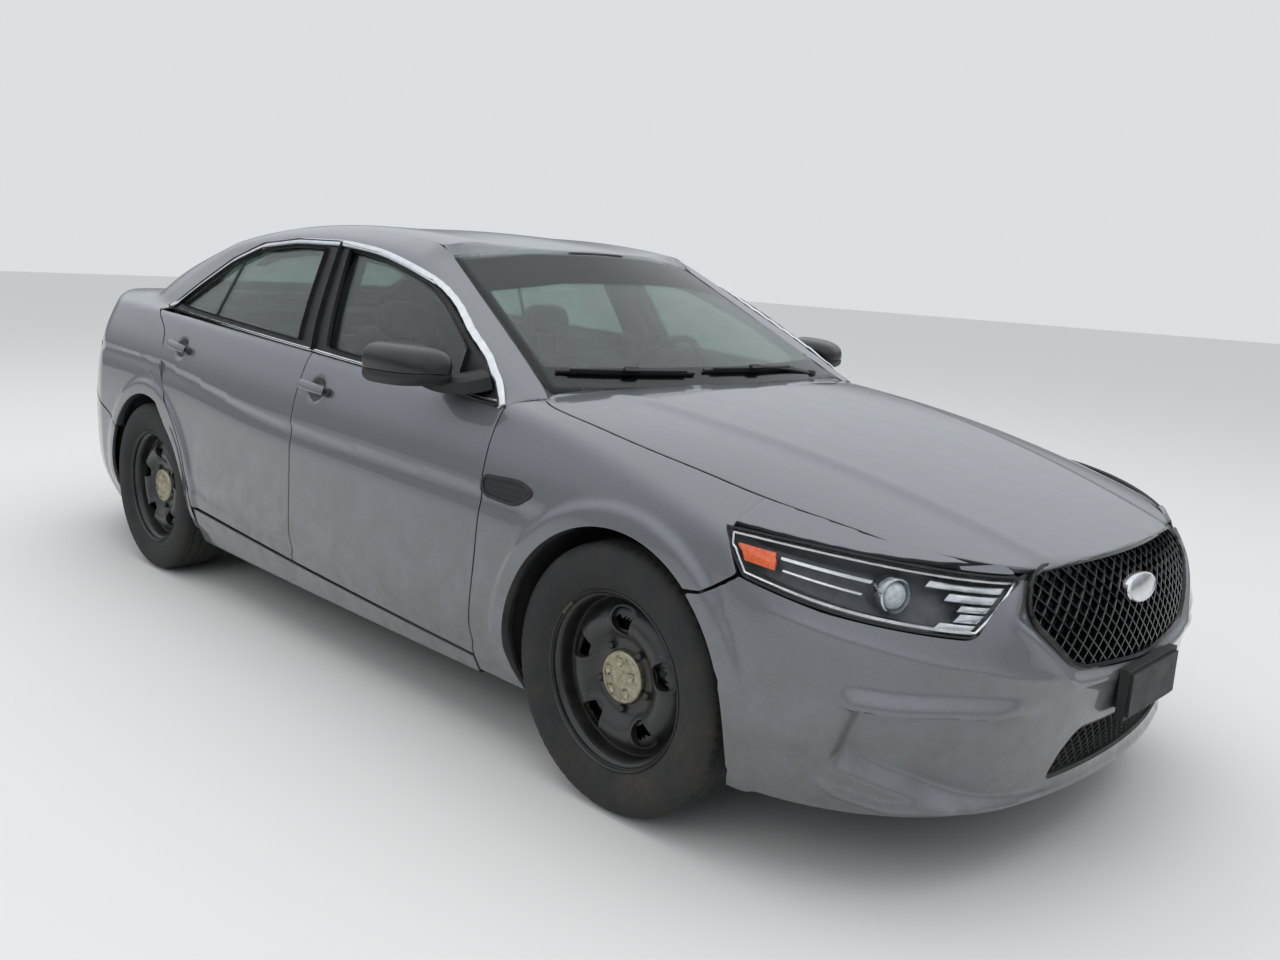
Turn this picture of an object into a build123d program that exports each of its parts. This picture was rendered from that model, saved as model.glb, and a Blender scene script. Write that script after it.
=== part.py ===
"""Unmarked police patrol car: a full-size four-door saloon on black steel wheels.

Millimetres. +X is forward, +Y is the car's left, +Z is up. The origin is on the ground, below the
middle of the car's overall length and width. A piece on the right (-Y) is modelled first and mirrored.
"""
import os
from functools import cache

from build123d import *

# Overall layout
HALF_LENGTH = 2578.0
WHEELBASE = 2868.0
FRONT_OVERHANG = 1020.0
FRONT_AXLE_X = HALF_LENGTH - FRONT_OVERHANG
REAR_AXLE_X = FRONT_AXLE_X - WHEELBASE
HALF_TRACK = 828.0
SILL_Z = 205.0

# Running clearances
SHUT_GAP = 6.5
POCKET_GAP = 10.0
SEAT_GAP = 0.3
FIT_GAP = 0.05

# Wheels and tyres: 245/55 R18 on steel rims
TYRE_RADIUS = 363.0
TYRE_WIDTH = 245.0
TYRE_WALL = 14.0
RIM_RADIUS = 240.0
RIM_SEAT_RADIUS = 228.6
RIM_WIDTH = 205.0
RIM_WALL = 8.0
WHEEL_OFFSET = 44.0
DISC_RADIUS = 176.0
DISC_THICK = 30.0
DISC_IN = -10.0
HUB_INNER = -24.0
SPINDLE_RADIUS = 32.0
KINGPIN_Y = 790.0
KINGPIN_RADIUS = 14.0

# Wheel arches
ARCH_RADIUS = 402.0
ARCH_Z = 363.0
LINER_RADIUS = 428.0
LINER_THICK = 12.0
LINER_INNER_Y = 500.0
STRUT_Y = 600.0
STRUT_RADIUS = 34.0
TOWER_Z = 800.0
BOOT_FLOOR_Z = 520.0
WHEEL_Y = 370.0
SEAT_Y = 370.0
STEER_AXIS = (0.906, 0.0, -0.423)

# Panel thicknesses
WING_THICK = 30.0
BUMPER_THICK = 40.0
BONNET_THICK = 35.0
BOOT_THICK = 40.0
ROOF_THICK = 35.0
GLASS_THICK = 6.0
DOOR_THICK = 110.0
DOOR_FRAME_THICK = 40.0
DOOR_SKIN_THICK = 18.0
DOOR_SKIN_LAP = 34.0
LAMP_DEPTH = 110.0
GRILLE_THICK = 30.0
RAIL_THICK = 82.0
GLASS_INSET = 12.0
FLAP_THICK = 12.0
SILL_TOP_Z = 330.0

# Hinges
FRONT_DOOR_HINGE_X = 985.0
REAR_DOOR_HINGE_X = -110.0
DOOR_HINGE_Y = 953.0
DOOR_HINGE_LEVELS = (450.0, 630.0)
DOOR_HINGE_RADIUS = 4.0
BONNET_HINGE = (960.0, 1020.0)
BOOT_HINGE = (-1800.0, 1140.0)
LID_HINGE_RADIUS = 8.0
LID_ARM_THICK = 12.0
FLAP_HINGE_RADIUS = 2.5
FLAP_HINGE_SETBACK = 12.0

# Lower body: one plan outline per level. nose and tail are x on the centreline; cheek, corner and
# flank are (x, y) down the side from the nose; side is y at x = 0; then the same towards the tail.
# Columns: z, nose, cheek, corner, flank, side, back_flank, back_corner, back_cheek, tail.
LEVELS = [
    (200, 2478, (2428, 470), (2300, 700), (1960, 872), 900, (-1850, 858), (-2180, 745), (-2425, 560), -2492),
    (330, 2520, (2462, 480), (2335, 728), (1950, 935), 948, (-1850, 918), (-2200, 795), (-2480, 590), -2556),
    (520, 2546, (2484, 485), (2350, 742), (1945, 954), 962, (-1850, 940), (-2210, 816), (-2502, 604), -2576),
    (700, 2510, (2446, 490), (2306, 735), (1935, 944), 960, (-1850, 940), (-2208, 815), (-2502, 604), -2576),
    (850, 2420, (2352, 480), (2220, 700), (1910, 912), 951, (-1850, 930), (-2196, 802), (-2484, 596), -2556),
    (1000, 2300, (2230, 450), (2100, 650), (1850, 848), 905, (-1850, 896), (-2176, 772), (-2452, 570), -2528),
    (1200, 2150, (2080, 400), (1950, 560), (1760, 720), 800, (-1850, 790), (-2130, 690), (-2390, 470), -2490),
]

# Top of the lower body: height of the bonnet, belt and deck above five stations, for each y.
TOP_STATIONS_X = (2620, 1900, 1030, -1480, -1960, -2620)
TOPS = [
    (0, 722, 950, 1068, 1150, 1182, 1150),
    (450, 706, 936, 1058, 1148, 1178, 1142),
    (700, 664, 902, 1036, 1136, 1164, 1122),
    (900, 600, 838, 1006, 1120, 1100, 1046),
    (1050, 540, 770, 960, 1100, 1010, 950),
]

# Cabin: one plan outline per level. screen is x on the centreline; screen_edge, pillar, side,
# back_pillar and window_edge are points down the side, and back_window is x on the centreline.
# Columns: z, screen, screen_edge, pillar, side, back_pillar, window_edge, back_window.
CABIN = [
    (960, 1330, (1168, 786), (1114, 846), (-250, 868), (-1900, 785), (-2250, 650), -2360),
    (1060, 1156, (993, 744), (947, 834), (-250, 862), (-1760, 770), (-2095, 638), -2195),
    (1150, 993, (831, 712), (792, 812), (-250, 832), (-1620, 748), (-1940, 622), -2030),
    (1300, 721, (560, 641), (520, 744), (-250, 763), (-1290, 700), (-1600, 608), -1690),
    (1450, 449, (289, 567), (240, 672), (-250, 686), (-920, 655), (-1050, 585), -1160),
    (1560, 250, (90, 513), (30, 616), (-250, 628), (-560, 610), (-640, 560), -730),
]

# Roof crown: height at the front, middle and back of the roof, for each y.
ROOF_STATIONS_X = (560, -380, -1320)
ROOFS = [
    (0, 1436, 1522, 1420),
    (400, 1430, 1514, 1414),
    (600, 1405, 1497, 1390),
    (780, 1300, 1395, 1290),
    (1000, 1120, 1215, 1110),
]

# Side outlines as (x, z), from the photograph
DOOR_FRONT_EDGE = [(1022, 1008), (1016, 928), (1019, 743), (1010, 566), (989, 379), (976, 266)]
DOOR_REAR_EDGE = [
    (-872, 362), (-892, 440), (-938, 573), (-1010, 684), (-1130, 790), (-1205, 922), (-1230, 1030),
]
DOOR_SPLIT = [(-66, 316), (-60, 700), (-56, 1080), (-158, 1446)]
DAYLIGHT_FRONT = [(1022, 1008), (960, 1090), (828, 1163), (664, 1241), (507, 1309), (329, 1378), (126, 1421)]
DAYLIGHT_REAR = [(-470, 1448), (-747, 1425), (-972, 1358), (-1189, 1254), (-1423, 1129)]
WINDOW_RIM = 24.0
DOOR_FRAME_LINE = [(-812, 900), (-772, 1060), (-702, 1300), (-632, 1450), (-560, 1600)]

WING_SEAM = [(1770, 672), (1860, 681), (1949, 740)]
LAMP_OUTLINE = [(1893, 846), (1957, 742), (2150, 694), (2398, 652), (2412, 772), (2150, 812)]
LAMP_INNER_Y = 470.0
GRILLE_OUTLINE = [(-512, 690), (-452, 782), (452, 782), (512, 690), (366, 540), (0, 496), (-366, 540)]
INTAKE_OUTLINE = [(-330, 252), (-265, 392), (265, 392), (330, 252)]
BUMPER_REAR_SEAM = [(-1640, 578), (-1760, 636), (-2215, 772)]
TAIL_LAMP_OUTLINE = [(-2120, 940), (-2222, 778), (-2700, 778), (-2700, 1004), (-2210, 1012)]
TAIL_LAMP_INNER_Y = 560.0
FUEL_FLAP = (-1890, -1740, 770, 910)
FUEL_FLAP_SKIN_Y = (939.4, 923.3)

# Plan outlines as (x, y) of the half on the left
BONNET_EDGE = [
    (2470, 0), (2452, 250), (2415, 470), (2225, 655), (1900, 762), (1500, 806), (1150, 800), (1066, 765),
    (1030, 700),
]
COWL_EDGE = [(1136, 420), (1196, 0)]
DECK_EDGE = [(-1978, 0), (-1955, 320), (-1925, 610), (-1990, 662), (-2300, 690), (-2700, 690)]
DECK_BACK_Z = 1008.0
DECK_BACK_Y = 552.0
DECK_LOW_Z = 780.0

# Front views as (y, z) of the half on the left
WINDSCREEN_EDGE = [(0, 1456), (300, 1448), (575, 1417), (722, 1052)]
REAR_WINDOW_EDGE = [(0, 1440), (300, 1432), (545, 1412), (600, 1205)]
ROOF_FRONT = [(448, 0), (430, 300), (362, 592)]
ROOF_BACK = [(-1180, 0), (-1140, 300), (-1060, 592)]


# Plane helpers
def along_y(outline, y_from, y_to):
    """Solid between two y values whose side view is the outline."""
    return extrude(Plane.XZ.offset(-y_from) * outline, amount=y_to - y_from, dir=(0, 1, 0))


def along_x(outline, x_from, x_to):
    """Solid between two x values whose front view is the outline."""
    return extrude(Plane.YZ.offset(x_from) * outline, amount=x_to - x_from, dir=(1, 0, 0))


def along_z(outline, z_from, z_to):
    """Solid between two heights whose plan view is the outline."""
    return extrude(Plane.XY.offset(z_from) * outline, amount=z_to - z_from, dir=(0, 0, 1))


def polygon(points):
    """Flat face inside a closed line of points."""
    return make_face(Polyline(*points, close=True))


def box(x_from, x_to, y_from, y_to, z_from, z_to):
    """Box between two corners."""
    size = (x_to - x_from, y_to - y_from, z_to - z_from)
    middle = ((x_from + x_to) / 2, (y_from + y_to) / 2, (z_from + z_to) / 2)
    return Pos(*middle) * Box(*size)


def rod(start, end, radius):
    """Round bar between two points."""
    a, b = Vector(*start), Vector(*end)
    plane = Plane(origin=a, z_dir=b - a)
    return extrude(plane * Circle(radius), amount=(b - a).length)


def disc_y(x, y_from, y_to, z, radius):
    """Cylinder across the car."""
    return rod((x, y_from, z), (x, y_to, z), radius)


def both(shape):
    """The shape with its mirror image on the other side of the car."""
    return Compound(children=[*shape.solids(), *mirror(shape, about=Plane.XZ).solids()])


def mirrored(shape):
    return mirror(shape, about=Plane.XZ)


# Body volumes
def ring_wire(level, inset):
    """Plan outline of the lower body at one level, drawn in by the inset."""
    z, nose, cheek, corner, flank, side, back_flank, back_corner, back_cheek, tail = level

    def at(point, sign):
        x, y = point
        return (x - inset if x > 0 else x + inset, sign * (y - inset), z)

    edges = [
        ThreePointArc(at(cheek, -1), (nose - inset, 0, z), at(cheek, 1)),
        ThreePointArc(at(cheek, 1), at(corner, 1), at(flank, 1)),
        ThreePointArc(at(flank, 1), (0, side - inset, z), at(back_flank, 1)),
        ThreePointArc(at(back_flank, 1), at(back_corner, 1), at(back_cheek, 1)),
        ThreePointArc(at(back_cheek, 1), (tail + inset, 0, z), at(back_cheek, -1)),
        ThreePointArc(at(back_cheek, -1), at(back_corner, -1), at(back_flank, -1)),
        ThreePointArc(at(back_flank, -1), (0, inset - side, z), at(flank, -1)),
        ThreePointArc(at(flank, -1), at(corner, -1), at(cheek, -1)),
    ]
    return Wire(edges)


@cache
def lower_volume(inset=0.0, top_inset=None):
    """Solid below the bonnet, belt and deck, drawn in by the inset."""
    drop = inset if top_inset is None else top_inset
    ring = Solid.make_loft([ring_wire(level, inset) for level in LEVELS])
    sections = []
    for y, *heights in [(-t[0], *t[1:]) for t in reversed(TOPS[1:])] + TOPS:
        p = [(x, y, z - drop) for x, z in zip(TOP_STATIONS_X, heights)]
        front, back = p[0][0], p[-1][0]
        edges = [
            ThreePointArc(p[0], p[1], p[2]),
            Line(p[2], p[3]),
            ThreePointArc(p[3], p[4], p[5]),
            Line(p[5], (back, y, 0)),
            Line((back, y, 0), (front, y, 0)),
            Line((front, y, 0), p[0]),
        ]
        sections.append(Wire(edges))
    return ring & Solid.make_loft(sections)


def cabin_wire(level, inset):
    """Plan outline of the cabin at one level, drawn in by the inset."""
    z, screen, screen_edge, pillar, side, back_pillar, window_edge, back_window = level

    def at(point, sign, along=1.0):
        x, y = point
        return (x - along * inset if x > 0 else x + along * inset, sign * (y - inset), z)

    def bulge(a, b, sign, out):
        x, y = (a[0] + b[0]) / 2, (a[1] + b[1]) / 2
        return at((x + (out if x > 0 else -out), y + out), sign)

    s, p, b, w = screen_edge, pillar, back_pillar, window_edge
    edges = [
        ThreePointArc(at(s, -1), (screen - inset, 0, z), at(s, 1)),
        ThreePointArc(at(s, 1), bulge(s, p, 1, 12), at(p, 1)),
        ThreePointArc(at(p, 1), (side[0], side[1] - inset, z), at(b, 1)),
        ThreePointArc(at(b, 1), bulge(b, w, 1, 12), at(w, 1)),
        ThreePointArc(at(w, 1), (back_window + inset, 0, z), at(w, -1)),
        ThreePointArc(at(w, -1), bulge(b, w, -1, 12), at(b, -1)),
        ThreePointArc(at(b, -1), (side[0], inset - side[1], z), at(p, -1)),
        ThreePointArc(at(p, -1), bulge(s, p, -1, 12), at(s, -1)),
    ]
    return Wire(edges)


@cache
def cabin_volume(inset=0.0, roof_inset=None):
    """Solid above the belt, drawn in by the inset."""
    drop = inset if roof_inset is None else roof_inset
    house = Solid.make_loft([cabin_wire(level, inset) for level in CABIN])
    sections = []
    for y, *heights in [(-t[0], *t[1:]) for t in reversed(ROOFS[1:])] + ROOFS:
        a, b, c = [(x, y, z - drop) for x, z in zip(ROOF_STATIONS_X, heights)]
        front, back = (1400, y, 1100), (-2450, y, 1100)
        edges = [
            ThreePointArc(a, b, c),
            Line(c, back),
            Line(back, (back[0], y, 900)),
            Line((back[0], y, 900), (front[0], y, 900)),
            Line((front[0], y, 900), front),
            Line(front, a),
        ]
        sections.append(Wire(edges))
    return house & Solid.make_loft(sections)


def widened(outline, amount):
    """Face grown (or shrunk, below zero) by an amount, with sharp corners."""
    return offset(outline, amount=amount, kind=Kind.INTERSECTION)


def symmetric(half):
    """Closed face from the half outline of a left-right symmetric shape given as (x, y) points."""
    other = [(x, -y) for x, y in reversed(half) if y > 0]
    return polygon([*half, *other])


def facing(half):
    """Closed face from the half outline given as (y, z) points."""
    other = [(-y, z) for y, z in reversed(half) if y > 0]
    return polygon([*half, *other])


def biggest(shape):
    """The largest solid of a shape."""
    return max(shape.solids(), key=lambda solid: solid.volume)


LOWER = lower_volume()
CABIN_SOLID = cabin_volume()
BODY = LOWER + CABIN_SOLID
OPEN_TOP = -400.0


@cache
def body_inset(inset):
    """The whole car's outer volume drawn in by the inset."""
    return lower_volume(inset) + cabin_volume(inset)


# Outlines of openings
def door_outline(front):
    """Side view of a front or rear door."""
    split_top = DOOR_SPLIT[-1]
    if front:
        top = [*DAYLIGHT_FRONT, (-60, 1440), split_top]
        return polygon([*reversed(DOOR_FRONT_EDGE[1:]), *top, *reversed(DOOR_SPLIT[:-1])])
    return polygon([*DOOR_SPLIT, *DAYLIGHT_REAR, *reversed(DOOR_REAR_EDGE)])


def daylight_outline(front):
    """Side view of a door's window opening."""
    if front:
        top = [(872, 1016), (872, 1139), *DAYLIGHT_FRONT[2:], (-60, 1440)]
        edge = polygon([*top, (-110, 1440), (18, 1061), (0, 1062), (600, 1030)])
        return widened(edge, -WINDOW_RIM)
    edge = polygon([(-135, 1068), (-220, 1446), *DAYLIGHT_REAR, (-1100, 1112), (-600, 1090)])
    return widened(edge, -WINDOW_RIM)


def outboard(shift=0.0):
    """Region on the right outside the door frames' inner faces."""
    line = [(y + shift, z) for y, z in DOOR_FRAME_LINE]
    return along_x(polygon([(-1100, line[0][1]), *line, (-1100, line[-1][1])]), -2500, 1500)


def arch(x, radius, y_from, y_to):
    """Wheel-arch cylinder."""
    return disc_y(x, y_from, y_to, ARCH_Z, radius)


BONNET_PLAN = symmetric([*BONNET_EDGE, *COWL_EDGE])
DECK_PLAN = symmetric(DECK_EDGE)


# Outer panels
def bonnet():
    plate = BODY - body_inset(BONNET_THICK)
    panel = plate & along_z(widened(BONNET_PLAN, -SHUT_GAP / 2), 745, 1300)
    panel -= CABIN_SOLID
    x, z = BONNET_HINGE
    outline = [
        (-12, 10), (-14, -6), (24, -62), (84, -66), (112, -24), (96, -16), (74, -50), (34, -46), (12, 2), (6, 12),
    ]
    arm = polygon([(x + dx, z + dz) for dx, dz in outline])
    arm = along_y(arm, -682, -682 + LID_ARM_THICK) - disc_y(x, -700, -600, z, LID_HINGE_RADIUS + SEAT_GAP)
    return biggest(panel + both(arm))


@cache
def bonnet_keepout(extra=0.0):
    """Space the shut bonnet and its gap take from the panels around it."""
    zone = LOWER - lower_volume(BONNET_THICK + SHUT_GAP + extra)
    return zone & along_z(widened(BONNET_PLAN, SHUT_GAP / 2), 735, 1300)


def boot_lid():
    plate = LOWER - lower_volume(BOOT_THICK)
    top = plate & along_z(widened(DECK_PLAN, -SHUT_GAP / 2), DECK_BACK_Z + SHUT_GAP, 1400)
    back = plate & box(-2700, -2300, -DECK_BACK_Y + SHUT_GAP, DECK_BACK_Y - SHUT_GAP, DECK_LOW_Z, 1100)
    lid = top + back - cabin_volume(-SHUT_GAP)
    x, z = BOOT_HINGE
    outline = [
        (14, 8), (-8, 14), (-50, -228), (-154, -234), (-248, -96), (-250, 6), (-274, 6), (-272, -110),
        (-164, -258), (-30, -252), (16, -4),
    ]
    arm = polygon([(x + dx, z + dz) for dx, dz in outline])
    arm = along_y(arm, -568, -568 + LID_ARM_THICK) - disc_y(x, -600, -500, z, LID_HINGE_RADIUS + SEAT_GAP)
    arm -= LOWER - lower_volume(BOOT_THICK / 2)
    return biggest(lid + both(arm))


@cache
def boot_keepout():
    zone = LOWER - lower_volume(BOOT_THICK + SHUT_GAP)
    top = zone & along_z(widened(DECK_PLAN, SHUT_GAP / 2), DECK_BACK_Z, 1400)
    back = zone & box(-2700, -2290, -DECK_BACK_Y, DECK_BACK_Y, DECK_LOW_Z - SHUT_GAP, 1100)
    return top + back


def front_wing():
    """Right front wing."""
    rear = [(x + SHUT_GAP, z) for x, z in DOOR_FRONT_EDGE]
    upper = [(1888, 850), (2150, 816), (2330, 800), (2330, 1100), (1028, 1100)]
    outline = polygon([*rear, (980, SILL_Z), (1400, SILL_Z), *WING_SEAM, *upper])
    panel = (LOWER - lower_volume(WING_THICK)) & along_y(outline, -1100, -560)
    panel -= arch(FRONT_AXLE_X, ARCH_RADIUS, -1100, -400)
    panel -= along_z(widened(BONNET_PLAN, SHUT_GAP / 2), 500, 1300)
    panel -= cabin_volume(-SEAT_GAP)
    return biggest(panel)


def front_bumper():
    outline = polygon([
        (1690, 190), (1760, 666), (1862, 675), (1957, 736), (2150, 688), (2400, 646), (2418, 776),
        (2300, 830), (2700, 830), (2700, 190),
    ])
    panel = (LOWER - lower_volume(BUMPER_THICK)) & along_y(outline, -1100, 1100)
    panel -= along_z(widened(BONNET_PLAN, SHUT_GAP / 2), 600, 1300)
    panel -= along_x(polygon(GRILLE_OUTLINE), 2200, 2700)
    panel -= along_x(polygon(INTAKE_OUTLINE), 2200, 2700)
    for side in (-1, 1):
        panel -= arch(FRONT_AXLE_X, ARCH_RADIUS, 400 * side, 1100 * side)
    return biggest(panel)


def grilles():
    plate = lower_volume(BUMPER_THICK / 4) - lower_volume(BUMPER_THICK / 4 + GRILLE_THICK)
    upper = plate & along_x(widened(polygon(GRILLE_OUTLINE), -FIT_GAP), 2200, 2700)
    upper -= bonnet_keepout()
    lower = plate & along_x(widened(polygon(INTAKE_OUTLINE), -FIT_GAP), 2200, 2700)
    return Compound(children=[biggest(upper), biggest(lower)])


def headlamp():
    """Right headlamp."""
    unit = (LOWER - lower_volume(LAMP_DEPTH)) & along_y(polygon(LAMP_OUTLINE), -1100, -LAMP_INNER_Y)
    unit -= bonnet_keepout()
    unit -= along_x(widened(polygon(GRILLE_OUTLINE), 4), 2200, 2700)
    unit -= arch(FRONT_AXLE_X, LINER_RADIUS + 8, -1100, -400)
    return biggest(unit)


def quarter_panel():
    """Right rear quarter with its roof pillar."""
    door = [(x - SHUT_GAP, z) for x, z in DOOR_REAR_EDGE]
    top = [(x - SHUT_GAP, z + SHUT_GAP) for x, z in reversed(DAYLIGHT_REAR[1:])]
    behind = [(-747, 1600), (-2400, 1600), (-2400, 1012), *reversed(BUMPER_REAR_SEAM), (-1500, 258)]
    outline = polygon([(-880, 258), *door, *top, *behind])
    panel = (BODY - body_inset(WING_THICK)) & along_y(outline, -1100, -300)
    panel -= along_y(widened(door_outline(False), SHUT_GAP), -1100, -300)
    panel -= arch(REAR_AXLE_X, ARCH_RADIUS, -1100, -400)
    panel -= boot_keepout()
    panel -= along_x(widened(facing(REAR_WINDOW_EDGE), FIT_GAP), -2400, -1080)
    panel -= roof_zone(FIT_GAP)
    panel -= tail_lamp_zone(SEAT_GAP)
    return biggest(panel)


def roof_zone(grow=0.0):
    right_back, right_front = [(x, -y) for x, y in ROOF_BACK if y], [(x, -y) for x, y in ROOF_FRONT if y]
    plan = polygon([*ROOF_FRONT, *reversed(ROOF_BACK), *right_back, *reversed(right_front)])
    return along_z(widened(plan, grow), 1340, 1600)


def roof_panel():
    panel = (CABIN_SOLID - cabin_volume(ROOF_THICK)) & roof_zone()
    panel -= along_x(widened(facing(WINDSCREEN_EDGE), FIT_GAP), 300, 1400)
    panel -= along_x(widened(facing(REAR_WINDOW_EDGE), FIT_GAP), -2400, -1080)
    return biggest(panel)


def tail_lamp_zone(grow=0.0):
    outline = widened(polygon(TAIL_LAMP_OUTLINE), grow) if grow else polygon(TAIL_LAMP_OUTLINE)
    return along_y(outline, -1100, -TAIL_LAMP_INNER_Y + grow)


def tail_lamp():
    """Right tail lamp."""
    unit = (LOWER - lower_volume(90)) & tail_lamp_zone()
    return biggest(unit - boot_keepout())


def rear_bumper():
    seam = [(x, z - SEAT_GAP) for x, z in BUMPER_REAR_SEAM]
    outline = polygon([(-1500, 190), (-1500, 420), *seam, (-2700, 772), (-2700, 190)])
    panel = (LOWER - lower_volume(BUMPER_THICK)) & along_y(outline, -1100, 1100)
    for side in (-1, 1):
        panel -= arch(REAR_AXLE_X, ARCH_RADIUS, 400 * side, 1100 * side)
    panel &= box(-2700, -1600, -1100, 1100, 0, 1300)
    return biggest(panel - tail_pipes(36))


def screens():
    plate = cabin_volume(GLASS_THICK / 2) - cabin_volume(GLASS_THICK * 1.5)
    front = plate & along_x(facing(WINDSCREEN_EDGE), 300, 1400)
    back = plate & along_x(facing(REAR_WINDOW_EDGE), -2400, -1080)
    back -= boot_keepout()
    return Compound(children=[biggest(front - LOWER), biggest(back - LOWER)])


def cowl():
    plan = symmetric([(1190, 0), (1130, 420), (1050, 660), (1010, 664), (1040, 0)])
    return biggest((LOWER - lower_volume(0, 50)) & along_z(widened(plan, -SHUT_GAP * 0.7), 900, 1300))


def side_frame():
    """Right windscreen pillar, roof rail, centre post and door post."""
    rail = (CABIN_SOLID - cabin_volume(RAIL_THICK)) & box(-1330, 1100, -1100, -500, 1000, 1600)
    for is_front in (True, False):
        outline = door_outline(is_front)
        rail -= along_y(widened(outline, SHUT_GAP), -1100, -500) & outboard(SHUT_GAP)
        rail -= along_y(widened(outline, -60), -1100, -500)
    rail -= along_x(widened(facing(WINDSCREEN_EDGE), FIT_GAP), 200, 1400)
    rail -= roof_zone(FIT_GAP)
    behind = polygon([(-747 + SEAT_GAP, 1600), (-747 + SEAT_GAP, 1400), (-1500, 900), (-1500, 1600)])
    rail -= along_y(behind, -1100, -300)
    rail = biggest(rail - LOWER)
    frame_inset = DOOR_FRAME_THICK + POCKET_GAP
    inner = cabin_volume(frame_inset) - cabin_volume(RAIL_THICK)
    centre = polygon([(-40, 1090), (-120, 1400), (-120, 1600), (-240, 1600), (-240, 1400), (-170, 1090)])
    post = inner & along_y(centre, -1100, -500)
    low = lower_volume(DOOR_THICK + POCKET_GAP, 40) - lower_volume(DOOR_THICK + POCKET_GAP + 50, -60)
    centre = low & box(-190, -60, -1100, -500, SILL_TOP_Z + FIT_GAP, 1100)
    step = box(-170, -60, -805, -690, 1088, 1116) + box(-170, -60, -740, -698, 1000, 1116)
    step &= cabin_volume(frame_inset)
    foot = SILL_TOP_Z + FIT_GAP
    hinge = low & along_y(polygon([(880, foot), (1000, foot), (1008, 940), (1024, 1100), (880, 1100)]), -1100, -500)
    base = along_y(polygon([(880, 900), (1008, 900), (1040, 1010), (965, 1130), (880, 1060)]), -742, -690)
    base &= body_inset(9)
    frame = rail + post + centre + step + hinge + base
    for x in (FRONT_DOOR_HINGE_X, REAR_DOOR_HINGE_X):
        frame += hinge_straps(x) + hinge_pins(x, DOOR_HINGE_RADIUS)
    frame += disc_y(BONNET_HINGE[0], -700, -664, BONNET_HINGE[1], LID_HINGE_RADIUS)
    frame -= bonnet_keepout(FIT_GAP)
    frame -= along_x(widened(facing(WINDSCREEN_EDGE), FIT_GAP), 200, 1400) & (BODY - body_inset(12))
    return frame


# Doors
def hinge_pins(x, radius):
    """Right door's hinge pins, one above the other on its axis."""
    pins = [rod((x, -DOOR_HINGE_Y, z - 30), (x, -DOOR_HINGE_Y, z + 30), radius) for z in DOOR_HINGE_LEVELS]
    return pins[0] + pins[1]


def hinge_straps(x):
    """Arms from the body's post out to the right door's hinge pins, cut back where the door swings in."""
    y = -DOOR_HINGE_Y
    outline = polygon([(x - 9, -830), (x - 9, y - 2), (x + 2, y - 2), (x + 3, y + 3), (x + 9, y + 14), (x + 9, -830)])
    straps = [along_z(outline, z - 12, z + 12) for z in DOOR_HINGE_LEVELS]
    return straps[0] + straps[1]


def hinge_notches(x):
    """Room in the right door for its hinge straps as it swings."""
    corners = [(x - 16, -DOOR_HINGE_Y - 4), (x + 90, -DOOR_HINGE_Y - 4), (x + 90, -830), (x - 16, -830)]
    notches = [along_z(polygon(corners), z - 18, z + 18) for z in DOOR_HINGE_LEVELS]
    return notches[0] + notches[1]


def door(front):
    """Right door: outer skin, inner box and window frame."""
    hinge_x = FRONT_DOOR_HINGE_X if front else REAR_DOOR_HINGE_X
    outline = door_outline(front)
    side = along_y(widened(outline, -SHUT_GAP / 2), -1100, -500)
    skin = (LOWER - lower_volume(DOOR_SKIN_THICK, OPEN_TOP)) & side
    box_part = lower_volume(DOOR_SKIN_THICK, 0) - lower_volume(DOOR_THICK, OPEN_TOP)
    box_part &= along_y(widened(outline, -DOOR_SKIN_LAP), -1100, -500)
    frame = (CABIN_SOLID - cabin_volume(DOOR_FRAME_THICK)) & side & box(-2000, 2000, -1100, -500, 985, 1600)
    frame &= outboard()
    frame -= box(860, 1100, -776, 0, 900, 1200)
    whole = skin + box_part + frame
    z_low, z_high = DOOR_HINGE_LEVELS
    lugs = box(hinge_x - 14, hinge_x + 14, -DOOR_HINGE_Y - 9, -930, z_low - 34, z_high + 34)
    whole += lugs & lower_volume(1)
    whole -= hinge_notches(hinge_x) + hinge_pins(hinge_x, DOOR_HINGE_RADIUS + SEAT_GAP)
    return biggest(whole - along_y(daylight_outline(front), -1100, -500))


def door_glass(front):
    """Right door glass."""
    plate = cabin_volume(GLASS_INSET) - cabin_volume(GLASS_INSET + GLASS_THICK)
    return biggest(plate & along_y(widened(daylight_outline(front), -FIT_GAP), -1100, -500))


def mirror_right():
    """Right door mirror: housing on a short arm."""
    shell = Pos(748, -1010, 1098) * Box(215, 190, 120)
    shell = fillet(shell.edges(), 34)
    arm = along_y(polygon([(925, 1046), (840, 1046), (800, 1072), (870, 1088), (925, 1078)]), -960, -815)
    return biggest(shell + (arm - body_inset(-FIT_GAP)))


def fuel_pin(radius, overshoot):
    """Fuel flap's hinge pin, along the skin near the flap's front edge."""
    x_back, x_front, z_low, z_high = FUEL_FLAP
    y_low, y_high = FUEL_FLAP_SKIN_Y
    lean = (y_high - y_low) / (z_high - z_low)
    depth = FLAP_THICK / 2
    start = (x_front - FLAP_HINGE_SETBACK, y_low - depth - lean * overshoot, z_low - overshoot)
    end = (x_front - FLAP_HINGE_SETBACK, y_high - depth + lean * overshoot, z_high + overshoot)
    return rod(start, end, radius)


def fuel_flap():
    x_back, x_front, z_low, z_high = FUEL_FLAP
    zone = box(x_back, x_front, 700, 1100, z_low, z_high)
    return biggest(((LOWER - lower_volume(FLAP_THICK)) & zone) - fuel_pin(FLAP_HINGE_RADIUS + SEAT_GAP, 5))


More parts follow.
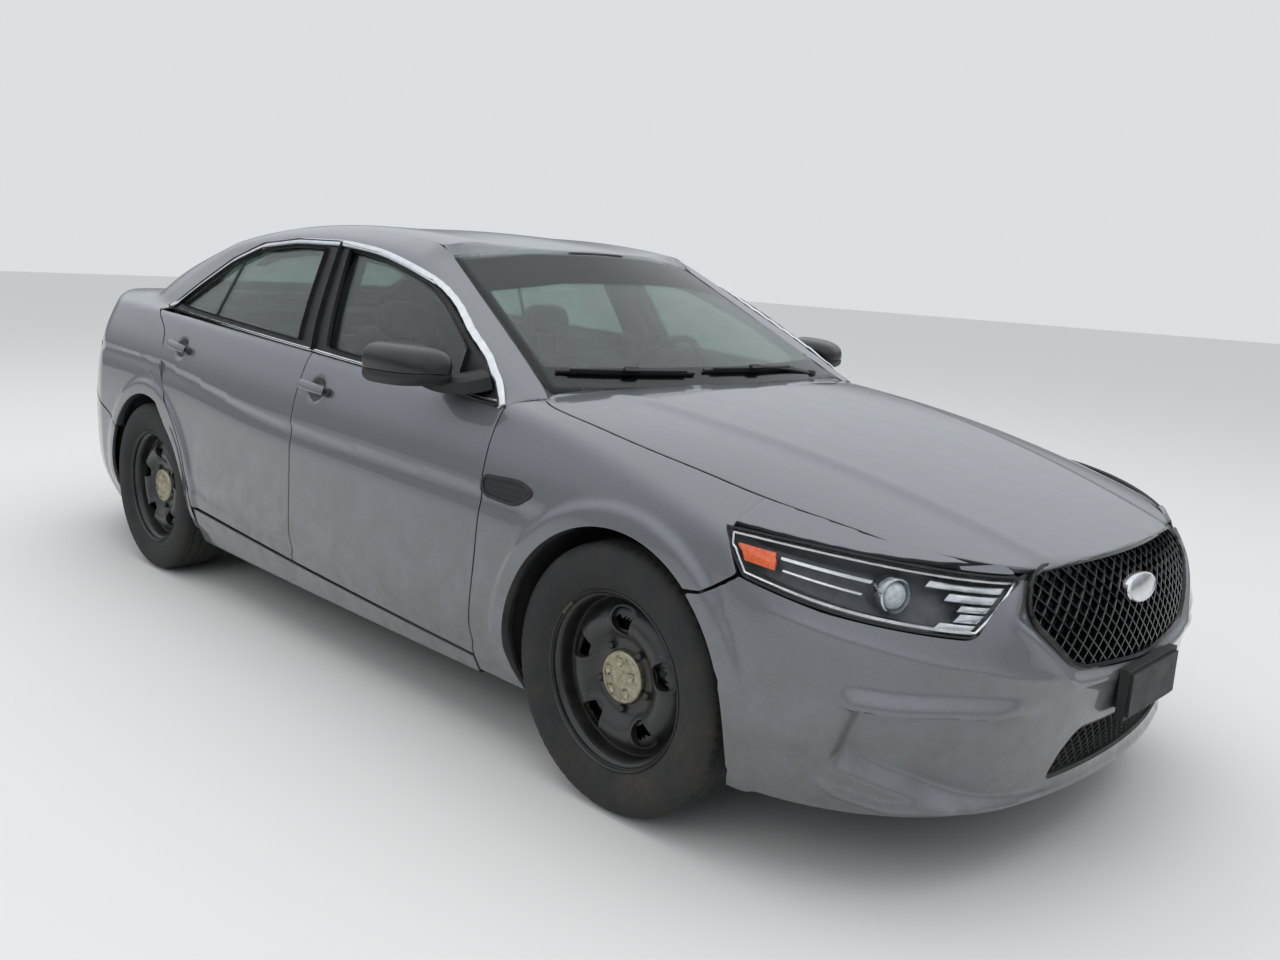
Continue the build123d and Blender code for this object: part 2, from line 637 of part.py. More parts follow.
def fuel_recess():
    x_back, x_front, z_low, z_high = FUEL_FLAP
    zone = box(x_back - SHUT_GAP, x_front + SHUT_GAP, 700, 1100, z_low - SHUT_GAP, z_high + SHUT_GAP)
    return (LOWER - lower_volume(FLAP_THICK * 2.2)) & zone


# Wheels
def wheel_profile(points):
    """Solid turned about the wheel's axle from (radius, distance outboard of the wheel centre)."""
    face = make_face(Polyline(*[(radius, 0, out) for radius, out in points], close=True))
    turned = revolve(face, Axis.Z)
    return Rot(X=90) * turned


def tyre():
    half, bead = TYRE_WIDTH / 2, RIM_WIDTH / 2 - RIM_WALL - FIT_GAP
    inner = RIM_SEAT_RADIUS + FIT_GAP
    wall = TYRE_WALL
    points = [
        (inner, -bead), (244, -bead), (250, -bead - 2), (268, -half + 8), (300, -half), (335, -half + 5), (352, -half + 16),
        (TYRE_RADIUS - 1, -half + 34), (TYRE_RADIUS, 0), (TYRE_RADIUS - 1, half - 34), (352, half - 16),
        (335, half - 5), (300, half), (268, half - 8), (250, bead + 2), (244, bead), (inner, bead), (inner, bead - wall),
        (262, half - 8 - wall), (300, half - wall), (342, half - 8 - wall), (348, half - 40), (349, 0),
        (348, 40 - half), (342, 8 + wall - half), (300, wall - half), (262, 8 + wall - half), (inner, wall - bead),
    ]
    return wheel_profile(points)


def wheel():
    """Steel wheel with hub, centre cap and brake disc."""
    half = RIM_WIDTH / 2
    seat, flange, wall = RIM_SEAT_RADIUS, RIM_RADIUS, RIM_WALL
    barrel = wheel_profile([
        (seat - wall, -half), (flange, -half), (flange, -half + wall), (seat, -half + wall), (seat, half - wall),
        (flange, half - wall), (flange, half), (seat - wall, half), (seat - wall, half - 30), (212, half - 36),
        (212, -half + 30), (seat - wall, -half + 24),
    ])
    dish = wheel_profile([
        (34, WHEEL_OFFSET), (100, WHEEL_OFFSET), (118, WHEEL_OFFSET + 22), (150, WHEEL_OFFSET + 34),
        (182, WHEEL_OFFSET + 22), (200, WHEEL_OFFSET + 2), (216, WHEEL_OFFSET - 6), (216, WHEEL_OFFSET - 14),
        (200, WHEEL_OFFSET - 8), (180, WHEEL_OFFSET + 10), (150, WHEEL_OFFSET + 22), (122, WHEEL_OFFSET + 12),
        (104, WHEEL_OFFSET - 10), (34, WHEEL_OFFSET - 10),
    ])
    slot = polygon([(116, -26), (174, -48), (188, 0), (174, 48), (116, 26)])
    slot = fillet(slot.vertices(), 11)
    cutter = Rot(X=90) * extrude(slot, amount=400, both=True)
    for step in range(5):
        dish -= Rot(Y=90 + 72 * step) * cutter
    cap = wheel_profile([(0, 62), (34, 60), (60, 50), (72, WHEEL_OFFSET), (0, WHEEL_OFFSET)])
    hub = wheel_profile([
        (SPINDLE_RADIUS + SEAT_GAP, HUB_INNER), (62, HUB_INNER), (62, WHEEL_OFFSET - 10), (80, WHEEL_OFFSET - 10),
        (80, WHEEL_OFFSET), (0, WHEEL_OFFSET), (0, WHEEL_OFFSET - 4), (SPINDLE_RADIUS + SEAT_GAP, WHEEL_OFFSET - 4),
    ])
    disc = wheel_profile([
        (60, DISC_IN), (DISC_RADIUS, DISC_IN), (DISC_RADIUS, DISC_IN + DISC_THICK), (92, DISC_IN + DISC_THICK),
        (92, WHEEL_OFFSET - 12), (60, WHEEL_OFFSET - 12),
    ])
    return barrel + dish + cap + hub + disc


def front_knuckle_right():
    """Upright with spindle, caliper and steering arm; its two pins turn in the suspension arms."""
    x, y, z = FRONT_AXLE_X, -KINGPIN_Y, TYRE_RADIUS
    upright = box(x - 34, x + 34, y + 2, y + 40, z - 128, z + 128)
    top = box(x - 26, x + 26, y - 26, y + 40, z + 118, z + 142)
    foot = box(x - 26, x + 26, y - 26, y + 40, z - 142, z - 118)
    spindle = rod((x, y + 20, z), (x, -HALF_TRACK - WHEEL_OFFSET + 10, z), SPINDLE_RADIUS)
    pins = rod((x, y, z + 130), (x, y, z + 176), KINGPIN_RADIUS)
    pins += rod((x, y, z - 130), (x, y, z - 176), KINGPIN_RADIUS)
    arm = box(x - 118, x - 20, y + 8, y + 30, z - 60, z - 32)
    caliper = box(x - 176, x - 96, y - 2, y + 38, z - 30, z + 70)
    caliper += box(x - 120, x - 20, y + 8, y + 30, z - 10, z + 40)
    return upright + top + foot + spindle + pins + arm + caliper


def arch_liner(x, inner_y, strut):
    """Right wheel-arch liner."""
    shell = arch(x, LINER_RADIUS, -1100, -inner_y) - arch(x, LINER_RADIUS - LINER_THICK, -1200, 0)
    shell &= lower_volume(BUMPER_THICK + FIT_GAP) & box(x - 500, x + 500, -1100, 0, 230, 1000)
    if strut:
        shell -= rod((x, -STRUT_Y, 500), (x, -STRUT_Y, 1000), STRUT_RADIUS + 6)
    return shell


def subframes():
    """Front and rear subframes with suspension arms, struts and the rear wheel carriers."""
    x, z = FRONT_AXLE_X, TYRE_RADIUS
    front = box(x - 190, x + 150, -470, 470, 190, 240)
    for side in (-1, 1):
        y = side * KINGPIN_Y
        for level, root in ((z - 160, 440), (z + 160, 472)):
            front += box(x - 24, x + 24, min(y, side * root), max(y, side * root), level - 12, level + 12)
            front += rod((x, y, level - 12), (x, y, level + 12), 26)
            front -= rod((x, y, level - 40), (x, y, level + 40), KINGPIN_RADIUS + SEAT_GAP)
        front += rod((x, side * STRUT_Y, z - 160), (x, side * STRUT_Y, TOWER_Z - FIT_GAP), STRUT_RADIUS)
        web = sorted((side * 470.05, side * 479.95))
        front += box(x - 24, x + 24, *web, 190, z + 172)
    rx = REAR_AXLE_X
    rear = box(rx - 150, rx + 150, -520, 520, 250, 300)
    for side in (-1, 1):
        ys = sorted((side * 480, side * (HALF_TRACK - 60)))
        rear += box(rx - 60, rx + 60, ys[0], ys[1], 250, 276)
        hub = sorted((side * (HALF_TRACK - 78), side * (HALF_TRACK - 40)))
        rear += box(rx - 50, rx + 50, hub[0], hub[1], 250, z + 90)
        tip = side * (HALF_TRACK + WHEEL_OFFSET - 10)
        rear += rod((rx, side * (HALF_TRACK - 50), z), (rx, tip, z), SPINDLE_RADIUS)
        rear += rod((rx + 60, side * 440, 262), (rx + 60, side * 440, BOOT_FLOOR_Z - FIT_GAP), 32)
    return Compound(children=[biggest(front), biggest(rear)])


def underbody():
    """Floor, tunnel, sills, seat-back panel, parcel shelf and boot floor."""
    floor = box(-1000, 1120, -800, 800, 215, 240) + box(-479, 1094.9, -120, 120, 215, 330)
    skin = LOWER - lower_volume(DOOR_THICK, OPEN_TOP)
    edge = [(972 - 2, 262 - SHUT_GAP), (-66, 310 - SHUT_GAP), (-872, 362 - SHUT_GAP - 8)]
    sill = skin & along_y(polygon([(974, 200), *edge, (-884, 200)]), -1100, -500)
    inner = box(-900, 1010, -822, -770, 215, SILL_TOP_Z)
    body = floor + both(sill + inner)
    kick = box(-1010, -960, -600, 600, 215, 420)
    back = along_y(polygon([(-962, 415), (-1402, 1120), (-1426, 1120), (-986, 415)]), -560, 560)
    shelf = box(-1900, -1380, -540, 540, 1096, 1120) & lower_volume(30, 30)
    hinge_x, hinge_z = BOOT_HINGE
    lugs = box(hinge_x - 14, hinge_x + 14, -545, -520, 1110, hinge_z + 14)
    lugs = both(lugs + disc_y(hinge_x, -574, -530, hinge_z, LID_HINGE_RADIUS))
    boot = box(-2440, -1050, -490, 490, BOOT_FLOOR_Z, BOOT_FLOOR_Z + 24) & lower_volume(45)
    wall = polygon([(-2480, 460), (-2480, 1095.9), (-1440, 1095.9), (-1432, 1060), (-1045, 440)])
    walls = both(along_y(wall, -500, -476) & lower_volume(60))
    beam = box(-2700, -2400, -640, 640, 470, 560) & lower_volume(BUMPER_THICK + FIT_GAP)
    posts = both(box(-2480, -2380, -620, -470, 440, 600) & lower_volume(BUMPER_THICK + FIT_GAP))
    body = body + kick + back + shelf + lugs + boot + walls + beam + posts
    for side in (-1, 1):
        body -= arch(REAR_AXLE_X, LINER_RADIUS + FIT_GAP, side * (LINER_INNER_Y + 1), side * 1200)
    return biggest(body)


def front_frame():
    """Bulkhead, strut towers, inner wings, rails and bumper beam."""
    bulkhead = box(1095, 1121, -748, 748, 240.1, 960)
    frame = bulkhead

    def slab(x0, x1, y0, y1, z0, z1):
        return box(x0, x1, *sorted((side * y0, side * y1)), z0, z1)

    for side in (-1, 1):
        frame += slab(1110, 1880, 480, LINER_INNER_Y - FIT_GAP, 420, 840)
        frame += slab(1110, 2260, 480, LINER_INNER_Y - FIT_GAP, 420, 630)
        frame += slab(1110, 2330, 400, 470, 430, 500)
        frame += slab(1110, 2330, 400, 482, 480, 492)
        frame -= slab(FRONT_AXLE_X - 40, FRONT_AXLE_X + 40, 470, 510, 440, 560)
        frame += slab(1130, 1900, 480, 1100, 806, 832) & lower_volume(WING_THICK + FIT_GAP)
        frame += slab(1900, 2240, 470, 640, 690, 716) & lower_volume(LAMP_DEPTH + FIT_GAP)
        frame += slab(1900, 1925, 470, LINER_INNER_Y - FIT_GAP, 600, 716)
        frame += slab(FRONT_AXLE_X - 90, FRONT_AXLE_X + 90, 480, 700, TOWER_Z, 880)
    frame += box(2230, 2262, -498, 498, 300, 700)
    frame += box(2290, 2700, -560, 560, 440, 520) & lower_volume(BUMPER_THICK + FIT_GAP)
    frame -= bonnet_keepout(8)
    return biggest(frame)


def dashboard():
    outline = polygon([
        (1090, 900), (1075, 975), (980, 985), (760, 1000), (610, 955), (590, 860), (700, 720), (860, 640),
        (1000, 640), (1090, 720),
    ])
    dash = along_y(outline, -652, 652)
    dash -= box(400, 720, 180, 560, 700, 860)
    column = rod((720, WHEEL_Y, 868), (600, WHEEL_Y, 924), 34)
    console = box(-250, 800, -110, 110, 330.1, 560) + box(480, 860, -110, 110, 500, 700)
    shaft = rod((560, WHEEL_Y, 985 - 90 * 0.4669), (680, WHEEL_Y, 985 - 210 * 0.4669), 20 + SEAT_GAP)
    return biggest(dash + console + column - shaft)


def steering_wheel():
    centre = Vector(470, WHEEL_Y, 985)
    plane = Plane(origin=centre, z_dir=STEER_AXIS, x_dir=(0, 1, 0))
    rim = plane * Torus(182, 15)
    hub = extrude(plane * Circle(62), amount=50)
    spokes = extrude(plane * (Rectangle(364, 34) + Pos(0, -91) * Rectangle(34, 182)), amount=14)
    shaft = extrude(plane * Circle(20), amount=200)
    return rim + hub + (spokes - extrude(plane * (Circle(230) - Circle(178)), amount=60)) + shaft


def seat(y, x=0.0):
    """Front seat."""
    cushion = box(x - 60, x + 480, y - 245, y + 245, 300, 450)
    legs = box(x, x + 420, y - 200, y - 170, 240.1, 310) + box(x, x + 420, y + 170, y + 200, 240.1, 310)
    back = polygon([(x - 70, 300), (x + 70, 430), (x - 170, 1060), (x - 270, 1060)])
    back = along_y(back, y - 240, y + 240)
    head = polygon([(x - 190, 1085), (x - 290, 1085), (x - 320, 1240), (x - 230, 1250)])
    head = along_y(head, y - 130, y + 130)
    stem = box(x - 250, x - 235, y - 60, y - 46, 1040, 1110)
    stem += box(x - 250, x - 235, y + 46, y + 60, 1040, 1110)
    return cushion + legs + back + head + stem


def rear_bench():
    cushion = box(-959.9, -480, -600, 600, 240.1, 440)
    back = along_y(polygon([(-958, 425), (-860, 425), (-1260, 1090), (-1370, 1090)]), -560, 560)
    bench = cushion + back
    for side in (-1, 1):
        bench -= arch(REAR_AXLE_X, LINER_RADIUS + 4, side * (LINER_INNER_Y - 2), side * 1200)
    return biggest(bench)


def engine_block():
    return box(1300, 1840, -330, 330, 300, 800) + box(1360, 1700, -330, 330, 240.1, 310)


def tail_pipes(radius):
    return both(rod((-2290, -380, 260), (-2505, -500, 236), radius))


def exhaust():
    pipe = rod((1400, -60, 156), (-1500, -60, 156), 27) + box(-2300, -1960, -430, 430, 200, 330)
    pipe += rod((-1500, -60, 156), (-2000, -160, 240), 27)
    hangers = box(-2200, -2170, -15, 15, 320, BOOT_FLOOR_Z - FIT_GAP)
    hangers += box(600, 630, -70, -50, 170, 215 - FIT_GAP)
    return pipe + tail_pipes(30) + hangers


def plate_bracket():
    plate = box(2548, 2570, -160, 160, 390, 520) + box(2570, HALF_LENGTH, -150, 150, 400, 510)
    feet = box(2400, 2560, -120, 120, 405, 480)
    return biggest((plate + feet) - lower_volume(-SEAT_GAP))


# Nodes
def make_nodes():
    nodes = {}
    wing, quarter = front_wing(), quarter_panel()
    nodes["underbody"] = underbody()
    nodes["front_frame"] = front_frame()
    nodes["side_frames"] = both(side_frame())
    nodes["roof_panel"] = roof_panel()
    nodes["front_wings"] = both(wing)
    left_quarter = mirrored(quarter) - fuel_recess() + fuel_pin(FLAP_HINGE_RADIUS, 14)
    nodes["quarter_panels"] = Compound(children=[biggest(quarter), biggest(left_quarter)])
    nodes["front_bumper"] = front_bumper()
    nodes["rear_bumper"] = rear_bumper()
    nodes["grilles"] = grilles()
    nodes["plate_bracket"] = plate_bracket()
    nodes["headlamps"] = both(headlamp())
    nodes["tail_lamps"] = both(tail_lamp())
    nodes["screens"] = screens()
    nodes["cowl"] = cowl()
    liners = [arch_liner(FRONT_AXLE_X, LINER_INNER_Y, True), arch_liner(REAR_AXLE_X, LINER_INNER_Y + 2, False)]
    nodes["arch_liners"] = both(Compound(children=liners))
    nodes["dashboard"] = dashboard()
    nodes["front_seats"] = both(seat(-SEAT_Y))
    nodes["rear_bench"] = rear_bench()
    nodes["engine_block"] = engine_block()
    nodes["exhaust"] = exhaust()
    nodes["subframes"] = subframes()
    nodes["steering_wheel"] = steering_wheel()
    for place, is_front in (("front", True), ("rear", False)):
        panel, glass = door(is_front), door_glass(is_front)
        nodes[f"{place}_door_right"], nodes[f"{place}_door_left"] = panel, mirrored(panel)
        nodes[f"{place}_door_glass_right"], nodes[f"{place}_door_glass_left"] = glass, mirrored(glass)
    door_mirror = mirror_right()
    nodes["mirror_right"], nodes["mirror_left"] = door_mirror, mirrored(door_mirror)
    nodes["bonnet"] = bonnet()
    nodes["boot_lid"] = boot_lid()
    nodes["fuel_flap"] = fuel_flap()
    rubber, steel, knuckle = tyre(), wheel(), front_knuckle_right()
    for place, x in (("front", FRONT_AXLE_X), ("rear", REAR_AXLE_X)):
        for hand, sign in (("right", -1), ("left", 1)):
            spot = Pos(x, sign * HALF_TRACK, TYRE_RADIUS)
            turn = Rot(Z=0) if sign < 0 else Rot(Z=180)
            nodes[f"{place}_tyre_{hand}"] = spot * turn * rubber
            nodes[f"{place}_wheel_{hand}"] = spot * turn * steel
    nodes["front_knuckle_right"], nodes["front_knuckle_left"] = knuckle, mirrored(knuckle)
    return nodes


if __name__ == "__main__":
    os.makedirs("parts", exist_ok=True)
    for name, shape in make_nodes().items():
        export_step(shape, f"parts/{name}.step")
        print(name, len(shape.solids()), round(shape.volume / 1e6, 2), flush=True)
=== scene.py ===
"""Looks of the full-size patrol saloon: skins, lamps, wheels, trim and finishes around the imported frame.

Lengths are millimetres until a mesh is made. x is forward, y is the car's left, z is up. Right-hand
pieces are worked out as positive y and turned over.
"""

import math

import bmesh
import bpy
import numpy as np
from mathutils import Matrix


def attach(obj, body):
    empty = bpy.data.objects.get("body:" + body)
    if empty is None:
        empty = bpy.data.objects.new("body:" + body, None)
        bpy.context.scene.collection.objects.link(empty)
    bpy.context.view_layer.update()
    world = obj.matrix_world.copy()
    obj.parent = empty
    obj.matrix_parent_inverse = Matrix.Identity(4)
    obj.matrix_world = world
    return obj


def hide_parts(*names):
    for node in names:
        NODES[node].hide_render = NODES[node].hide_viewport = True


bl_info = {
    "name": "Patrol Saloon Looks",
    "version": (1, 0, 0),
    "blender": (4, 5, 0),
    "location": "3D View > Sidebar > Patrol Saloon",
    "description": "Skins, lamps, wheels, trim and finishes of a full-size patrol saloon",
    "category": "Add Mesh",
}

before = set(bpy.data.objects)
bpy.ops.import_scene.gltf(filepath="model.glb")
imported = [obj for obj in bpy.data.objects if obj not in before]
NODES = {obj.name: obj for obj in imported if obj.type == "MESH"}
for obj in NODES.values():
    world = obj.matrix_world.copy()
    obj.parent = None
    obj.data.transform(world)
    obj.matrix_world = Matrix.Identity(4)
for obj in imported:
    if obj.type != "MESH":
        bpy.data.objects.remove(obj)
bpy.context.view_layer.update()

FRONT_AXLE, REAR_AXLE, AXLE_Z, HALF_TRACK = 1558.0, -1310.0, 363.0, 828.0
ARCH_RADIUS = 402.0

# Plan outline of the lower body at seven heights: z, nose x, then (x, y) pairs round the side to the tail.
LEVELS = np.array([
    (200, 2478, 2428, 470, 2300, 700, 1960, 872, 900, -1850, 858, -2180, 745, -2425, 560, -2492),
    (330, 2520, 2462, 480, 2335, 728, 1950, 935, 948, -1850, 918, -2200, 795, -2480, 590, -2556),
    (520, 2546, 2484, 485, 2350, 742, 1945, 954, 962, -1850, 940, -2210, 816, -2502, 604, -2576),
    (700, 2510, 2446, 490, 2306, 735, 1935, 944, 960, -1850, 940, -2208, 815, -2502, 604, -2576),
    (850, 2420, 2352, 480, 2220, 700, 1910, 912, 951, -1850, 930, -2196, 802, -2484, 596, -2556),
    (1000, 2300, 2230, 450, 2100, 650, 1850, 848, 905, -1850, 896, -2176, 772, -2452, 570, -2528),
    (1200, 2150, 2080, 400, 1950, 560, 1760, 720, 800, -1850, 790, -2130, 690, -2390, 470, -2490),
], float)
TOP_X = (2620.0, 1900.0, 1030.0, -1480.0, -1960.0, -2620.0)
TOPS = np.array([
    (0, 722, 950, 1068, 1150, 1182, 1150),
    (450, 706, 936, 1058, 1148, 1178, 1142),
    (700, 664, 902, 1036, 1136, 1164, 1122),
    (900, 600, 838, 1006, 1120, 1100, 1046),
    (1050, 540, 770, 960, 1100, 1010, 950),
], float)
CABIN = np.array([
    (960, 1330, 1168, 786, 1114, 846, -250, 868, -1900, 785, -2250, 650, -2360),
    (1060, 1156, 993, 744, 947, 834, -250, 862, -1760, 770, -2095, 638, -2195),
    (1150, 993, 831, 712, 792, 812, -250, 832, -1620, 748, -1940, 622, -2030),
    (1300, 721, 560, 641, 520, 744, -250, 763, -1290, 700, -1600, 608, -1690),
    (1450, 449, 289, 567, 240, 672, -250, 686, -920, 655, -1050, 585, -1160),
    (1560, 250, 90, 513, 30, 616, -250, 628, -560, 610, -640, 560, -730),
], float)
ROOF_X = (560.0, -380.0, -1320.0)
ROOFS = np.array([
    (0, 1436, 1522, 1420),
    (400, 1430, 1514, 1414),
    (600, 1405, 1497, 1390),
    (780, 1300, 1395, 1290),
    (1000, 1120, 1215, 1110),
], float)

# Shut lines and openings in side view (x, z)
DOOR_FRONT = [(1022, 1008), (1016, 928), (1019, 743), (1010, 566), (989, 379), (976, 266)]
DOOR_REAR = [(-872, 362), (-892, 440), (-938, 573), (-1010, 684), (-1130, 790), (-1205, 922), (-1230, 1030)]
DOOR_SPLIT = [(-66, 316), (-60, 700), (-56, 1080), (-158, 1446)]
DAY_REAR = [(-158, 1446), (-470, 1448), (-747, 1425), (-972, 1358), (-1189, 1254), (-1423, 1129)]
EDGE_FRONT = [(1016, 1009), (976, 1034), (939, 1072), (898, 1098), (857, 1132), (747, 1191), (642, 1253),
              (554, 1300), (463, 1341), (328, 1377), (126, 1419), (-60, 1438)]
BELT = [(1120, 1004), (1016, 1009), (600, 1030), (0, 1062), (-600, 1090), (-1100, 1112), (-1423, 1124), (-1700, 1130)]


# Surfaces of the body
def spline(knots, values, at):
    """Natural cubic spline: second differences solve a tridiagonal system, then a cubic on each span."""
    knots, values, at = np.asarray(knots, float), np.asarray(values, float), np.asarray(at, float)
    n, h = len(knots), np.diff(knots)
    system, right = np.eye(n), np.zeros_like(values)
    for i in range(1, n - 1):
        system[i, i - 1:i + 2] = h[i - 1], 2 * (h[i - 1] + h[i]), h[i]
        right[i] = 6 * ((values[i + 1] - values[i]) / h[i] - (values[i] - values[i - 1]) / h[i - 1])
    bend = np.linalg.solve(system, right)
    i = np.clip(np.searchsorted(knots, at) - 1, 0, n - 2)
    shape = at.shape + (1,) * (values.ndim - 1)
    a, b, w = (knots[i + 1] - at).reshape(shape), (at - knots[i]).reshape(shape), h[i].reshape(shape)
    curve = (bend[i] * a ** 3 + bend[i + 1] * b ** 3) / (6 * w)
    return curve + (values[i] / w - bend[i] * w / 6) * a + (values[i + 1] / w - bend[i + 1] * w / 6) * b


def arc(a, b, c, start=0.0, stop=1.0, count=40):
    """Points on the circle through three points, even by angle from start to stop of its sweep, a row a level."""
    (ax, ay), (bx, by), (cx, cy) = a, b, c
    d = 2 * (ax * (by - cy) + bx * (cy - ay) + cx * (ay - by))
    sa, sb, sc = ax ** 2 + ay ** 2, bx ** 2 + by ** 2, cx ** 2 + cy ** 2
    ux = (sa * (by - cy) + sb * (cy - ay) + sc * (ay - by)) / d
    uy = (sa * (cx - bx) + sb * (ax - cx) + sc * (bx - ax)) / d
    first, last = np.arctan2(ay - uy, ax - ux), np.arctan2(cy - uy, cx - ux)
    sweep = (last - first + math.pi) % (2 * math.pi) - math.pi
    angle = first[:, None] + sweep[:, None] * np.linspace(start, stop, count)[None, :]
    radius = np.hypot(ax - ux, ay - uy)[:, None]
    return ux[:, None] + radius * np.cos(angle), uy[:, None] + radius * np.sin(angle)


def rings(heights):
    """Lower body's plan outlines, nose to tail: four arcs a level through splined corner points."""
    v = spline(LEVELS[:, 0], LEVELS[:, 1:], heights).T
    nose, cx, cy, kx, ky, fx, fy, side, bfx, bfy, bkx, bky, bcx, bcy, tail = v
    zero = np.zeros_like(nose)
    parts = [
        arc((cx, -cy), (nose, zero), (cx, cy), 0.5, 1.0, 50),
        arc((cx, cy), (kx, ky), (fx, fy), count=80),
        arc((fx, fy), (zero, side), (bfx, bfy), count=120),
        arc((bfx, bfy), (bkx, bky), (bcx, bcy), count=80),
        arc((bcx, bcy), (tail, zero), (bcx, -bcy), 0.0, 0.5, 50),
    ]
    return np.hstack([p[0] for p in parts]), np.hstack([p[1] for p in parts])


def cabin_rings(heights):
    """Cabin's plan outlines, windscreen to rear window, as arcs through splined corner points."""
    v = spline(CABIN[:, 0], CABIN[:, 1:], heights).T
    screen, sx, sy, px, py, mx, my, bx, by, wx, wy, back = v
    zero = np.zeros_like(screen)
    parts = [
        arc((sx, -sy), (screen, zero), (sx, sy), 0.5, 1.0, 50),
        arc((sx, sy), ((sx + px) / 2 + 12, (sy + py) / 2 + 12), (px, py), count=20),
        arc((px, py), (mx, my), (bx, by), count=120),
        arc((bx, by), ((bx + wx) / 2 - 12, (by + wy) / 2 + 12), (wx, wy), count=20),
        arc((wx, wy), (back, zero), (wx, -wy), 0.0, 0.5, 50),
    ]
    return np.hstack([p[0] for p in parts]), np.hstack([p[1] for p in parts])


def bow(xs, zs, x):
    """Height at x on the circle through three (x, z) points."""
    (x0, x1, x2), (z0, z1, z2) = xs, zs
    d = 2 * (x0 * (z1 - z2) + x1 * (z2 - z0) + x2 * (z0 - z1))
    s0, s1, s2 = x0 ** 2 + z0 ** 2, x1 ** 2 + z1 ** 2, x2 ** 2 + z2 ** 2
    ux = (s0 * (z1 - z2) + s1 * (z2 - z0) + s2 * (z0 - z1)) / d
    uz = (s0 * (x2 - x1) + s1 * (x0 - x2) + s2 * (x1 - x0)) / d
    r2 = (x0 - ux) ** 2 + (z0 - uz) ** 2
    return uz + np.sqrt(np.maximum(r2 - (x - ux) ** 2, 0))


def mirror_rows(table):
    """The rows of a table by half width, with those of the other side of the car put before them."""
    other = table[:0:-1].copy()
    other[:, 0] *= -1
    return np.vstack([other, table])


TOP_ROWS, ROOF_ROWS = mirror_rows(TOPS), mirror_rows(ROOFS)


def full_turn(count):
    """Even angles of a full turn."""
    return np.linspace(0, 2 * math.pi, count, endpoint=False)


def run_along(*axes):
    """Length run through at each point of a line whose coordinates are given by axis."""
    return np.concatenate([[0], np.cumsum(np.hypot(*[np.diff(axis) for axis in axes]))])


def paired(*values):
    """The values as float arrays of one shape."""
    return np.broadcast_arrays(*[np.asarray(value, float) for value in values])


def top_height(x, y):
    """Height of bonnet, belt and deck: a bow, a straight and a bow along x, splined across y."""
    x, y = paired(x, y)
    z = spline(TOP_ROWS[:, 0], TOP_ROWS[:, 1:], np.clip(y, -1050, 1050).ravel()).T.reshape(6, *x.shape)
    front = bow(TOP_X[:3], z[:3], x)
    flat = z[2] + (z[3] - z[2]) * (TOP_X[2] - x) / (TOP_X[2] - TOP_X[3])
    return np.where(x > TOP_X[2], front, np.where(x > TOP_X[3], flat, bow(TOP_X[3:], z[3:], x)))


def roof_height(x, y):
    """Height of the roof crown: a bow along x, splined across y."""
    x, y = paired(x, y)
    z = spline(ROOF_ROWS[:, 0], ROOF_ROWS[:, 1:], np.clip(y, -1000, 1000).ravel()).T.reshape(3, *x.shape)
    return bow(ROOF_X, z, x)


# Grids of the tables: levels of the lower body and the cabin, sections along the car, half widths
LOW_START, CAB_START, SLICE_START = 200.0, 960.0, -2600.0
LEVEL_STEP, SLICE_STEP, GIRTH_STEP, WIDTH_STEP = 5.0, 10.0, 5.0, 5.0
LOW_Z, CAB_Z = np.arange(LOW_START, 1201.0, LEVEL_STEP), np.arange(CAB_START, 1561.0, LEVEL_STEP)
LOW_RING, CAB_RING = rings(LOW_Z), cabin_rings(CAB_Z)
SLICE_X = np.arange(SLICE_START, 2601.0, SLICE_STEP)
WIDTHS = np.arange(0, 1000.0, WIDTH_STEP)


def half_widths(ring, xs):
    """Half width at every x of every level's outline, nought beyond its ends."""
    return np.array([np.interp(xs, rx[::-1], ry[::-1], left=-1, right=-1) for rx, ry in zip(*ring)]).T


def averaged(row, radius):
    """Gaussian average along a row of even steps, its ends carried on by point reflection."""
    side = 12
    kernel = np.exp(-0.5 * (np.arange(-side, side + 1) * GIRTH_STEP / radius) ** 2)
    kernel /= kernel.sum()
    padded = np.concatenate([2 * row[0] - row[side:0:-1], row, 2 * row[-1] - row[-2:-side - 2:-1]])
    return np.convolve(padded, kernel, "valid")


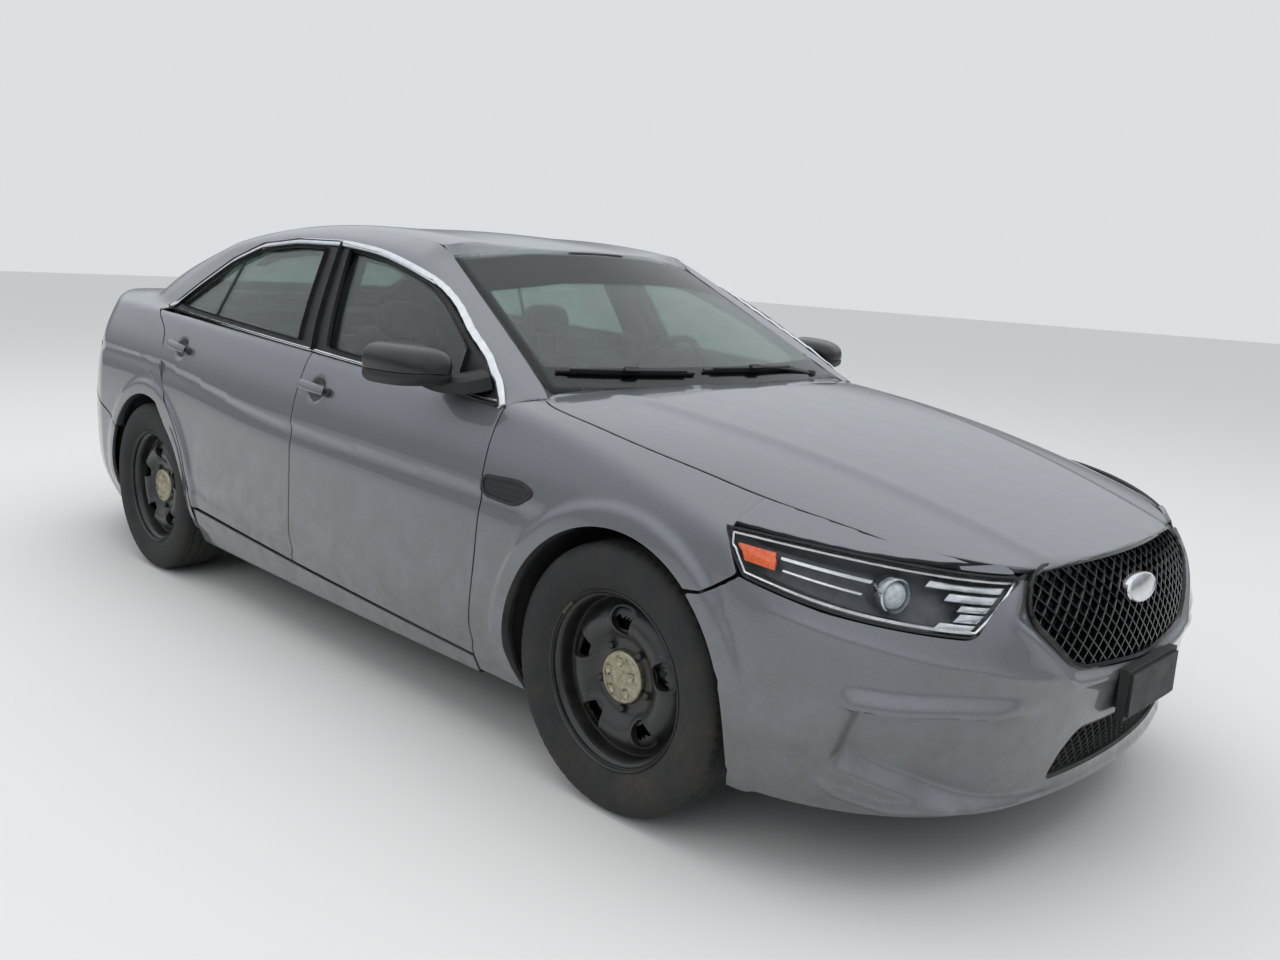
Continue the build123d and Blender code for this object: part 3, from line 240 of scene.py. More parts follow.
def girth_table():
    """Body section at every x, from the sill up the side, over the shoulder and up the cabin to the
    middle of the roof, even by length along it, with its corners rounded by a Gaussian average."""
    low, cab = half_widths(LOW_RING, SLICE_X), half_widths(CAB_RING, SLICE_X)
    count = 520
    table = np.zeros((len(SLICE_X), count, 2))
    for i, x in enumerate(SLICE_X):
        over = np.nonzero(LOW_Z > top_height(x, np.maximum(low[i], 0)))[0]
        k = max(over[0], 1) if len(over) else len(LOW_Z) - 1
        side_y, side_z = np.maximum(low[i, :k], 0), LOW_Z[:k]
        ledge_y = np.linspace(side_y[-1], 0, 160)[1:]
        ledge_z = np.maximum(top_height(x, ledge_y), side_z[-1])
        cab_at = np.interp(ledge_z, CAB_Z, cab[i])
        met = np.nonzero(cab_at > ledge_y)[0]
        y, z = np.concatenate([side_y, ledge_y]), np.concatenate([side_z, ledge_z])
        if len(met):
            m = met[0]
            z_meet = ledge_z[m]
            up = CAB_Z > z_meet
            wall_y, wall_z = cab[i, up], CAB_Z[up]
            under = (wall_z < roof_height(x, np.maximum(wall_y, 0))) & (wall_y > 0)
            stop = len(wall_z) if under.all() else int(np.argmin(under))
            wall_y, wall_z = wall_y[:stop], wall_z[:stop]
            last = wall_y[-1] if stop else ledge_y[m]
            crown_y = np.linspace(last, 0, 120)[1:]
            crown_z = np.maximum(roof_height(x, crown_y), wall_z[-1] if stop else z_meet)
            if stop and cab[i, -1] < 0 and wall_y[-1] < 60:
                crown_z = np.full_like(crown_y, wall_z[-1])
            y = np.concatenate([side_y, ledge_y[:m], wall_y, crown_y])
            z = np.concatenate([side_z, ledge_z[:m], wall_z, crown_z])
        run = run_along(y, z)
        even = np.arange(count) * GIRTH_STEP
        for axis, line in enumerate((y, z)):
            table[i, :, axis] = averaged(np.interp(even, run, line), 17.0)
    return table


GIRTH = girth_table()


def table_read(table, row, column):
    """Bilinear value of a table at fractional places."""
    i = np.clip(row.astype(int), 0, table.shape[0] - 2)
    j = np.clip(column.astype(int), 0, table.shape[1] - 2)
    a, b = row - i, column - j
    if table.ndim > 2:
        a, b = a[..., None], b[..., None]
    low = table[i, j] * (1 - b) + table[i, j + 1] * b
    high = table[i + 1, j] * (1 - b) + table[i + 1, j + 1] * b
    return low * (1 - a) + high * a


def held_read(table, row, column):
    """Bilinear value of a table, held at its rims."""
    return table_read(table, np.clip(row, 0, table.shape[0] - 1.001), np.clip(column, 0, table.shape[1] - 1.001))


def on_body(x, w):
    """Point of the body at x and girth w, bilinear in the table of sections; returns (..., 3)."""
    x, w = paired(x, w)
    section = held_read(GIRTH, (x - SLICE_START) / SLICE_STEP, w / GIRTH_STEP)
    return np.concatenate([x[..., None], section], axis=-1)


def nearest(value, start, step, count):
    """Index of the table row nearest to a value."""
    return int(np.clip(round((value - start) / step), 0, count - 1))


def girth_at_height(x, z):
    """Girth at which the section at x reaches height z."""
    i = nearest(x, SLICE_START, SLICE_STEP, len(SLICE_X))
    return float(np.interp(z, np.maximum.accumulate(GIRTH[i, :, 1]), np.arange(GIRTH.shape[1]) * GIRTH_STEP))


def girth_at_width(x, y):
    """Girth at which the section at x has come in to half width y on its top."""
    i = nearest(x, SLICE_START, SLICE_STEP, len(SLICE_X))
    widest = int(np.argmax(GIRTH[i, :, 0]))
    inward = -np.maximum.accumulate(-GIRTH[i, widest:, 0])
    return float((widest + np.interp(-y, -inward, np.arange(len(inward)))) * GIRTH_STEP)


def side_line(points, step=12.0):
    """Chart line (x, girth) that follows a side-view line of (x, z)."""
    dense = resample(points, step)
    return np.array([(x, girth_at_height(x, z)) for x, z in dense])


def plan_line(points, step=12.0):
    """Chart line (x, girth) that follows a plan-view line of (x, y) on top of the body."""
    dense = resample(points, step)
    return np.array([(x, girth_at_width(x, y)) for x, y in dense])


def resample(points, step=None, count=None):
    """The same broken line cut into even lengths."""
    p = np.asarray(points, float)
    run = np.concatenate([[0], np.cumsum(np.linalg.norm(np.diff(p, axis=0), axis=1))])
    n = count or max(int(round(run[-1] / step)) + 1, 2)
    at = np.linspace(0, run[-1], n)
    return np.column_stack([np.interp(at, run, p[:, k]) for k in range(p.shape[1])])


def rounded(points, reach=30.0, rounds=3):
    """A broken line with its corners cut, as Chaikin does, within reach of each corner."""
    p = np.asarray(points, float)
    for _ in range(rounds):
        out = [p[0]]
        for a, b in zip(p[:-1], p[1:]):
            length = np.linalg.norm(b - a)
            t = min(0.25, reach / max(length, 1e-6))
            out += [a + (b - a) * t, b - (b - a) * t]
        out.append(p[-1])
        p = np.array(out)
        reach /= 2
    return p


def patch(bottom, top, left, right, nu, nv):
    """Coons patch: the two ruled surfaces between opposite edges less the bilinear one of the corners.
    bottom and top run left to right, left and right run bottom to top."""
    u, v = np.linspace(0, 1, nu)[:, None, None], np.linspace(0, 1, nv)[None, :, None]
    bottom, top = resample(bottom, count=nu)[:, None], resample(top, count=nu)[:, None]
    left, right = resample(left, count=nv)[None], resample(right, count=nv)[None]
    ruled = (1 - v) * bottom + v * top + (1 - u) * left + u * right
    corners = (1 - u) * (1 - v) * bottom[:1] + u * (1 - v) * bottom[-1:] + (1 - u) * v * top[:1] + u * v * top[-1:]
    return ruled - corners


UPPER_CREASE = np.array([(-2300, 950), (-1700, 930), (-1012, 900), (-436, 830), (207, 795), (1014, 771),
                         (1250, 760)], float)
LOWER_CREASE = np.array([(-1000, 430), (-803, 412), (6, 336), (633, 300), (1200, 286)], float)


LIP_RADIUS, LIP_SOFT, LIP_REACH = 462, 5, 640


def lip_share(x, z, axle):
    """Share of its height that a wheel-arch lip has: a smooth step down past its outer radius."""
    reach = np.hypot(x - axle, z - AXLE_Z)
    return (reach < LIP_REACH) / (1 + np.exp((np.minimum(reach, LIP_REACH) - LIP_RADIUS) / LIP_SOFT))


def side_relief(x, z, lip, crease):
    """How far the side stands out from the smooth body: a lip round each wheel arch, a crease that
    falls away below, and a low crease over the sill."""
    above = np.clip((z - 230) / 120, 0, 1)
    relief = lip * above * (lip_share(x, z, FRONT_AXLE) + lip_share(x, z, REAR_AXLE))
    line = spline(UPPER_CREASE[:, 0], UPPER_CREASE[:, 1], np.clip(x, -2300, 1250))
    fade = np.clip((1300 - x) / 120, 0, 1) * np.clip((x + 2200) / 250, 0, 1)
    below = line - z
    relief -= crease * fade * np.where(below > 0, np.exp(-((below - 16) / 38) ** 2),
                                       np.exp(-((below - 16) / 13) ** 2))
    low = np.interp(x, LOWER_CREASE[:, 0], LOWER_CREASE[:, 1])
    fade = np.clip((1180 - x) / 120, 0, 1) * np.clip((x + 1000) / 200, 0, 1)
    over = z - low
    relief -= 0.9 * crease * fade * np.where(over > 0, np.exp(-((over - 22) / 34) ** 2),
                                             np.exp(-((over - 22) / 14) ** 2))
    return relief


def normals(grid):
    """Unit normal of a grid of points: the cross product of its two differences."""
    du, dv = np.gradient(grid, axis=0), np.gradient(grid, axis=1)
    n = np.cross(du, dv)
    return n / np.maximum(np.linalg.norm(n, axis=-1, keepdims=True), 1e-9)


def edge_steps(n, length, roll=3.0):
    """Places along 0..1 with a few more near each end, where the panel's edge turns in."""
    margin = roll / max(length, 1)
    ends = np.array([0.0, 0.0, 0.0, 0.35, 0.7]) * margin
    depth = np.array([1.0, 0.45, 0.12, 0.035, 0.006])
    middle = np.linspace(margin * 1.3, 1 - margin * 1.3, n)
    place = np.concatenate([ends, middle, 1 - ends[::-1]])
    return place, np.concatenate([depth, np.zeros(n), depth[::-1]])


def chart_sample(chart, u, v):
    """Bilinear values of a chart grid at places u, v in 0..1."""
    return table_read(chart, u[:, None] * (chart.shape[0] - 1), v[None, :] * (chart.shape[1] - 1))


def panel(edges, nu, nv, surface, relief=None, hem=(14, 14, 14, 14), lift=0.4):
    """Sheet-metal panel: a Coons patch in the chart put on the surface, pushed out by the relief, with its
    four edges rolled over a small radius and hemmed inward. edges run bottom, top, left, right, and hem
    gives the depths left, right, bottom, top."""
    bottom, top, left, right = edges
    fine = patch(bottom, top, left, right, max(nu, 40), max(nv, 40))
    length_u = np.linalg.norm(np.diff(fine[:, fine.shape[1] // 2], axis=0), axis=1).sum()
    length_v = np.linalg.norm(np.diff(fine[fine.shape[0] // 2], axis=0), axis=1).sum()
    u, du = edge_steps(nu, length_u)
    v, dv = edge_steps(nv, length_v)
    smooth_u, smooth_v = np.linspace(0, 1, len(u)), np.linspace(0, 1, len(v))
    chart = chart_sample(fine, u, v)
    points = surface(chart[..., 0], chart[..., 1])
    step_u, step_v = np.gradient(surface(*np.moveaxis(chart_sample(fine, smooth_u, smooth_v), -1, 0)), axis=(0, 1))
    spaced = np.cross(step_u, step_v)
    spaced /= np.maximum(np.linalg.norm(spaced, axis=-1, keepdims=True), 1e-9)
    facing = chart_normal(spaced, smooth_u, smooth_v, u, v)
    out = np.full(points.shape[:2], lift)
    if relief is not None:
        out = out + relief(points[..., 0], points[..., 1], points[..., 2])
    middle_u, middle_v = u[:, None] < 0.5, v[None, :] < 0.5
    sink = np.maximum(du[:, None] * np.where(middle_u, hem[0], hem[1]),
                      dv[None, :] * np.where(middle_v, hem[2], hem[3]))
    return points + facing * (out - sink)[..., None]


def chart_normal(field, su, sv, u, v):
    """Unit normals of an even grid read at the uneven places of the panel's own grid."""
    rows = np.array([[np.interp(u, su, field[:, j, k]) for k in range(3)] for j in range(field.shape[1])])
    rows = np.transpose(rows, (2, 0, 1))
    out = np.array([[np.interp(v, sv, rows[i, :, k]) for k in range(3)] for i in range(len(u))])
    out = np.transpose(out, (0, 2, 1))
    return out / np.maximum(np.linalg.norm(out, axis=-1, keepdims=True), 1e-9)


def grid_faces(nu, nv, wrap_u=False, wrap_v=False, start=0):
    """Quads of a grid of nu by nv points, closed in u or v when asked."""
    i, j = np.arange(nu if wrap_u else nu - 1), np.arange(nv if wrap_v else nv - 1)
    i, j = np.meshgrid(i, j, indexing="ij")
    a, b = i * nv + j, ((i + 1) % nu) * nv + j
    c, d = ((i + 1) % nu) * nv + (j + 1) % nv, i * nv + (j + 1) % nv
    return np.stack([a, b, c, d], axis=-1).reshape(-1, 4) + start


class Sheet:
    """A grid of points with how it closes and which way it faces."""

    def __init__(self, points, wrap_u=False, wrap_v=False, flip=False):
        self.points, self.wrap_u, self.wrap_v, self.flip = np.asarray(points, float), wrap_u, wrap_v, flip

    def mirrored(self):
        return Sheet(self.points * (1, -1, 1), self.wrap_u, self.wrap_v, not self.flip)

    def moved(self, matrix, offset=(0, 0, 0)):
        return Sheet(self.points @ np.asarray(matrix, float).T + np.asarray(offset, float), self.wrap_u,
                     self.wrap_v, self.flip)


HANDS = (("left", False), ("right", True))


def one_side(turned_over):
    """The function that takes sheets drawn for the left side to the side asked for."""
    return lambda sheets: [s.mirrored() if turned_over else s for s in sheets]


def piece(name, sheets, finish_used, body, hides=(), slot=None, sharp=38.0, weld=0.02, outward=False):
    """One object from its grids: points in metres, doubles merged, smooth faces with sharp creases."""
    points, faces, start = [], [], 0
    for sheet in sheets:
        nu, nv = sheet.points.shape[:2]
        quads = grid_faces(nu, nv, sheet.wrap_u, sheet.wrap_v, start)
        faces.append(quads[:, ::-1] if sheet.flip else quads)
        points.append(sheet.points.reshape(-1, 3))
        start += nu * nv
    mesh = bpy.data.meshes.new(name)
    mesh.from_pydata((np.vstack(points) / 1000.0).tolist(), [], np.vstack(faces).tolist())
    work = bmesh.new()
    work.from_mesh(mesh)
    bmesh.ops.remove_doubles(work, verts=work.verts, dist=weld / 1000.0)
    bmesh.ops.dissolve_degenerate(work, edges=work.edges, dist=1e-6)
    if outward:
        bmesh.ops.recalc_face_normals(work, faces=work.faces)
    work.to_mesh(mesh)
    work.free()
    return place(name, mesh, finish_used, body, hides, slot, sharp)


def place(name, mesh, finish_used, body, hides=(), slot=None, sharp=38.0):
    """Puts a mesh in the scene with its finish, on its body, in place of the CAD nodes it hides."""
    for polygon in mesh.polygons:
        polygon.use_smooth = True
    mesh.set_sharp_from_angle(angle=math.radians(sharp))
    mesh.materials.clear()
    mesh.materials.append(finish_used)
    thing = bpy.data.objects.new(name, mesh)
    bpy.context.scene.collection.objects.link(thing)
    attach(thing, body)
    if hides:
        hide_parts(*hides)
    return thing


def outer_depth(points):
    """Depth of each point inside the car's outer surface, in millimetres, as the least of its distances
    to the side, the nose, the tail and the top of whichever volume holds it."""
    x, y, z = points[:, 0], np.abs(points[:, 1]), points[:, 2]
    i = np.clip((x - SLICE_START) / SLICE_STEP, 0, len(SLICE_X) - 1).astype(int)
    level = np.clip((z - LOW_START) / LEVEL_STEP, 0, len(LOW_Z) - 1).astype(int)
    cab_level = np.clip((z - CAB_START) / LEVEL_STEP, 0, len(CAB_Z) - 1).astype(int)
    low = np.minimum(LOW_HALF[i, level] - y, top_height(x, y) - z)
    low = np.minimum(low, np.minimum(end_x(NOSE_TABLE, y, z) - x, x - end_x(TAIL_TABLE, y, z)))
    cab = np.minimum(CAB_HALF[i, cab_level] - y, roof_height(x, y) - z)
    return np.maximum(low, np.where(z < CAB_START + 1, -999, cab))


LOW_HALF, CAB_HALF = half_widths(LOW_RING, SLICE_X), half_widths(CAB_RING, SLICE_X)


def end_table(ring, front):
    """x of the nose or tail at every level for each half width."""
    rows = []
    for rx, ry in zip(*ring):
        widest = int(np.argmax(ry))
        part = slice(0, widest + 1) if front else slice(widest, None)
        px, py = rx[part], ry[part]
        if not front:
            px, py = px[::-1], py[::-1]
        rows.append(np.interp(WIDTHS, np.maximum.accumulate(py), px))
    return np.array(rows)


NOSE_TABLE, TAIL_TABLE = end_table(LOW_RING, True), end_table(LOW_RING, False)


def end_x(table, y, z):
    """x of the smooth nose or tail at half width y and height z."""
    level = np.clip((np.asarray(z) - LOW_START) / LEVEL_STEP, 0, len(LOW_Z) - 1).astype(int)
    return table[level, np.clip(np.abs(y) / WIDTH_STEP, 0, len(WIDTHS) - 1).astype(int)]


def inner_part(node, name, finish_used, body, slot, sink=14.0, reach=5.0):
    """What a pressed panel shows from inside: the CAD piece without its outer faces, the rims that they
    leave drawn in behind the new skin."""
    mesh = NODES[node].data.copy()
    work = bmesh.new()
    work.from_mesh(mesh)
    bmesh.ops.remove_doubles(work, verts=work.verts, dist=2e-5)
    work.verts.ensure_lookup_table()
    work.faces.ensure_lookup_table()
    spots = np.array([v.co for v in work.verts]) * 1000
    outer = outer_depth(spots) < reach
    doomed = [f for f in work.faces if all(outer[v.index] for v in f.verts)]
    rim = spots[outer]
    lean = np.column_stack([outer_depth(rim + step) - outer_depth(rim - step) for step in 6.0 * np.eye(3)])
    lean /= np.maximum(np.linalg.norm(lean, axis=1, keepdims=True), 1e-9)
    for index, spot in zip(np.nonzero(outer)[0], (rim + lean * sink) / 1000.0):
        work.verts[index].co = spot
    bmesh.ops.delete(work, geom=doomed, context="FACES")
    work.to_mesh(mesh)
    work.free()
    return place(name, mesh, finish_used, body, (node,), slot, 30.0)


def top_table():
    """Height of the rounded body above every x and half width, inboard of its widest girth."""
    rows = []
    for line in GIRTH:
        widest = int(np.argmax(line[:, 0]))
        y, z = line[widest:, 0], line[widest:, 1]
        rows.append(np.interp(WIDTHS, np.maximum.accumulate(y[::-1]), np.maximum.accumulate(z)[::-1]))
    return np.array(rows)


TOP_TABLE = top_table()


def on_top(x, y):
    """Point of the body's top at x and y, bilinear in the table of heights."""
    x, y = paired(x, y)
    height = held_read(TOP_TABLE, (x - SLICE_START) / SLICE_STEP, np.abs(y) / WIDTH_STEP)
    return np.stack([x, y, height], axis=-1)


def on_ring(s, z):
    """Point of the lower body at place s round its plan outline (columns of the ring table) and height z."""
    s, z = paired(s, z)
    x, y = [held_read(table, (z - LOW_START) / LEVEL_STEP, np.abs(s)) for table in LOW_RING]
    return np.stack([x, y * np.sign(s + 1e-9), z], axis=-1)


def ring_at(z, x=None, y=None, front=True):
    """Place round the plan outline at height z where it passes x, or half width y at nose or tail."""
    j = nearest(z, LOW_START, LEVEL_STEP, len(LOW_Z))
    rx, ry = LOW_RING[0][j], LOW_RING[1][j]
    if x is not None:
        return float(np.interp(-x, -rx, np.arange(len(rx))))
    widest = int(np.argmax(ry))
    if front:
        return float(np.interp(y, ry[:widest], np.arange(widest)))
    return float(np.interp(-y, -ry[widest:], np.arange(widest, len(ry))))


def cabin_x(y, z, front=True):
    """x of the windscreen or rear-window surface at half width y and height z."""
    j = nearest(z, CAB_START, LEVEL_STEP, len(CAB_Z))
    rx, ry = CAB_RING[0][j], CAB_RING[1][j]
    widest = int(np.argmax(ry))
    if front:
        return float(np.interp(y, ry[:widest], rx[:widest]))
    return float(np.interp(-y, -ry[widest:], rx[widest:]))


# Cut grids and carried profiles
def outline_distance(points, outline):
    """Distance of 2-D points from a closed outline, below zero inside it."""
    shape = points.shape[:-1]
    q = points.reshape(-1, 2)
    a = np.asarray(outline, float)
    b = np.roll(a, -1, axis=0)
    best, inside = np.full(len(q), 1e9), np.zeros(len(q), bool)
    for (ax, ay), (bx, by) in zip(a, b):
        dx, dy = bx - ax, by - ay
        t = np.clip(((q[:, 0] - ax) * dx + (q[:, 1] - ay) * dy) / max(dx * dx + dy * dy, 1e-9), 0, 1)
        best = np.minimum(best, np.hypot(q[:, 0] - ax - t * dx, q[:, 1] - ay - t * dy))
        if ay != by:
            crosses = (ay > q[:, 1]) != (by > q[:, 1])
            inside ^= crosses & (q[:, 0] < ax + (q[:, 1] - ay) * dx / dy)
    return np.where(inside, -best, best).reshape(shape)


def closed_round(points, reach=20.0, rounds=3):
    """A closed outline with its corners cut."""
    p = np.asarray(points, float)
    for _ in range(rounds):
        out = []
        for a, b in zip(p, np.roll(p, -1, axis=0)):
            t = min(0.25, reach / max(np.linalg.norm(b - a), 1e-6))
            out += [a + (b - a) * t, b - (b - a) * t]
        p = np.array(out)
        reach /= 2
    return p


def cut_faces(chart, distance):
    """Moves grid points onto the line where the distance is nought, by linear interpolation along the
    grid's edges, and keeps the faces on its positive side; returns the new chart and triangles or quads."""
    chart, d = chart.copy(), distance.copy()
    shift = np.full(d.shape, 9.0)
    moved = chart.copy()
    for axis in (0, 1):
        a = [slice(None), slice(None)]
        b = [slice(None), slice(None)]
        a[axis], b[axis] = slice(None, -1), slice(1, None)
        da, db = d[tuple(a)], d[tuple(b)]
        cross = da * db < 0
        t = np.where(cross, np.abs(da) / np.maximum(np.abs(da) + np.abs(db), 1e-9), 0)
        for near, far, amount in ((a, b, t), (b, a, 1 - t)):
            take = cross & (amount <= 0.5) & (amount < shift[tuple(near)])
            target = chart[tuple(near)] + (chart[tuple(far)] - chart[tuple(near)]) * amount[..., None]
            moved[tuple(near)] = np.where(take[..., None], target, moved[tuple(near)])
            shift[tuple(near)] = np.where(take, amount, shift[tuple(near)])
    d = np.where(shift < 9, 0.0, d)
    nu, nv = d.shape
    quads = grid_faces(nu, nv)
    signs = np.sign(d.reshape(-1))[quads]
    whole = (signs >= 0).all(axis=1) & (signs > 0).any(axis=1)
    faces = quads[whole].tolist()
    part = quads[(signs < 0).any(axis=1) & (signs > 0).any(axis=1)]
    flat = d.reshape(-1)
    for quad in part:
        for tri in ((0, 1, 2), (0, 2, 3), (1, 2, 3), (1, 3, 0)):
            corner = quad[list(tri)]
            values = flat[corner]
            if (values >= 0).all() and (values > 0).any():
                faces.append(corner.tolist())
                break
    return moved, faces


def skin_object(name, points, faces, finish_used, body, hides=(), slot=None, flip=False, hem=12.0, sharp=38.0):
    """Object of a cut skin whose open edges are turned inward by the hem."""
    mesh = bpy.data.meshes.new(name)
    if flip:
        faces = [f[::-1] for f in faces]
    mesh.from_pydata((points.reshape(-1, 3) / 1000.0).tolist(), [], faces)
    work = bmesh.new()
    work.from_mesh(mesh)
    bmesh.ops.delete(work, geom=[v for v in work.verts if not v.link_faces], context="VERTS")
    bmesh.ops.remove_doubles(work, verts=work.verts, dist=2e-5)
    work.normal_update()
    if hem:
        rim = [e for e in work.edges if len(e.link_faces) == 1]
        grown = bmesh.ops.extrude_edge_only(work, edges=rim)["geom"]
        fresh = [g for g in grown if isinstance(g, bmesh.types.BMVert)]
        around = {}
        for v in fresh:
            inner = [e.other_vert(v) for e in v.link_edges if e.other_vert(v) not in fresh]
            around[v] = inner[0].normal.copy() if inner else v.normal.copy()
        for v, way in around.items():
            v.co = v.co - way * hem / 1000.0
    work.to_mesh(mesh)
    work.free()
    return place(name, mesh, finish_used, body, hides, slot, sharp)


def sweep(path, profile, up, closed=False, taper=None):
    """Profile of (across, out) carried along a path whose outward direction is given at each point."""
    path, profile, up = np.asarray(path, float), np.asarray(profile, float), np.asarray(up, float)
    if up.ndim == 1:
        up = np.tile(up, (len(path), 1))
    if closed:
        along = np.roll(path, -1, axis=0) - np.roll(path, 1, axis=0)
    else:
        along = np.gradient(path, axis=0)
    along /= np.maximum(np.linalg.norm(along, axis=1, keepdims=True), 1e-9)
    across = np.cross(along, up)
    across /= np.maximum(np.linalg.norm(across, axis=1, keepdims=True), 1e-9)
    out = np.cross(across, along)
    scale = np.ones(len(path)) if taper is None else np.asarray(taper, float)
    points = path[:, None] + scale[:, None, None] * (across[:, None] * profile[None, :, :1]
                                                     + out[:, None] * profile[None, :, 1:])
    if not closed:
        caps = [np.repeat(end.mean(axis=1, keepdims=True), len(profile), axis=1) for end in (points[:1], points[-1:])]
        points = np.concatenate([caps[0], points, caps[1]])
    return Sheet(points, wrap_u=closed, wrap_v=True)


def turned(profile, count, start=0.0, stop=360.0):
    """Profile of (radius, along) turned about the y axis."""
    angles = np.radians(np.linspace(start, stop, count, endpoint=stop - start < 360))
    profile = np.asarray(profile, float)
    r, a = profile[None, :, 0], profile[None, :, 1]
    return np.stack([r * np.cos(angles)[:, None], a + np.zeros((count, 1)), r * np.sin(angles)[:, None]], axis=-1)


def half_round(width, height, count=9):
    """Half-round trim profile with a flat foot."""
    t = np.linspace(0, math.pi, count)
    return [(-width / 2, -1.0), *[(-width / 2 * math.cos(a), height * math.sin(a) ** 0.7) for a in t],
            (width / 2, -1.0)][::-1]


def ring_line(points, step=10.0):
    """Ring chart line (place, z) of a side-view line of (x, z)."""
    return np.array([(ring_at(z, x=x), z) for x, z in resample(points, step)])


# Finishes
def linear(code):
    """Linear colour of an sRGB hex value."""
    raw = [int(code[i:i + 2], 16) / 255 for i in (1, 3, 5)]
    return tuple(c / 12.92 if c <= 0.04045 else ((c + 0.055) / 1.055) ** 2.4 for c in raw) + (1.0,)


def add(tree, kind, inputs=None, **settings):
    """Adds a node with its settings; an input is a value or a socket to link from."""
    made = tree.nodes.new(kind)
    for key, value in settings.items():
        setattr(made, key, value)
    for key, value in (inputs or {}).items():
        if isinstance(value, bpy.types.NodeSocket):
            tree.links.new(value, made.inputs[key])
        else:
            made.inputs[key].default_value = value
    return made


def ramp(tree, source, stops):
    """Colour ramp from (place, hex or grey) stops."""
    made = add(tree, "ShaderNodeValToRGB", {"Fac": source})
    elements = made.color_ramp.elements
    while len(elements) < len(stops):
        elements.new(0.5)
    for element, (spot, value) in zip(elements, stops):
        element.position = spot
        element.color = linear(value) if isinstance(value, str) else (value, value, value, 1)
    return made.outputs["Color"]


FINISHES = {}


def finish(name, dark, light, grain, rough=(0.4, 0.5), bump=0.0, bump_size=None, metallic=0.0, dirt=None, **fixed):
    """Surface with colour between two hex values and roughness between two numbers, both by a noise
    whose features are grain millimetres across, a bump of its own size, and dirt that thins with height."""
    if name in FINISHES:
        return FINISHES[name]
    material = bpy.data.materials.new(name)
    material.use_nodes = True
    tree = material.node_tree
    shader = tree.nodes["Principled BSDF"]
    place_at = add(tree, "ShaderNodeTexCoord").outputs["Object"]
    noise = add(tree, "ShaderNodeTexNoise", {"Vector": place_at, "Scale": 1000.0 / grain, "Detail": 5.0,
                                             "Roughness": 0.6})
    colour = ramp(tree, noise.outputs["Fac"], [(0.36, dark), (0.64, light)])
    gloss = add(tree, "ShaderNodeMapRange", {"Value": noise.outputs["Fac"], "From Min": 0.35, "From Max": 0.65,
                                             "To Min": rough[0], "To Max": rough[1]}).outputs["Result"]
    if dirt:
        tint, reach, amount = dirt
        height = add(tree, "ShaderNodeSeparateXYZ", {"Vector": place_at}).outputs["Z"]
        low = add(tree, "ShaderNodeMapRange", {"Value": height, "From Min": 0.15, "From Max": reach,
                                               "To Min": amount, "To Max": amount * 0.12}).outputs["Result"]
        smear = add(tree, "ShaderNodeTexNoise",
                    {"Vector": place_at, "Scale": 9.0, "Detail": 8.0, "Roughness": 0.7}).outputs["Fac"]
        patchy = add(tree, "ShaderNodeMapRange",
                     {"Value": smear, "From Min": 0.38, "From Max": 0.72}).outputs["Result"]
        cover = add(tree, "ShaderNodeMath", {0: low, 1: patchy}, operation="MULTIPLY").outputs["Value"]
        mixed = add(tree, "ShaderNodeMix", {0: cover, 6: colour, 7: linear(tint)}, data_type="RGBA")
        colour = mixed.outputs[2]
        gloss = add(tree, "ShaderNodeMath", {0: gloss, 1: cover}, operation="ADD", use_clamp=True).outputs["Value"]
    tree.links.new(colour, shader.inputs["Base Color"])
    tree.links.new(gloss, shader.inputs["Roughness"])
    shader.inputs["Metallic"].default_value = metallic
    if bump:
        fine = add(tree, "ShaderNodeTexNoise", {"Vector": place_at, "Scale": 1000.0 / (bump_size or grain),
                                                "Detail": 3.0})
        made = add(tree, "ShaderNodeBump",
                   {"Height": fine.outputs["Fac"], "Strength": 1.0, "Distance": bump / 1000.0})
        tree.links.new(made.outputs["Normal"], shader.inputs["Normal"])
    for key, value in fixed.items():
        shader.inputs[key.replace("_", " ")].default_value = value
    FINISHES[name] = material
    return material


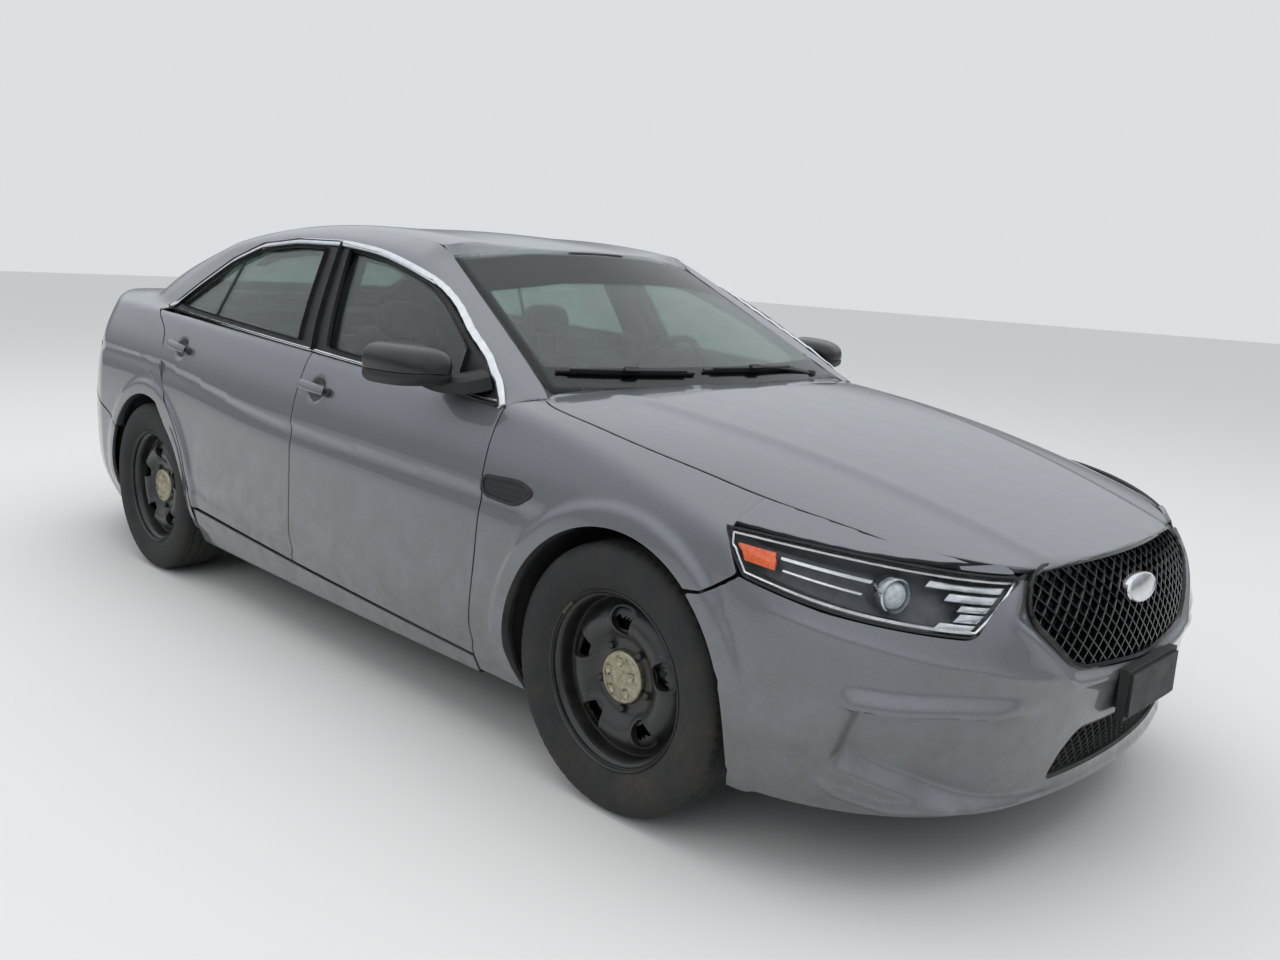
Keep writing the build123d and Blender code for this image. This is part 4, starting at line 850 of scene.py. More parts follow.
def make_finishes():
    dust = ("#6f695f", 0.75, 0.55)
    # Clear-coated metallic enamel: dark grey flake under a glossy coat, dusty towards the sills.
    finish("clear coated metallic enamel", "#6a6d72", "#787b80", 2.2, (0.34, 0.4), 0.012, 1.6, 0.72, dust,
           Coat_Weight=1.0, Coat_Roughness=0.04, Coat_IOR=1.5)
    # Primer and thin paint inside the shut lines: flat and darker.
    finish("thin enamel on primer", "#35373a", "#3f4144", 30, (0.45, 0.6), metallic=0.4, dirt=dust)
    # Underseal: rubbery black wax, dull and lumpy.
    finish("sprayed underseal", "#17171a", "#232326", 18, (0.7, 0.85), 0.8, 6.0, dirt=("#5c554a", 0.6, 0.7))
    # Moulded polypropylene: black with a fine leather grain, drawn at 1.6 mm so that it shows.
    finish("grained polypropylene", "#121214", "#1b1b1d", 40, (0.45, 0.58), 0.18, 1.6, dirt=("#57534b", 0.8, 0.25))
    # Moulded ABS, smooth and glossy black.
    finish("gloss black ABS", "#070708", "#0b0b0c", 60, (0.12, 0.2))
    # Moulded-in-colour mirror cap: satin black with a soft sheen.
    finish("satin black cap", "#101114", "#16171a", 50, (0.26, 0.34), 0.02, 3.0, Coat_Weight=0.25,
           Coat_Roughness=0.25)
    # Chrome plate on plastic trim: bright, with faint haze.
    finish("chrome plate", "#d9dbde", "#e6e8ea", 30, (0.16, 0.24), metallic=1.0)
    # Steel centre cap: old plated steel with a warm, dull haze and water spots.
    finish("dulled plated steel", "#8f8877", "#b0a994", 16, (0.24, 0.42), 0.05, 3.0, metallic=1.0)
    # Stoved satin black on pressed steel wheels, dusty.
    finish("satin black wheel enamel", "#0b0b0c", "#141415", 25, (0.28, 0.42), 0.02, 3.0,
           dirt=("#4d4943", 1.2, 0.3), Coat_Weight=0.4, Coat_Roughness=0.2)
    # Tyre rubber: carbon black gone grey with road dust.
    finish("weathered tyre rubber", "#1a1a1b", "#28282a", 22, (0.72, 0.88), 0.15, 2.0, dirt=("#5a554d", 1.4, 0.35))
    # Turned grey iron in two brownish greys by a noise, meant for the ventilated brake discs but given to no piece.
    finish("turned grey iron", "#4b4743", "#6e665e", 9, (0.35, 0.55), metallic=0.9)
    # Cast iron and aluminium castings.
    finish("sand cast metal", "#4a4844", "#5d5a55", 12, (0.55, 0.7), 0.25, 2.5, metallic=0.7)
    finish("heat dulled steel tube", "#5c5348", "#8a8276", 25, (0.35, 0.55), metallic=1.0)
    # Soft dashboard and door trim: dark grey grained vinyl.
    finish("grained vinyl", "#1c1d1f", "#26272a", 30, (0.6, 0.72), 0.15, 1.8)
    # Woven seat cloth: charcoal, threads drawn at 2 mm so that they show.
    finish("charcoal woven cloth", "#1b1c1e", "#2c2d30", 2.0, (0.85, 0.95), 0.25, 2.0, Sheen_Weight=0.25)
    # Near-black matt backing for the grille and intake openings: painted shade for the dark space behind them.
    finish("near black painted shade backing", "#050505", "#090909", 30, (0.8, 0.9))
    # Metallised lamp reflector: bright aluminium under lacquer.
    finish("metallised reflector", "#b9bcc0", "#d4d6d9", 40, (0.1, 0.2), metallic=1.0)
    # Lamp housing: satin grey moulding behind the clear cover.
    finish("satin grey lamp housing", "#4a4e52", "#5a5f63", 30, (0.3, 0.42))
    # Projector lens: thick ground glass, pale in colour: a painted glow of the reflector behind it.
    finish("ground projector glass with painted glow", "#b9c1c8", "#e6ecf1", 18, (0.04, 0.1), Transmission_Weight=0.3, Coat_Weight=1.0)
    # Amber side reflector: transparent orange acrylic over prisms.
    finish("amber prism acrylic", "#c2440c", "#e0600f", 6, (0.15, 0.3), 0.5, 5.0, Coat_Weight=0.8)
    finish("red lens acrylic", "#5c0508", "#84090d", 8, (0.1, 0.2), 0.3, 6.0, Coat_Weight=1.0)
    # Clear polycarbonate lamp cover.
    finish("clear polycarbonate", "#f4f6f8", "#ffffff", 80, (0.02, 0.05), Transmission_Weight=1.0, IOR=1.2,
           Alpha=0.35)
    # Green tinted safety glass.
    finish("green tinted safety glass", "#9db8ae", "#a3bdb3", 200, (0.0, 0.01), Transmission_Weight=1.0, IOR=1.4,
           Alpha=0.8)
    # Frit band: black ceramic enamel fired on the edge of the glass.
    finish("fired black enamel", "#060607", "#0b0b0c", 60, (0.1, 0.2))


# Body panels
GAP = 3.0
HANDLE_FRONT, HANDLE_REAR = (61.0, 948.0), (-1035.0, 988.0)
PAINT, PRIMER = "clear coated metallic enamel", "thin enamel on primer"


def side_panel_relief(settings):
    """Relief of the side panels: wheel-arch lips and creases at the chosen heights."""
    return lambda x, y, z: side_relief(x, z, settings.arch_lip, settings.crease_depth)


def shifted(points, dx=0.0, dz=0.0):
    """The points moved by dx and dz."""
    return [(x + dx, z + dz) for x, z in points]


def belt_line(x_from, x_to, drop=4.0):
    """Line of the belt from x_from to x_to, a little below the windows."""
    xs = np.linspace(x_from, x_to, max(int(abs(x_to - x_from) / 12), 2))
    heights = np.interp(-xs, [-p[0] for p in BELT], [p[1] for p in BELT])
    return np.array([(x, girth_at_height(x, z - drop)) for x, z in zip(xs, heights)])


def door_sheet(front, settings):
    """Left door's outer skin between its shut lines, the sill and the belt."""
    if front:
        left = side_line(shifted(rounded(DOOR_FRONT[::-1], 120), -GAP), 20)
        right = side_line(shifted(rounded(DOOR_SPLIT[:3], 60), GAP), 20)
    else:
        left = side_line(shifted(rounded(DOOR_SPLIT[:3], 60), -GAP), 20)
        right = side_line(shifted(rounded([*DOOR_REAR, (-1290, 1066), (-1400, 1117)], 160), GAP), 20)
    left[-1], right[-1] = belt_line(left[-1][0], left[-1][0] - 1)[0], belt_line(right[-1][0], right[-1][0] - 1)[0]
    bottom = np.linspace(left[0], right[0], 60)
    top = belt_line(left[-1][0], right[-1][0])
    plain, (hx, hz) = side_panel_relief(settings), HANDLE_FRONT if front else HANDLE_REAR

    def relief(x, y, z):
        return plain(x, y, z) - 15 * ease((50 - np.hypot(x - hx - 6, (z - hz) * 1.1)) / 22)
    return panel((bottom, top, left, right), 100, 76, on_body, relief, (14, 14, 7 if front else 16, 10))


def arch_line(axle, start, stop, radius=ARCH_RADIUS, count=120):
    """Chart line of a wheel-arch edge between two angles from forward, in degrees."""
    angles = np.radians(np.linspace(start, stop, count))
    return np.array([(x, girth_at_height(x, z))
                     for x, z in zip(axle + radius * np.cos(angles), AXLE_Z + radius * np.sin(angles))])


def bonnet_seam(x_from, x_to, shift=GAP):
    """Plan line of the bonnet's side seam between two places along the car."""
    edge = rounded([(2470, 0), (2452, 250), (2415, 470), (2225, 655), (1900, 762), (1500, 806), (1150, 800),
                    (1066, 765), (1030, 700)], 60)
    keep = (edge[:, 0] <= x_from) & (edge[:, 0] >= x_to)
    return plan_line([(x, y + shift) for x, y in edge[keep]])


def wing_sheets(settings):
    """Left front wing: one patch fanned round the arch, and the strip above the lamp."""
    relief = side_panel_relief(settings)
    start = math.degrees(math.acos((1812 - FRONT_AXLE) / (ARCH_RADIUS + 1)))
    low = 180 + math.degrees(math.asin((AXLE_Z - 212) / ARCH_RADIUS))
    arch = arch_line(FRONT_AXLE, start, low, ARCH_RADIUS + 1)
    seam = bonnet_seam(1893, 1066)
    foot = side_line([(1030, 1014), *shifted(DOOR_FRONT, GAP), (982, 214)], 20)
    outer = np.vstack([seam, foot])
    front = side_line([(1812, 678), (1862, 684), (1949, 744), (1893, 850)], 10)
    front = np.vstack([front, [seam[0]]])
    sill = np.linspace(arch[-1], outer[-1], 20)
    main = panel((arch, outer, front, sill), 120, 52, on_body, relief, (10, 12, 26, 12))
    strip_top = bonnet_seam(2330, 1865)
    strip_low = side_line([(2330, 800), (2150, 818), (1893, 850), (1865, 853)])
    tip = np.linspace(strip_low[0], strip_top[0], 8)
    back = np.linspace(strip_low[-1], strip_top[-1], 8)
    strip = panel((strip_low, strip_top, tip, back), 50, 12, on_body, lambda x, y, z: relief(x, y, z)
                  - 1.2 * (x < 1893), (4, 0, 10, 0))
    return [main, strip]


def quarter_sheets(settings):
    """Left rear quarter: a patch fanned round the arch, and the shoulder with the roof pillar."""
    relief = side_panel_relief(settings)
    low = -math.degrees(math.asin((AXLE_Z - 262) / ARCH_RADIUS))
    stop = 180 - math.degrees(math.asin((583 - AXLE_Z) / ARCH_RADIUS))
    arch = arch_line(REAR_AXLE, low, stop, ARCH_RADIUS + 1)
    front = side_line(shifted(rounded([(-876, 262), *DOOR_REAR, (-1290, 1066), (-1412, 1122)], 160), -GAP), 16)
    shoulder = side_line([(-1424, 1122), (-1800, 1080), (-2210, 1014)], 16)
    outer = np.vstack([front[:-1], shoulder])
    first = np.linspace(arch[0], outer[0], 8)
    seam = side_line([(-1650, 584), (-1760, 639), (-2222, 780), (-2120, 940), (-2210, 1014)], 12)
    main = panel((arch, outer, first, seam), 140, 44, on_body, relief, (8, 10, 26, 0))
    top_low = side_line([(-1424, 1122), (-1800, 1080), (-2210, 1014), (-2400, 1014)], 16)
    pillar = side_line([(-1424, 1124), (-1189, 1262), (-972, 1366), (-750, 1432)], 16)
    pillar[0] = top_low[0]
    pillar = np.vstack([pillar, plan_line([(-750, 592), (-750, 592.5)], 16)[:1]])
    roof_corner = [(-750, 592), (-1060, 592)]
    window = [(cabin_x(y, z, False), girth_at_height(cabin_x(y, z, False), z))
              for y, z in [(556, 1404), (575, 1330), (600, 1205), (600, 1185)]]
    deck = plan_line([(-1925, 612), (-1990, 665), (-2300, 693), (-2400, 693)], 16)
    upper = np.vstack([plan_line(roof_corner, 16), window, deck])
    tail = np.linspace(top_low[-1], upper[-1], 10)
    top = panel((top_low, upper, pillar, tail), 90, 44, on_body, relief, (8, 8, 0, 8))
    return [main, top]


def rail_sheet():
    """Left windscreen pillar and roof rail as one strip."""
    low = side_line(shifted(rounded([(1024, 1010), *EDGE_FRONT[1:-1], *DAY_REAR[:3]], 60), 0, -5), 16)
    low[-1] = (-750, girth_at_height(-750, 1431))
    screen = [(722 + (575 - 722) * t, 1052 + (1417 - 1052) * t) for t in np.linspace(0, 1, 24)]
    high = [(cabin_x(y + 6, z), girth_at_width(cabin_x(y + 6, z), y + 6)) for y, z in screen]
    high = np.vstack([plan_line([(1060, 748), (1059, 747)], 16)[:1], high, plan_line([(340, 592), (-750, 592)], 16)])
    front, back = np.linspace(low[0], high[0], 12), np.linspace(low[-1], high[-1], 12)
    strip = panel((low, high, front, back), 160, 16, on_body, None, (4, 0, 8, 6), 2.0)
    for k in range(10):
        strip[1:-1] = (strip[:-2] + strip[1:-1] * 2 + strip[2:]) / 4
        if k < 4:
            strip[:, 6:-6] = (strip[:, 5:-7] + strip[:, 6:-6] * 2 + strip[:, 7:-5]) / 4
    return strip


def bonnet_relief(settings):
    """Bonnet's raised middle between two creases that run in towards the grille, with its rim turned down."""
    def relief(x, y, z):
        fold = np.interp(x, [1030, 1500, 2350, 2450], [560, 520, 372, 350])
        inside = fold - np.abs(y)
        step = 1 / (1 + np.exp(-inside / 16.0))
        fade = np.clip((x - 1080) / 200, 0, 1)
        return settings.bonnet_fold * fade * (step + 0.45 * np.exp(-(inside / 26.0) ** 2))
    return relief


def bonnet_sheet(settings):
    """Grid of the bonnet's skin."""
    side = rounded([(2225, 652), (1900, 759), (1500, 803), (1150, 797), (1066, 762)], 60)
    nose = rounded([(2225, 652), (2415, 467), (2452, 250), (2466, 0), (2452, -250), (2415, -467), (2225, -652)], 120)
    tail = rounded([(1066, 762), (1040, 700), (1140, 420), (1200, 0), (1140, -420), (1040, -700), (1066, -762)], 90)
    return panel((side, side * (1, -1), nose, tail), 96, 100, on_top, bonnet_relief(settings), (16, 10, 12, 12))


def roof_sheet():
    """Grid of the roof's skin."""
    nose = [(362, 589), (430, 300), (448, 0), (430, -300), (362, -589)]
    tail = [(-1172, 553), (-1158, 300), (-1182, 0), (-1158, -300), (-1172, -553)]
    side = [(362, 589), (-1054, 589), (-1172, 553)]
    sheet = panel((side, np.array(side) * (1, -1), rounded(nose, 60), rounded(tail, 60)), 70, 60, on_top, None,
                  (6, 6, 5, 5))
    sheet[..., 2] = np.minimum(sheet[..., 2], 1521.9)
    return sheet


def tail_table():
    """Section at every half width, from the deck back over its edge and down the tail, corners averaged."""
    rows = []
    for y in TAIL_WIDTHS:
        tail = TAIL_TABLE[:, int(y / WIDTH_STEP)]
        drop = np.nonzero(LOW_Z > top_height(tail, y))[0]
        k = drop[0] if len(drop) else len(LOW_Z)
        deck_x = np.linspace(-1700, tail[k - 1], 200)
        x = np.concatenate([deck_x, tail[:k][::-1]])
        z = np.concatenate([top_height(deck_x, y), LOW_Z[:k][::-1]])
        run = run_along(x, z)
        even = np.arange(340) * GIRTH_STEP
        rows.append(np.stack([averaged(np.interp(even, run, line), 15.0) for line in (x, z)], axis=-1))
    return np.array(rows)


TAIL_STEP = 10.0
TAIL_WIDTHS = np.arange(0.0, 701.0, TAIL_STEP)
TAIL_SECTION = tail_table()


def on_tail(w, y):
    """Point of the boot lid's section at run w and width y."""
    w, y = paired(w, y)
    section = held_read(TAIL_SECTION, np.abs(y) / TAIL_STEP, w / GIRTH_STEP)
    return np.stack([section[..., 0], y, section[..., 1]], axis=-1)


def tail_run(y, x=None, z=None):
    """Run along the tail's section at width y to where it passes x on the deck, or z on the back."""
    line = TAIL_SECTION[nearest(abs(y), 0, TAIL_STEP, len(TAIL_WIDTHS))]
    back = int(np.argmin(line[:, 0]))
    if x is not None:
        return float(np.interp(-x, -line[:back + 1, 0], np.arange(back + 1) * GIRTH_STEP))
    corner = int(np.argmax(line[:, 0] < -2380))
    return float(np.interp(-z, -line[corner:, 1], (corner + np.arange(len(line) - corner)) * GIRTH_STEP))


def boot_sheet():
    """Boot lid: deck, spoiler edge and back in one skin with a plate recess."""
    ys = np.linspace(-1, 1, 61)
    front_y = 610 * ys
    front = np.array([(tail_run(y, x=np.interp(abs(y), [0, 320, 610], [-1981, -1958, -1928])), y) for y in front_y])
    low = np.array([(tail_run(545 * t, z=783), 545 * t) for t in ys])
    side = []
    for x, y in [(-1928, 610), (-1990, 659), (-2100, 668), (-2300, 687), (-2420, 640)]:
        side.append((tail_run(y, x=x), y))
    for z, y in [(1004, 560), (960, 546), (870, 545), (783, 545)]:
        side.append((tail_run(y, z=z), y))
    side = rounded(side, 25)

    def relief(x, y, z):
        lip = 7 * np.exp(-((x + 2440) / 26) ** 2) * (z > 1050)
        fold = -5 * np.exp(-((z - 940) / 22) ** 2) * (x < -2440)
        plate = -14 / (1 + np.exp((np.abs(y) - 300) / 5)) / (1 + np.exp((np.abs(z - 852) - 52) / 5)) * (x < -2440)
        return lip + fold + plate
    return panel((side, side * (1, -1), front[::-1], low[::-1]), 100, 80, on_tail, relief, (8, 12, 10, 10))


def fuel_sheet(settings):
    """Fuel flap's skin, a small rounded square on the left quarter."""
    box = [(-1743, 773), (-1743, 907), (-1887, 907), (-1887, 773)]
    lines = [side_line([box[0], box[3]]), side_line([box[1], box[2]]), side_line([box[0], box[1]]),
             side_line([box[3], box[2]])]
    relief = side_panel_relief(settings)
    return panel(lines, 24, 24, on_body, lambda x, y, z: relief(x, y, z) + 0.6, (5, 5, 5, 5))


# Settings
class BODY_PG_settings(bpy.types.PropertyGroup):
    arch_lip: bpy.props.FloatProperty(name="Arch lip", description="How far the wheel-arch lips stand out, mm",
                                      default=11.0, min=0, max=20)
    crease_depth: bpy.props.FloatProperty(name="Crease depth",
                                          description="Depth of the creases along the doors, mm", default=7.0,
                                          min=0, max=15)
    bonnet_fold: bpy.props.FloatProperty(name="Bonnet fold",
                                         description="Height of the raised middle of the bonnet, mm", default=7.0,
                                         min=0, max=15)


class BODY_OT_side_panels(bpy.types.Operator):
    """Door skins, wings, quarters and roof rails"""
    bl_idname = "saloon.side_panels"
    bl_label = "Side Panels"

    def execute(self, context):
        settings = context.scene.saloon_body
        paint, primer = FINISHES[PAINT], FINISHES[PRIMER]
        for hand, turned_over in HANDS:
            sided = one_side(turned_over)
            for place_name in ("front", "rear"):
                node = f"{place_name}_door_{hand}"
                skin = Sheet(door_sheet(place_name == "front", settings))
                piece(f"{node}_skin", sided([skin]), paint, f"{node}_body", slot="body_paint")
                inner = inner_part(node, f"{node}_inner", primer, f"{node}_body", "body_paint", reach=8)
                if place_name == "front":
                    self.trim(inner)
            wing, quarter = map(Sheet, wing_sheets(settings)), map(Sheet, quarter_sheets(settings))
            piece(f"front_wing_{hand}_skin", sided(wing), paint, "car_body", slot="body_paint", weld=0.4)
            piece(f"quarter_{hand}_skin", sided(quarter), paint, "car_body", slot="body_paint", weld=0.4)
            piece(f"roof_rail_{hand}_skin", sided([Sheet(rail_sheet())]), paint, "car_body", slot="body_paint")
        inner_part("front_wings", "front_wings_inner", primer, "car_body", "body_paint")
        inner_part("quarter_panels", "quarter_panels_inner", primer, "car_body", "body_paint")
        inner_part("side_frames", "side_frames_inner", primer, "car_body", "body_paint", sink=20, reach=12)
        piece("fuel_flap_skin", [Sheet(fuel_sheet(settings))], paint, "fuel_flap_body", slot="body_paint")
        inner_part("fuel_flap", "fuel_flap_inner", primer, "fuel_flap_body", "body_paint", sink=3)
        return {"FINISHED"}

    def trim(self, inner):
        """Takes off the inner window frame where it stands ahead of the bright strip."""
        work = bmesh.new()
        work.from_mesh(inner.data)
        spots = np.array([v.co for v in work.verts]) * 1000
        ahead = (outline_distance(spots[:, ::2], FRAME_FRONT) > -3) & (spots[:, 2] > 1032) & (spots[:, 0] > 300)
        work.verts.ensure_lookup_table()
        bmesh.ops.delete(work, geom=[work.verts[k] for k in np.nonzero(ahead)[0]], context="VERTS")
        work.to_mesh(inner.data)
        work.free()


class BODY_OT_top_panels(bpy.types.Operator):
    """Bonnet, roof and boot lid"""
    bl_idname = "saloon.top_panels"
    bl_label = "Top Panels"

    def execute(self, context):
        settings = context.scene.saloon_body
        paint, primer = FINISHES[PAINT], FINISHES[PRIMER]
        piece("bonnet_skin", [Sheet(bonnet_sheet(settings), flip=True)], paint, "bonnet_body", slot="body_paint")
        inner_part("bonnet", "bonnet_inner", primer, "bonnet_body", "body_paint")
        piece("roof_skin", [Sheet(roof_sheet(), flip=True)], paint, "car_body", slot="body_paint")
        inner_part("roof_panel", "roof_inner", primer, "car_body", "body_paint")
        piece("boot_lid_skin", [Sheet(boot_sheet(), flip=True)], paint, "boot_lid_body", slot="body_paint")
        inner_part("boot_lid", "boot_lid_inner", primer, "boot_lid_body", "body_paint")
        return {"FINISHED"}


# Front and rear ends
LAMP = [(1893, 846), (1925, 790), (1957, 742), (2150, 694), (2398, 652), (2412, 772), (2287, 799), (2124, 826),
        (1961, 843)]
GRILLE = [(-500, 692), (-428, 786), (428, 786), (500, 692), (345, 548), (0, 520), (-345, 548)]
INTAKE = [(-345, 252), (-335, 330), (-285, 392), (285, 392), (335, 330), (345, 252)]


def ease(t):
    """Smooth step from nought to one."""
    t = np.clip(t, 0, 1)
    return t * t * (3 - 2 * t)


def bumper_relief(settings):
    """Front bumper's sculpting: the arch lip, a ledge over a hollow that closes towards the nose, a lower
    lip, a soft fold under the lamps and a chamfer round the grille."""
    def relief(x, y, z):
        side = np.abs(y)
        out = settings.arch_lip * lip_share(x, z, FRONT_AXLE)
        fold = np.interp(x, [1950, 2074, 2243, 2422, 2496, 2546], [700, 670, 630, 580, 540, 500])
        out = out + 10 * np.exp(-np.abs(z - fold) / 26) * ease((x - 2000) / 150) * ease((side - 120) / 200)
        top = np.interp(x, [2226, 2295, 2390, 2459], [488, 481, 479, 468])
        low = np.interp(x, [2182, 2229, 2354, 2452], [362, 360, 284, 232])
        close = 1 - ease((x - 2330) / 150)
        wall = ease((x - np.interp(z, [290, 354, 486], [2170, 2184, 2226])) / 38)
        hollow = settings.hollow_depth * wall * close * ease((top - z) / 9) * ease((z - low + 44) / 52)
        along = ease((x - 2200) / 40) * (1 - ease((x - 2440) / 60))
        ledge = 18 * along * ease((z - top + 3) / 8) * (1 - ease((z - top - 14) / 42))
        lip_z = np.interp(x, [2150, 2176, 2284, 2390, 2452, 2546], [300, 286, 244, 238, 226, 224])
        lip = 17 * np.exp(-((z - lip_z + 6) / 15) ** 2) * ease((x - 2140) / 70)
        d = outline_distance(np.stack([y, z], axis=-1), GRILLE)
        chamfer = -9 * (1 - ease(d / 26)) * (x > 2200) + 5 * np.exp(-((d - 34) / 12) ** 2) * (x > 2300)
        return out - hollow + ledge + lip + chamfer
    return relief


def front_bumper_skin(settings):
    """Grid round the nose from arch to arch, cut at the arches, seams, lamps, bonnet, grille and intake."""
    reach = ring_at(450, x=1700)
    s = np.linspace(-reach, reach, 380)
    z = np.linspace(212, 800, 106)
    chart = np.stack(np.meshgrid(s, z, indexing="ij"), axis=-1)
    p = on_ring(chart[..., 0], chart[..., 1])
    x, y = p[..., 0], p[..., 1]
    side = np.stack([x, p[..., 2]], axis=-1)
    facing = np.stack([y, p[..., 2]], axis=-1)
    keep = np.hypot(x - FRONT_AXLE, p[..., 2] - AXLE_Z) - ARCH_RADIUS - 1
    wing = [(1500, 900), (1500, 640), (1760, 668), (1862, 678), (1953, 738), (1890, 900)]
    keep = np.minimum(keep, outline_distance(side, wing) - 3)
    lamp = outline_distance(side, closed_round(LAMP, 8)) - 4
    keep = np.where(np.abs(y) > 300, np.minimum(keep, lamp), keep)
    above = [(1880, 850), (1893, 846), (2124, 826), (2287, 799), (2328, 792), (2328, 900), (1880, 900)]
    keep = np.where(np.abs(y) > 300, np.minimum(keep, outline_distance(side, above)), keep)
    bonnet_edge = [(2470, -50), (2470, 0), (2452, 250), (2415, 470), (2225, 655), (1900, 762), (1900, -50)]
    bonnet = outline_distance(np.stack([x, np.abs(y)], axis=-1), bonnet_edge) - GAP
    keep = np.minimum(keep, np.where(p[..., 2] > 690, bonnet, 50))
    keep = np.minimum(keep, np.where(x > 2200, outline_distance(facing, closed_round(GRILLE, 26)), 50))
    keep = np.minimum(keep, np.where(x > 2200, outline_distance(facing, closed_round(INTAKE, 16)), 50))
    moved, faces = cut_faces(chart, keep)
    points = on_ring(moved[..., 0], moved[..., 1])
    n = normals(points)
    if n[190, 42, 0] < 0:
        n = -n
    relief = bumper_relief(settings)(points[..., 0], points[..., 1], points[..., 2])
    return points + n * (relief + 0.4)[..., None], faces


def rear_relief(settings):
    """Relief of the rear bumper: arch lip, step below the boot lid, drawn-in apron and its groove."""
    def relief(x, y, z):
        out = settings.arch_lip * lip_share(x, z, REAR_AXLE)
        ledge = 6 * (np.exp(-np.maximum(z - 660, 0) / 30) * ease((z - 560) / 60) - 1) * ease((-x - 2150) / 150)
        apron = -16 * (1 - ease((z - 300) / 14)) * ease((-x - 2200) / 120)
        groove = -6 * np.exp(-((z - 420) / 7) ** 2) * ease((-x - 2250) / 120)
        return out + ledge + apron + groove
    return relief


def rear_bumper_skin(settings):
    """Grid round the tail from arch to arch, cut at the arches, seams, lamps and lid."""
    last = LOW_RING[0].shape[1] - 1
    begin = ring_at(450, x=-1560)
    half = np.linspace(begin, last, 150)
    s = np.concatenate([half, 2 * last - half[::-1][1:]])
    z = np.linspace(212, 790, 84)
    chart = np.stack(np.meshgrid(s, z, indexing="ij"), axis=-1)

    def at(c):
        place = np.where(c[..., 0] > last, -(2 * last - c[..., 0]), c[..., 0])
        return on_ring(place, c[..., 1])
    p = at(chart)
    x, side = p[..., 0], p[..., ::2]
    keep = np.hypot(x - REAR_AXLE, p[..., 2] - AXLE_Z) - ARCH_RADIUS - 1
    quarter = [(-1400, 950), (-1400, 575), (-1640, 578), (-1760, 633), (-2215, 769), (-2222, 773), (-2700, 773),
               (-2700, 950)]
    keep = np.minimum(keep, outline_distance(side, quarter) - 2)
    moved, faces = cut_faces(chart, keep)
    points = at(moved)
    n = normals(points)
    if n[149, 38, 0] > 0:
        n = -n
    relief = rear_relief(settings)(points[..., 0], points[..., 1], points[..., 2])
    return points + n * (relief + 0.4)[..., None], faces


def mesh_bars(outline, pitch_y, pitch_z, depth, width, thick):
    """Lattice of slanted bars, each a flat profile along a line clipped to the outline on the nose."""
    sheets = []
    outline = np.asarray(outline, float)
    y_reach, (z_low, z_high) = outline[:, 0].max(), (outline[:, 1].min(), outline[:, 1].max())
    slope = pitch_z / pitch_y
    for sign in (1, -1):
        for start in np.arange(-2 * y_reach, 2 * y_reach, pitch_y):
            z = np.linspace(z_low, z_high, 120)
            y = start + sign * (z - z_low) / slope
            d = outline_distance(np.column_stack([y, z]), outline)
            inside = np.nonzero(d < -1)[0]
            if len(inside) < 6:
                continue
            a, b = inside[0], inside[-1]
            ya, za = np.linspace(y[a], y[b], 9), np.linspace(z[a], z[b], 9)
            path = np.column_stack([end_x(NOSE_TABLE, ya, za) - depth, ya, za])
            profile = [(-width / 2, 0), (-width / 2 + 0.8, thick), (width / 2 - 0.8, thick), (width / 2, 0),
                       (width / 2, -thick), (-width / 2, -thick)][::-1]
            sheets.append(sweep(path, profile, (1, 0, 0.1)))
    return sheets


def outline_on_nose(outline, depth, step=8.0):
    """Closed path of an outline (y, z) laid on the nose at a depth behind it."""
    p = np.asarray(outline, float)
    p = resample(np.vstack([p, p[:1]]), step)[:-1]
    return np.column_stack([end_x(NOSE_TABLE, p[:, 0], p[:, 1]) - depth, p])


class NOSE_PG_settings(bpy.types.PropertyGroup):
    hollow_depth: bpy.props.FloatProperty(name="Hollow depth",
                                          description="Depth of the blind hollow at each bumper corner, mm",
                                          default=42.0, min=0, max=60)
    arch_lip: bpy.props.FloatProperty(name="Arch lip", description="How far the wheel-arch lips stand out, mm",
                                      default=11.0, min=0, max=20)
    mesh_width: bpy.props.FloatProperty(name="Mesh width", description="Width of a cell of the grille mesh, mm",
                                        default=44.0, min=20, max=80)
    mesh_height: bpy.props.FloatProperty(name="Mesh height", description="Height of a cell of the grille mesh, mm",
                                         default=40.0, min=20, max=80)


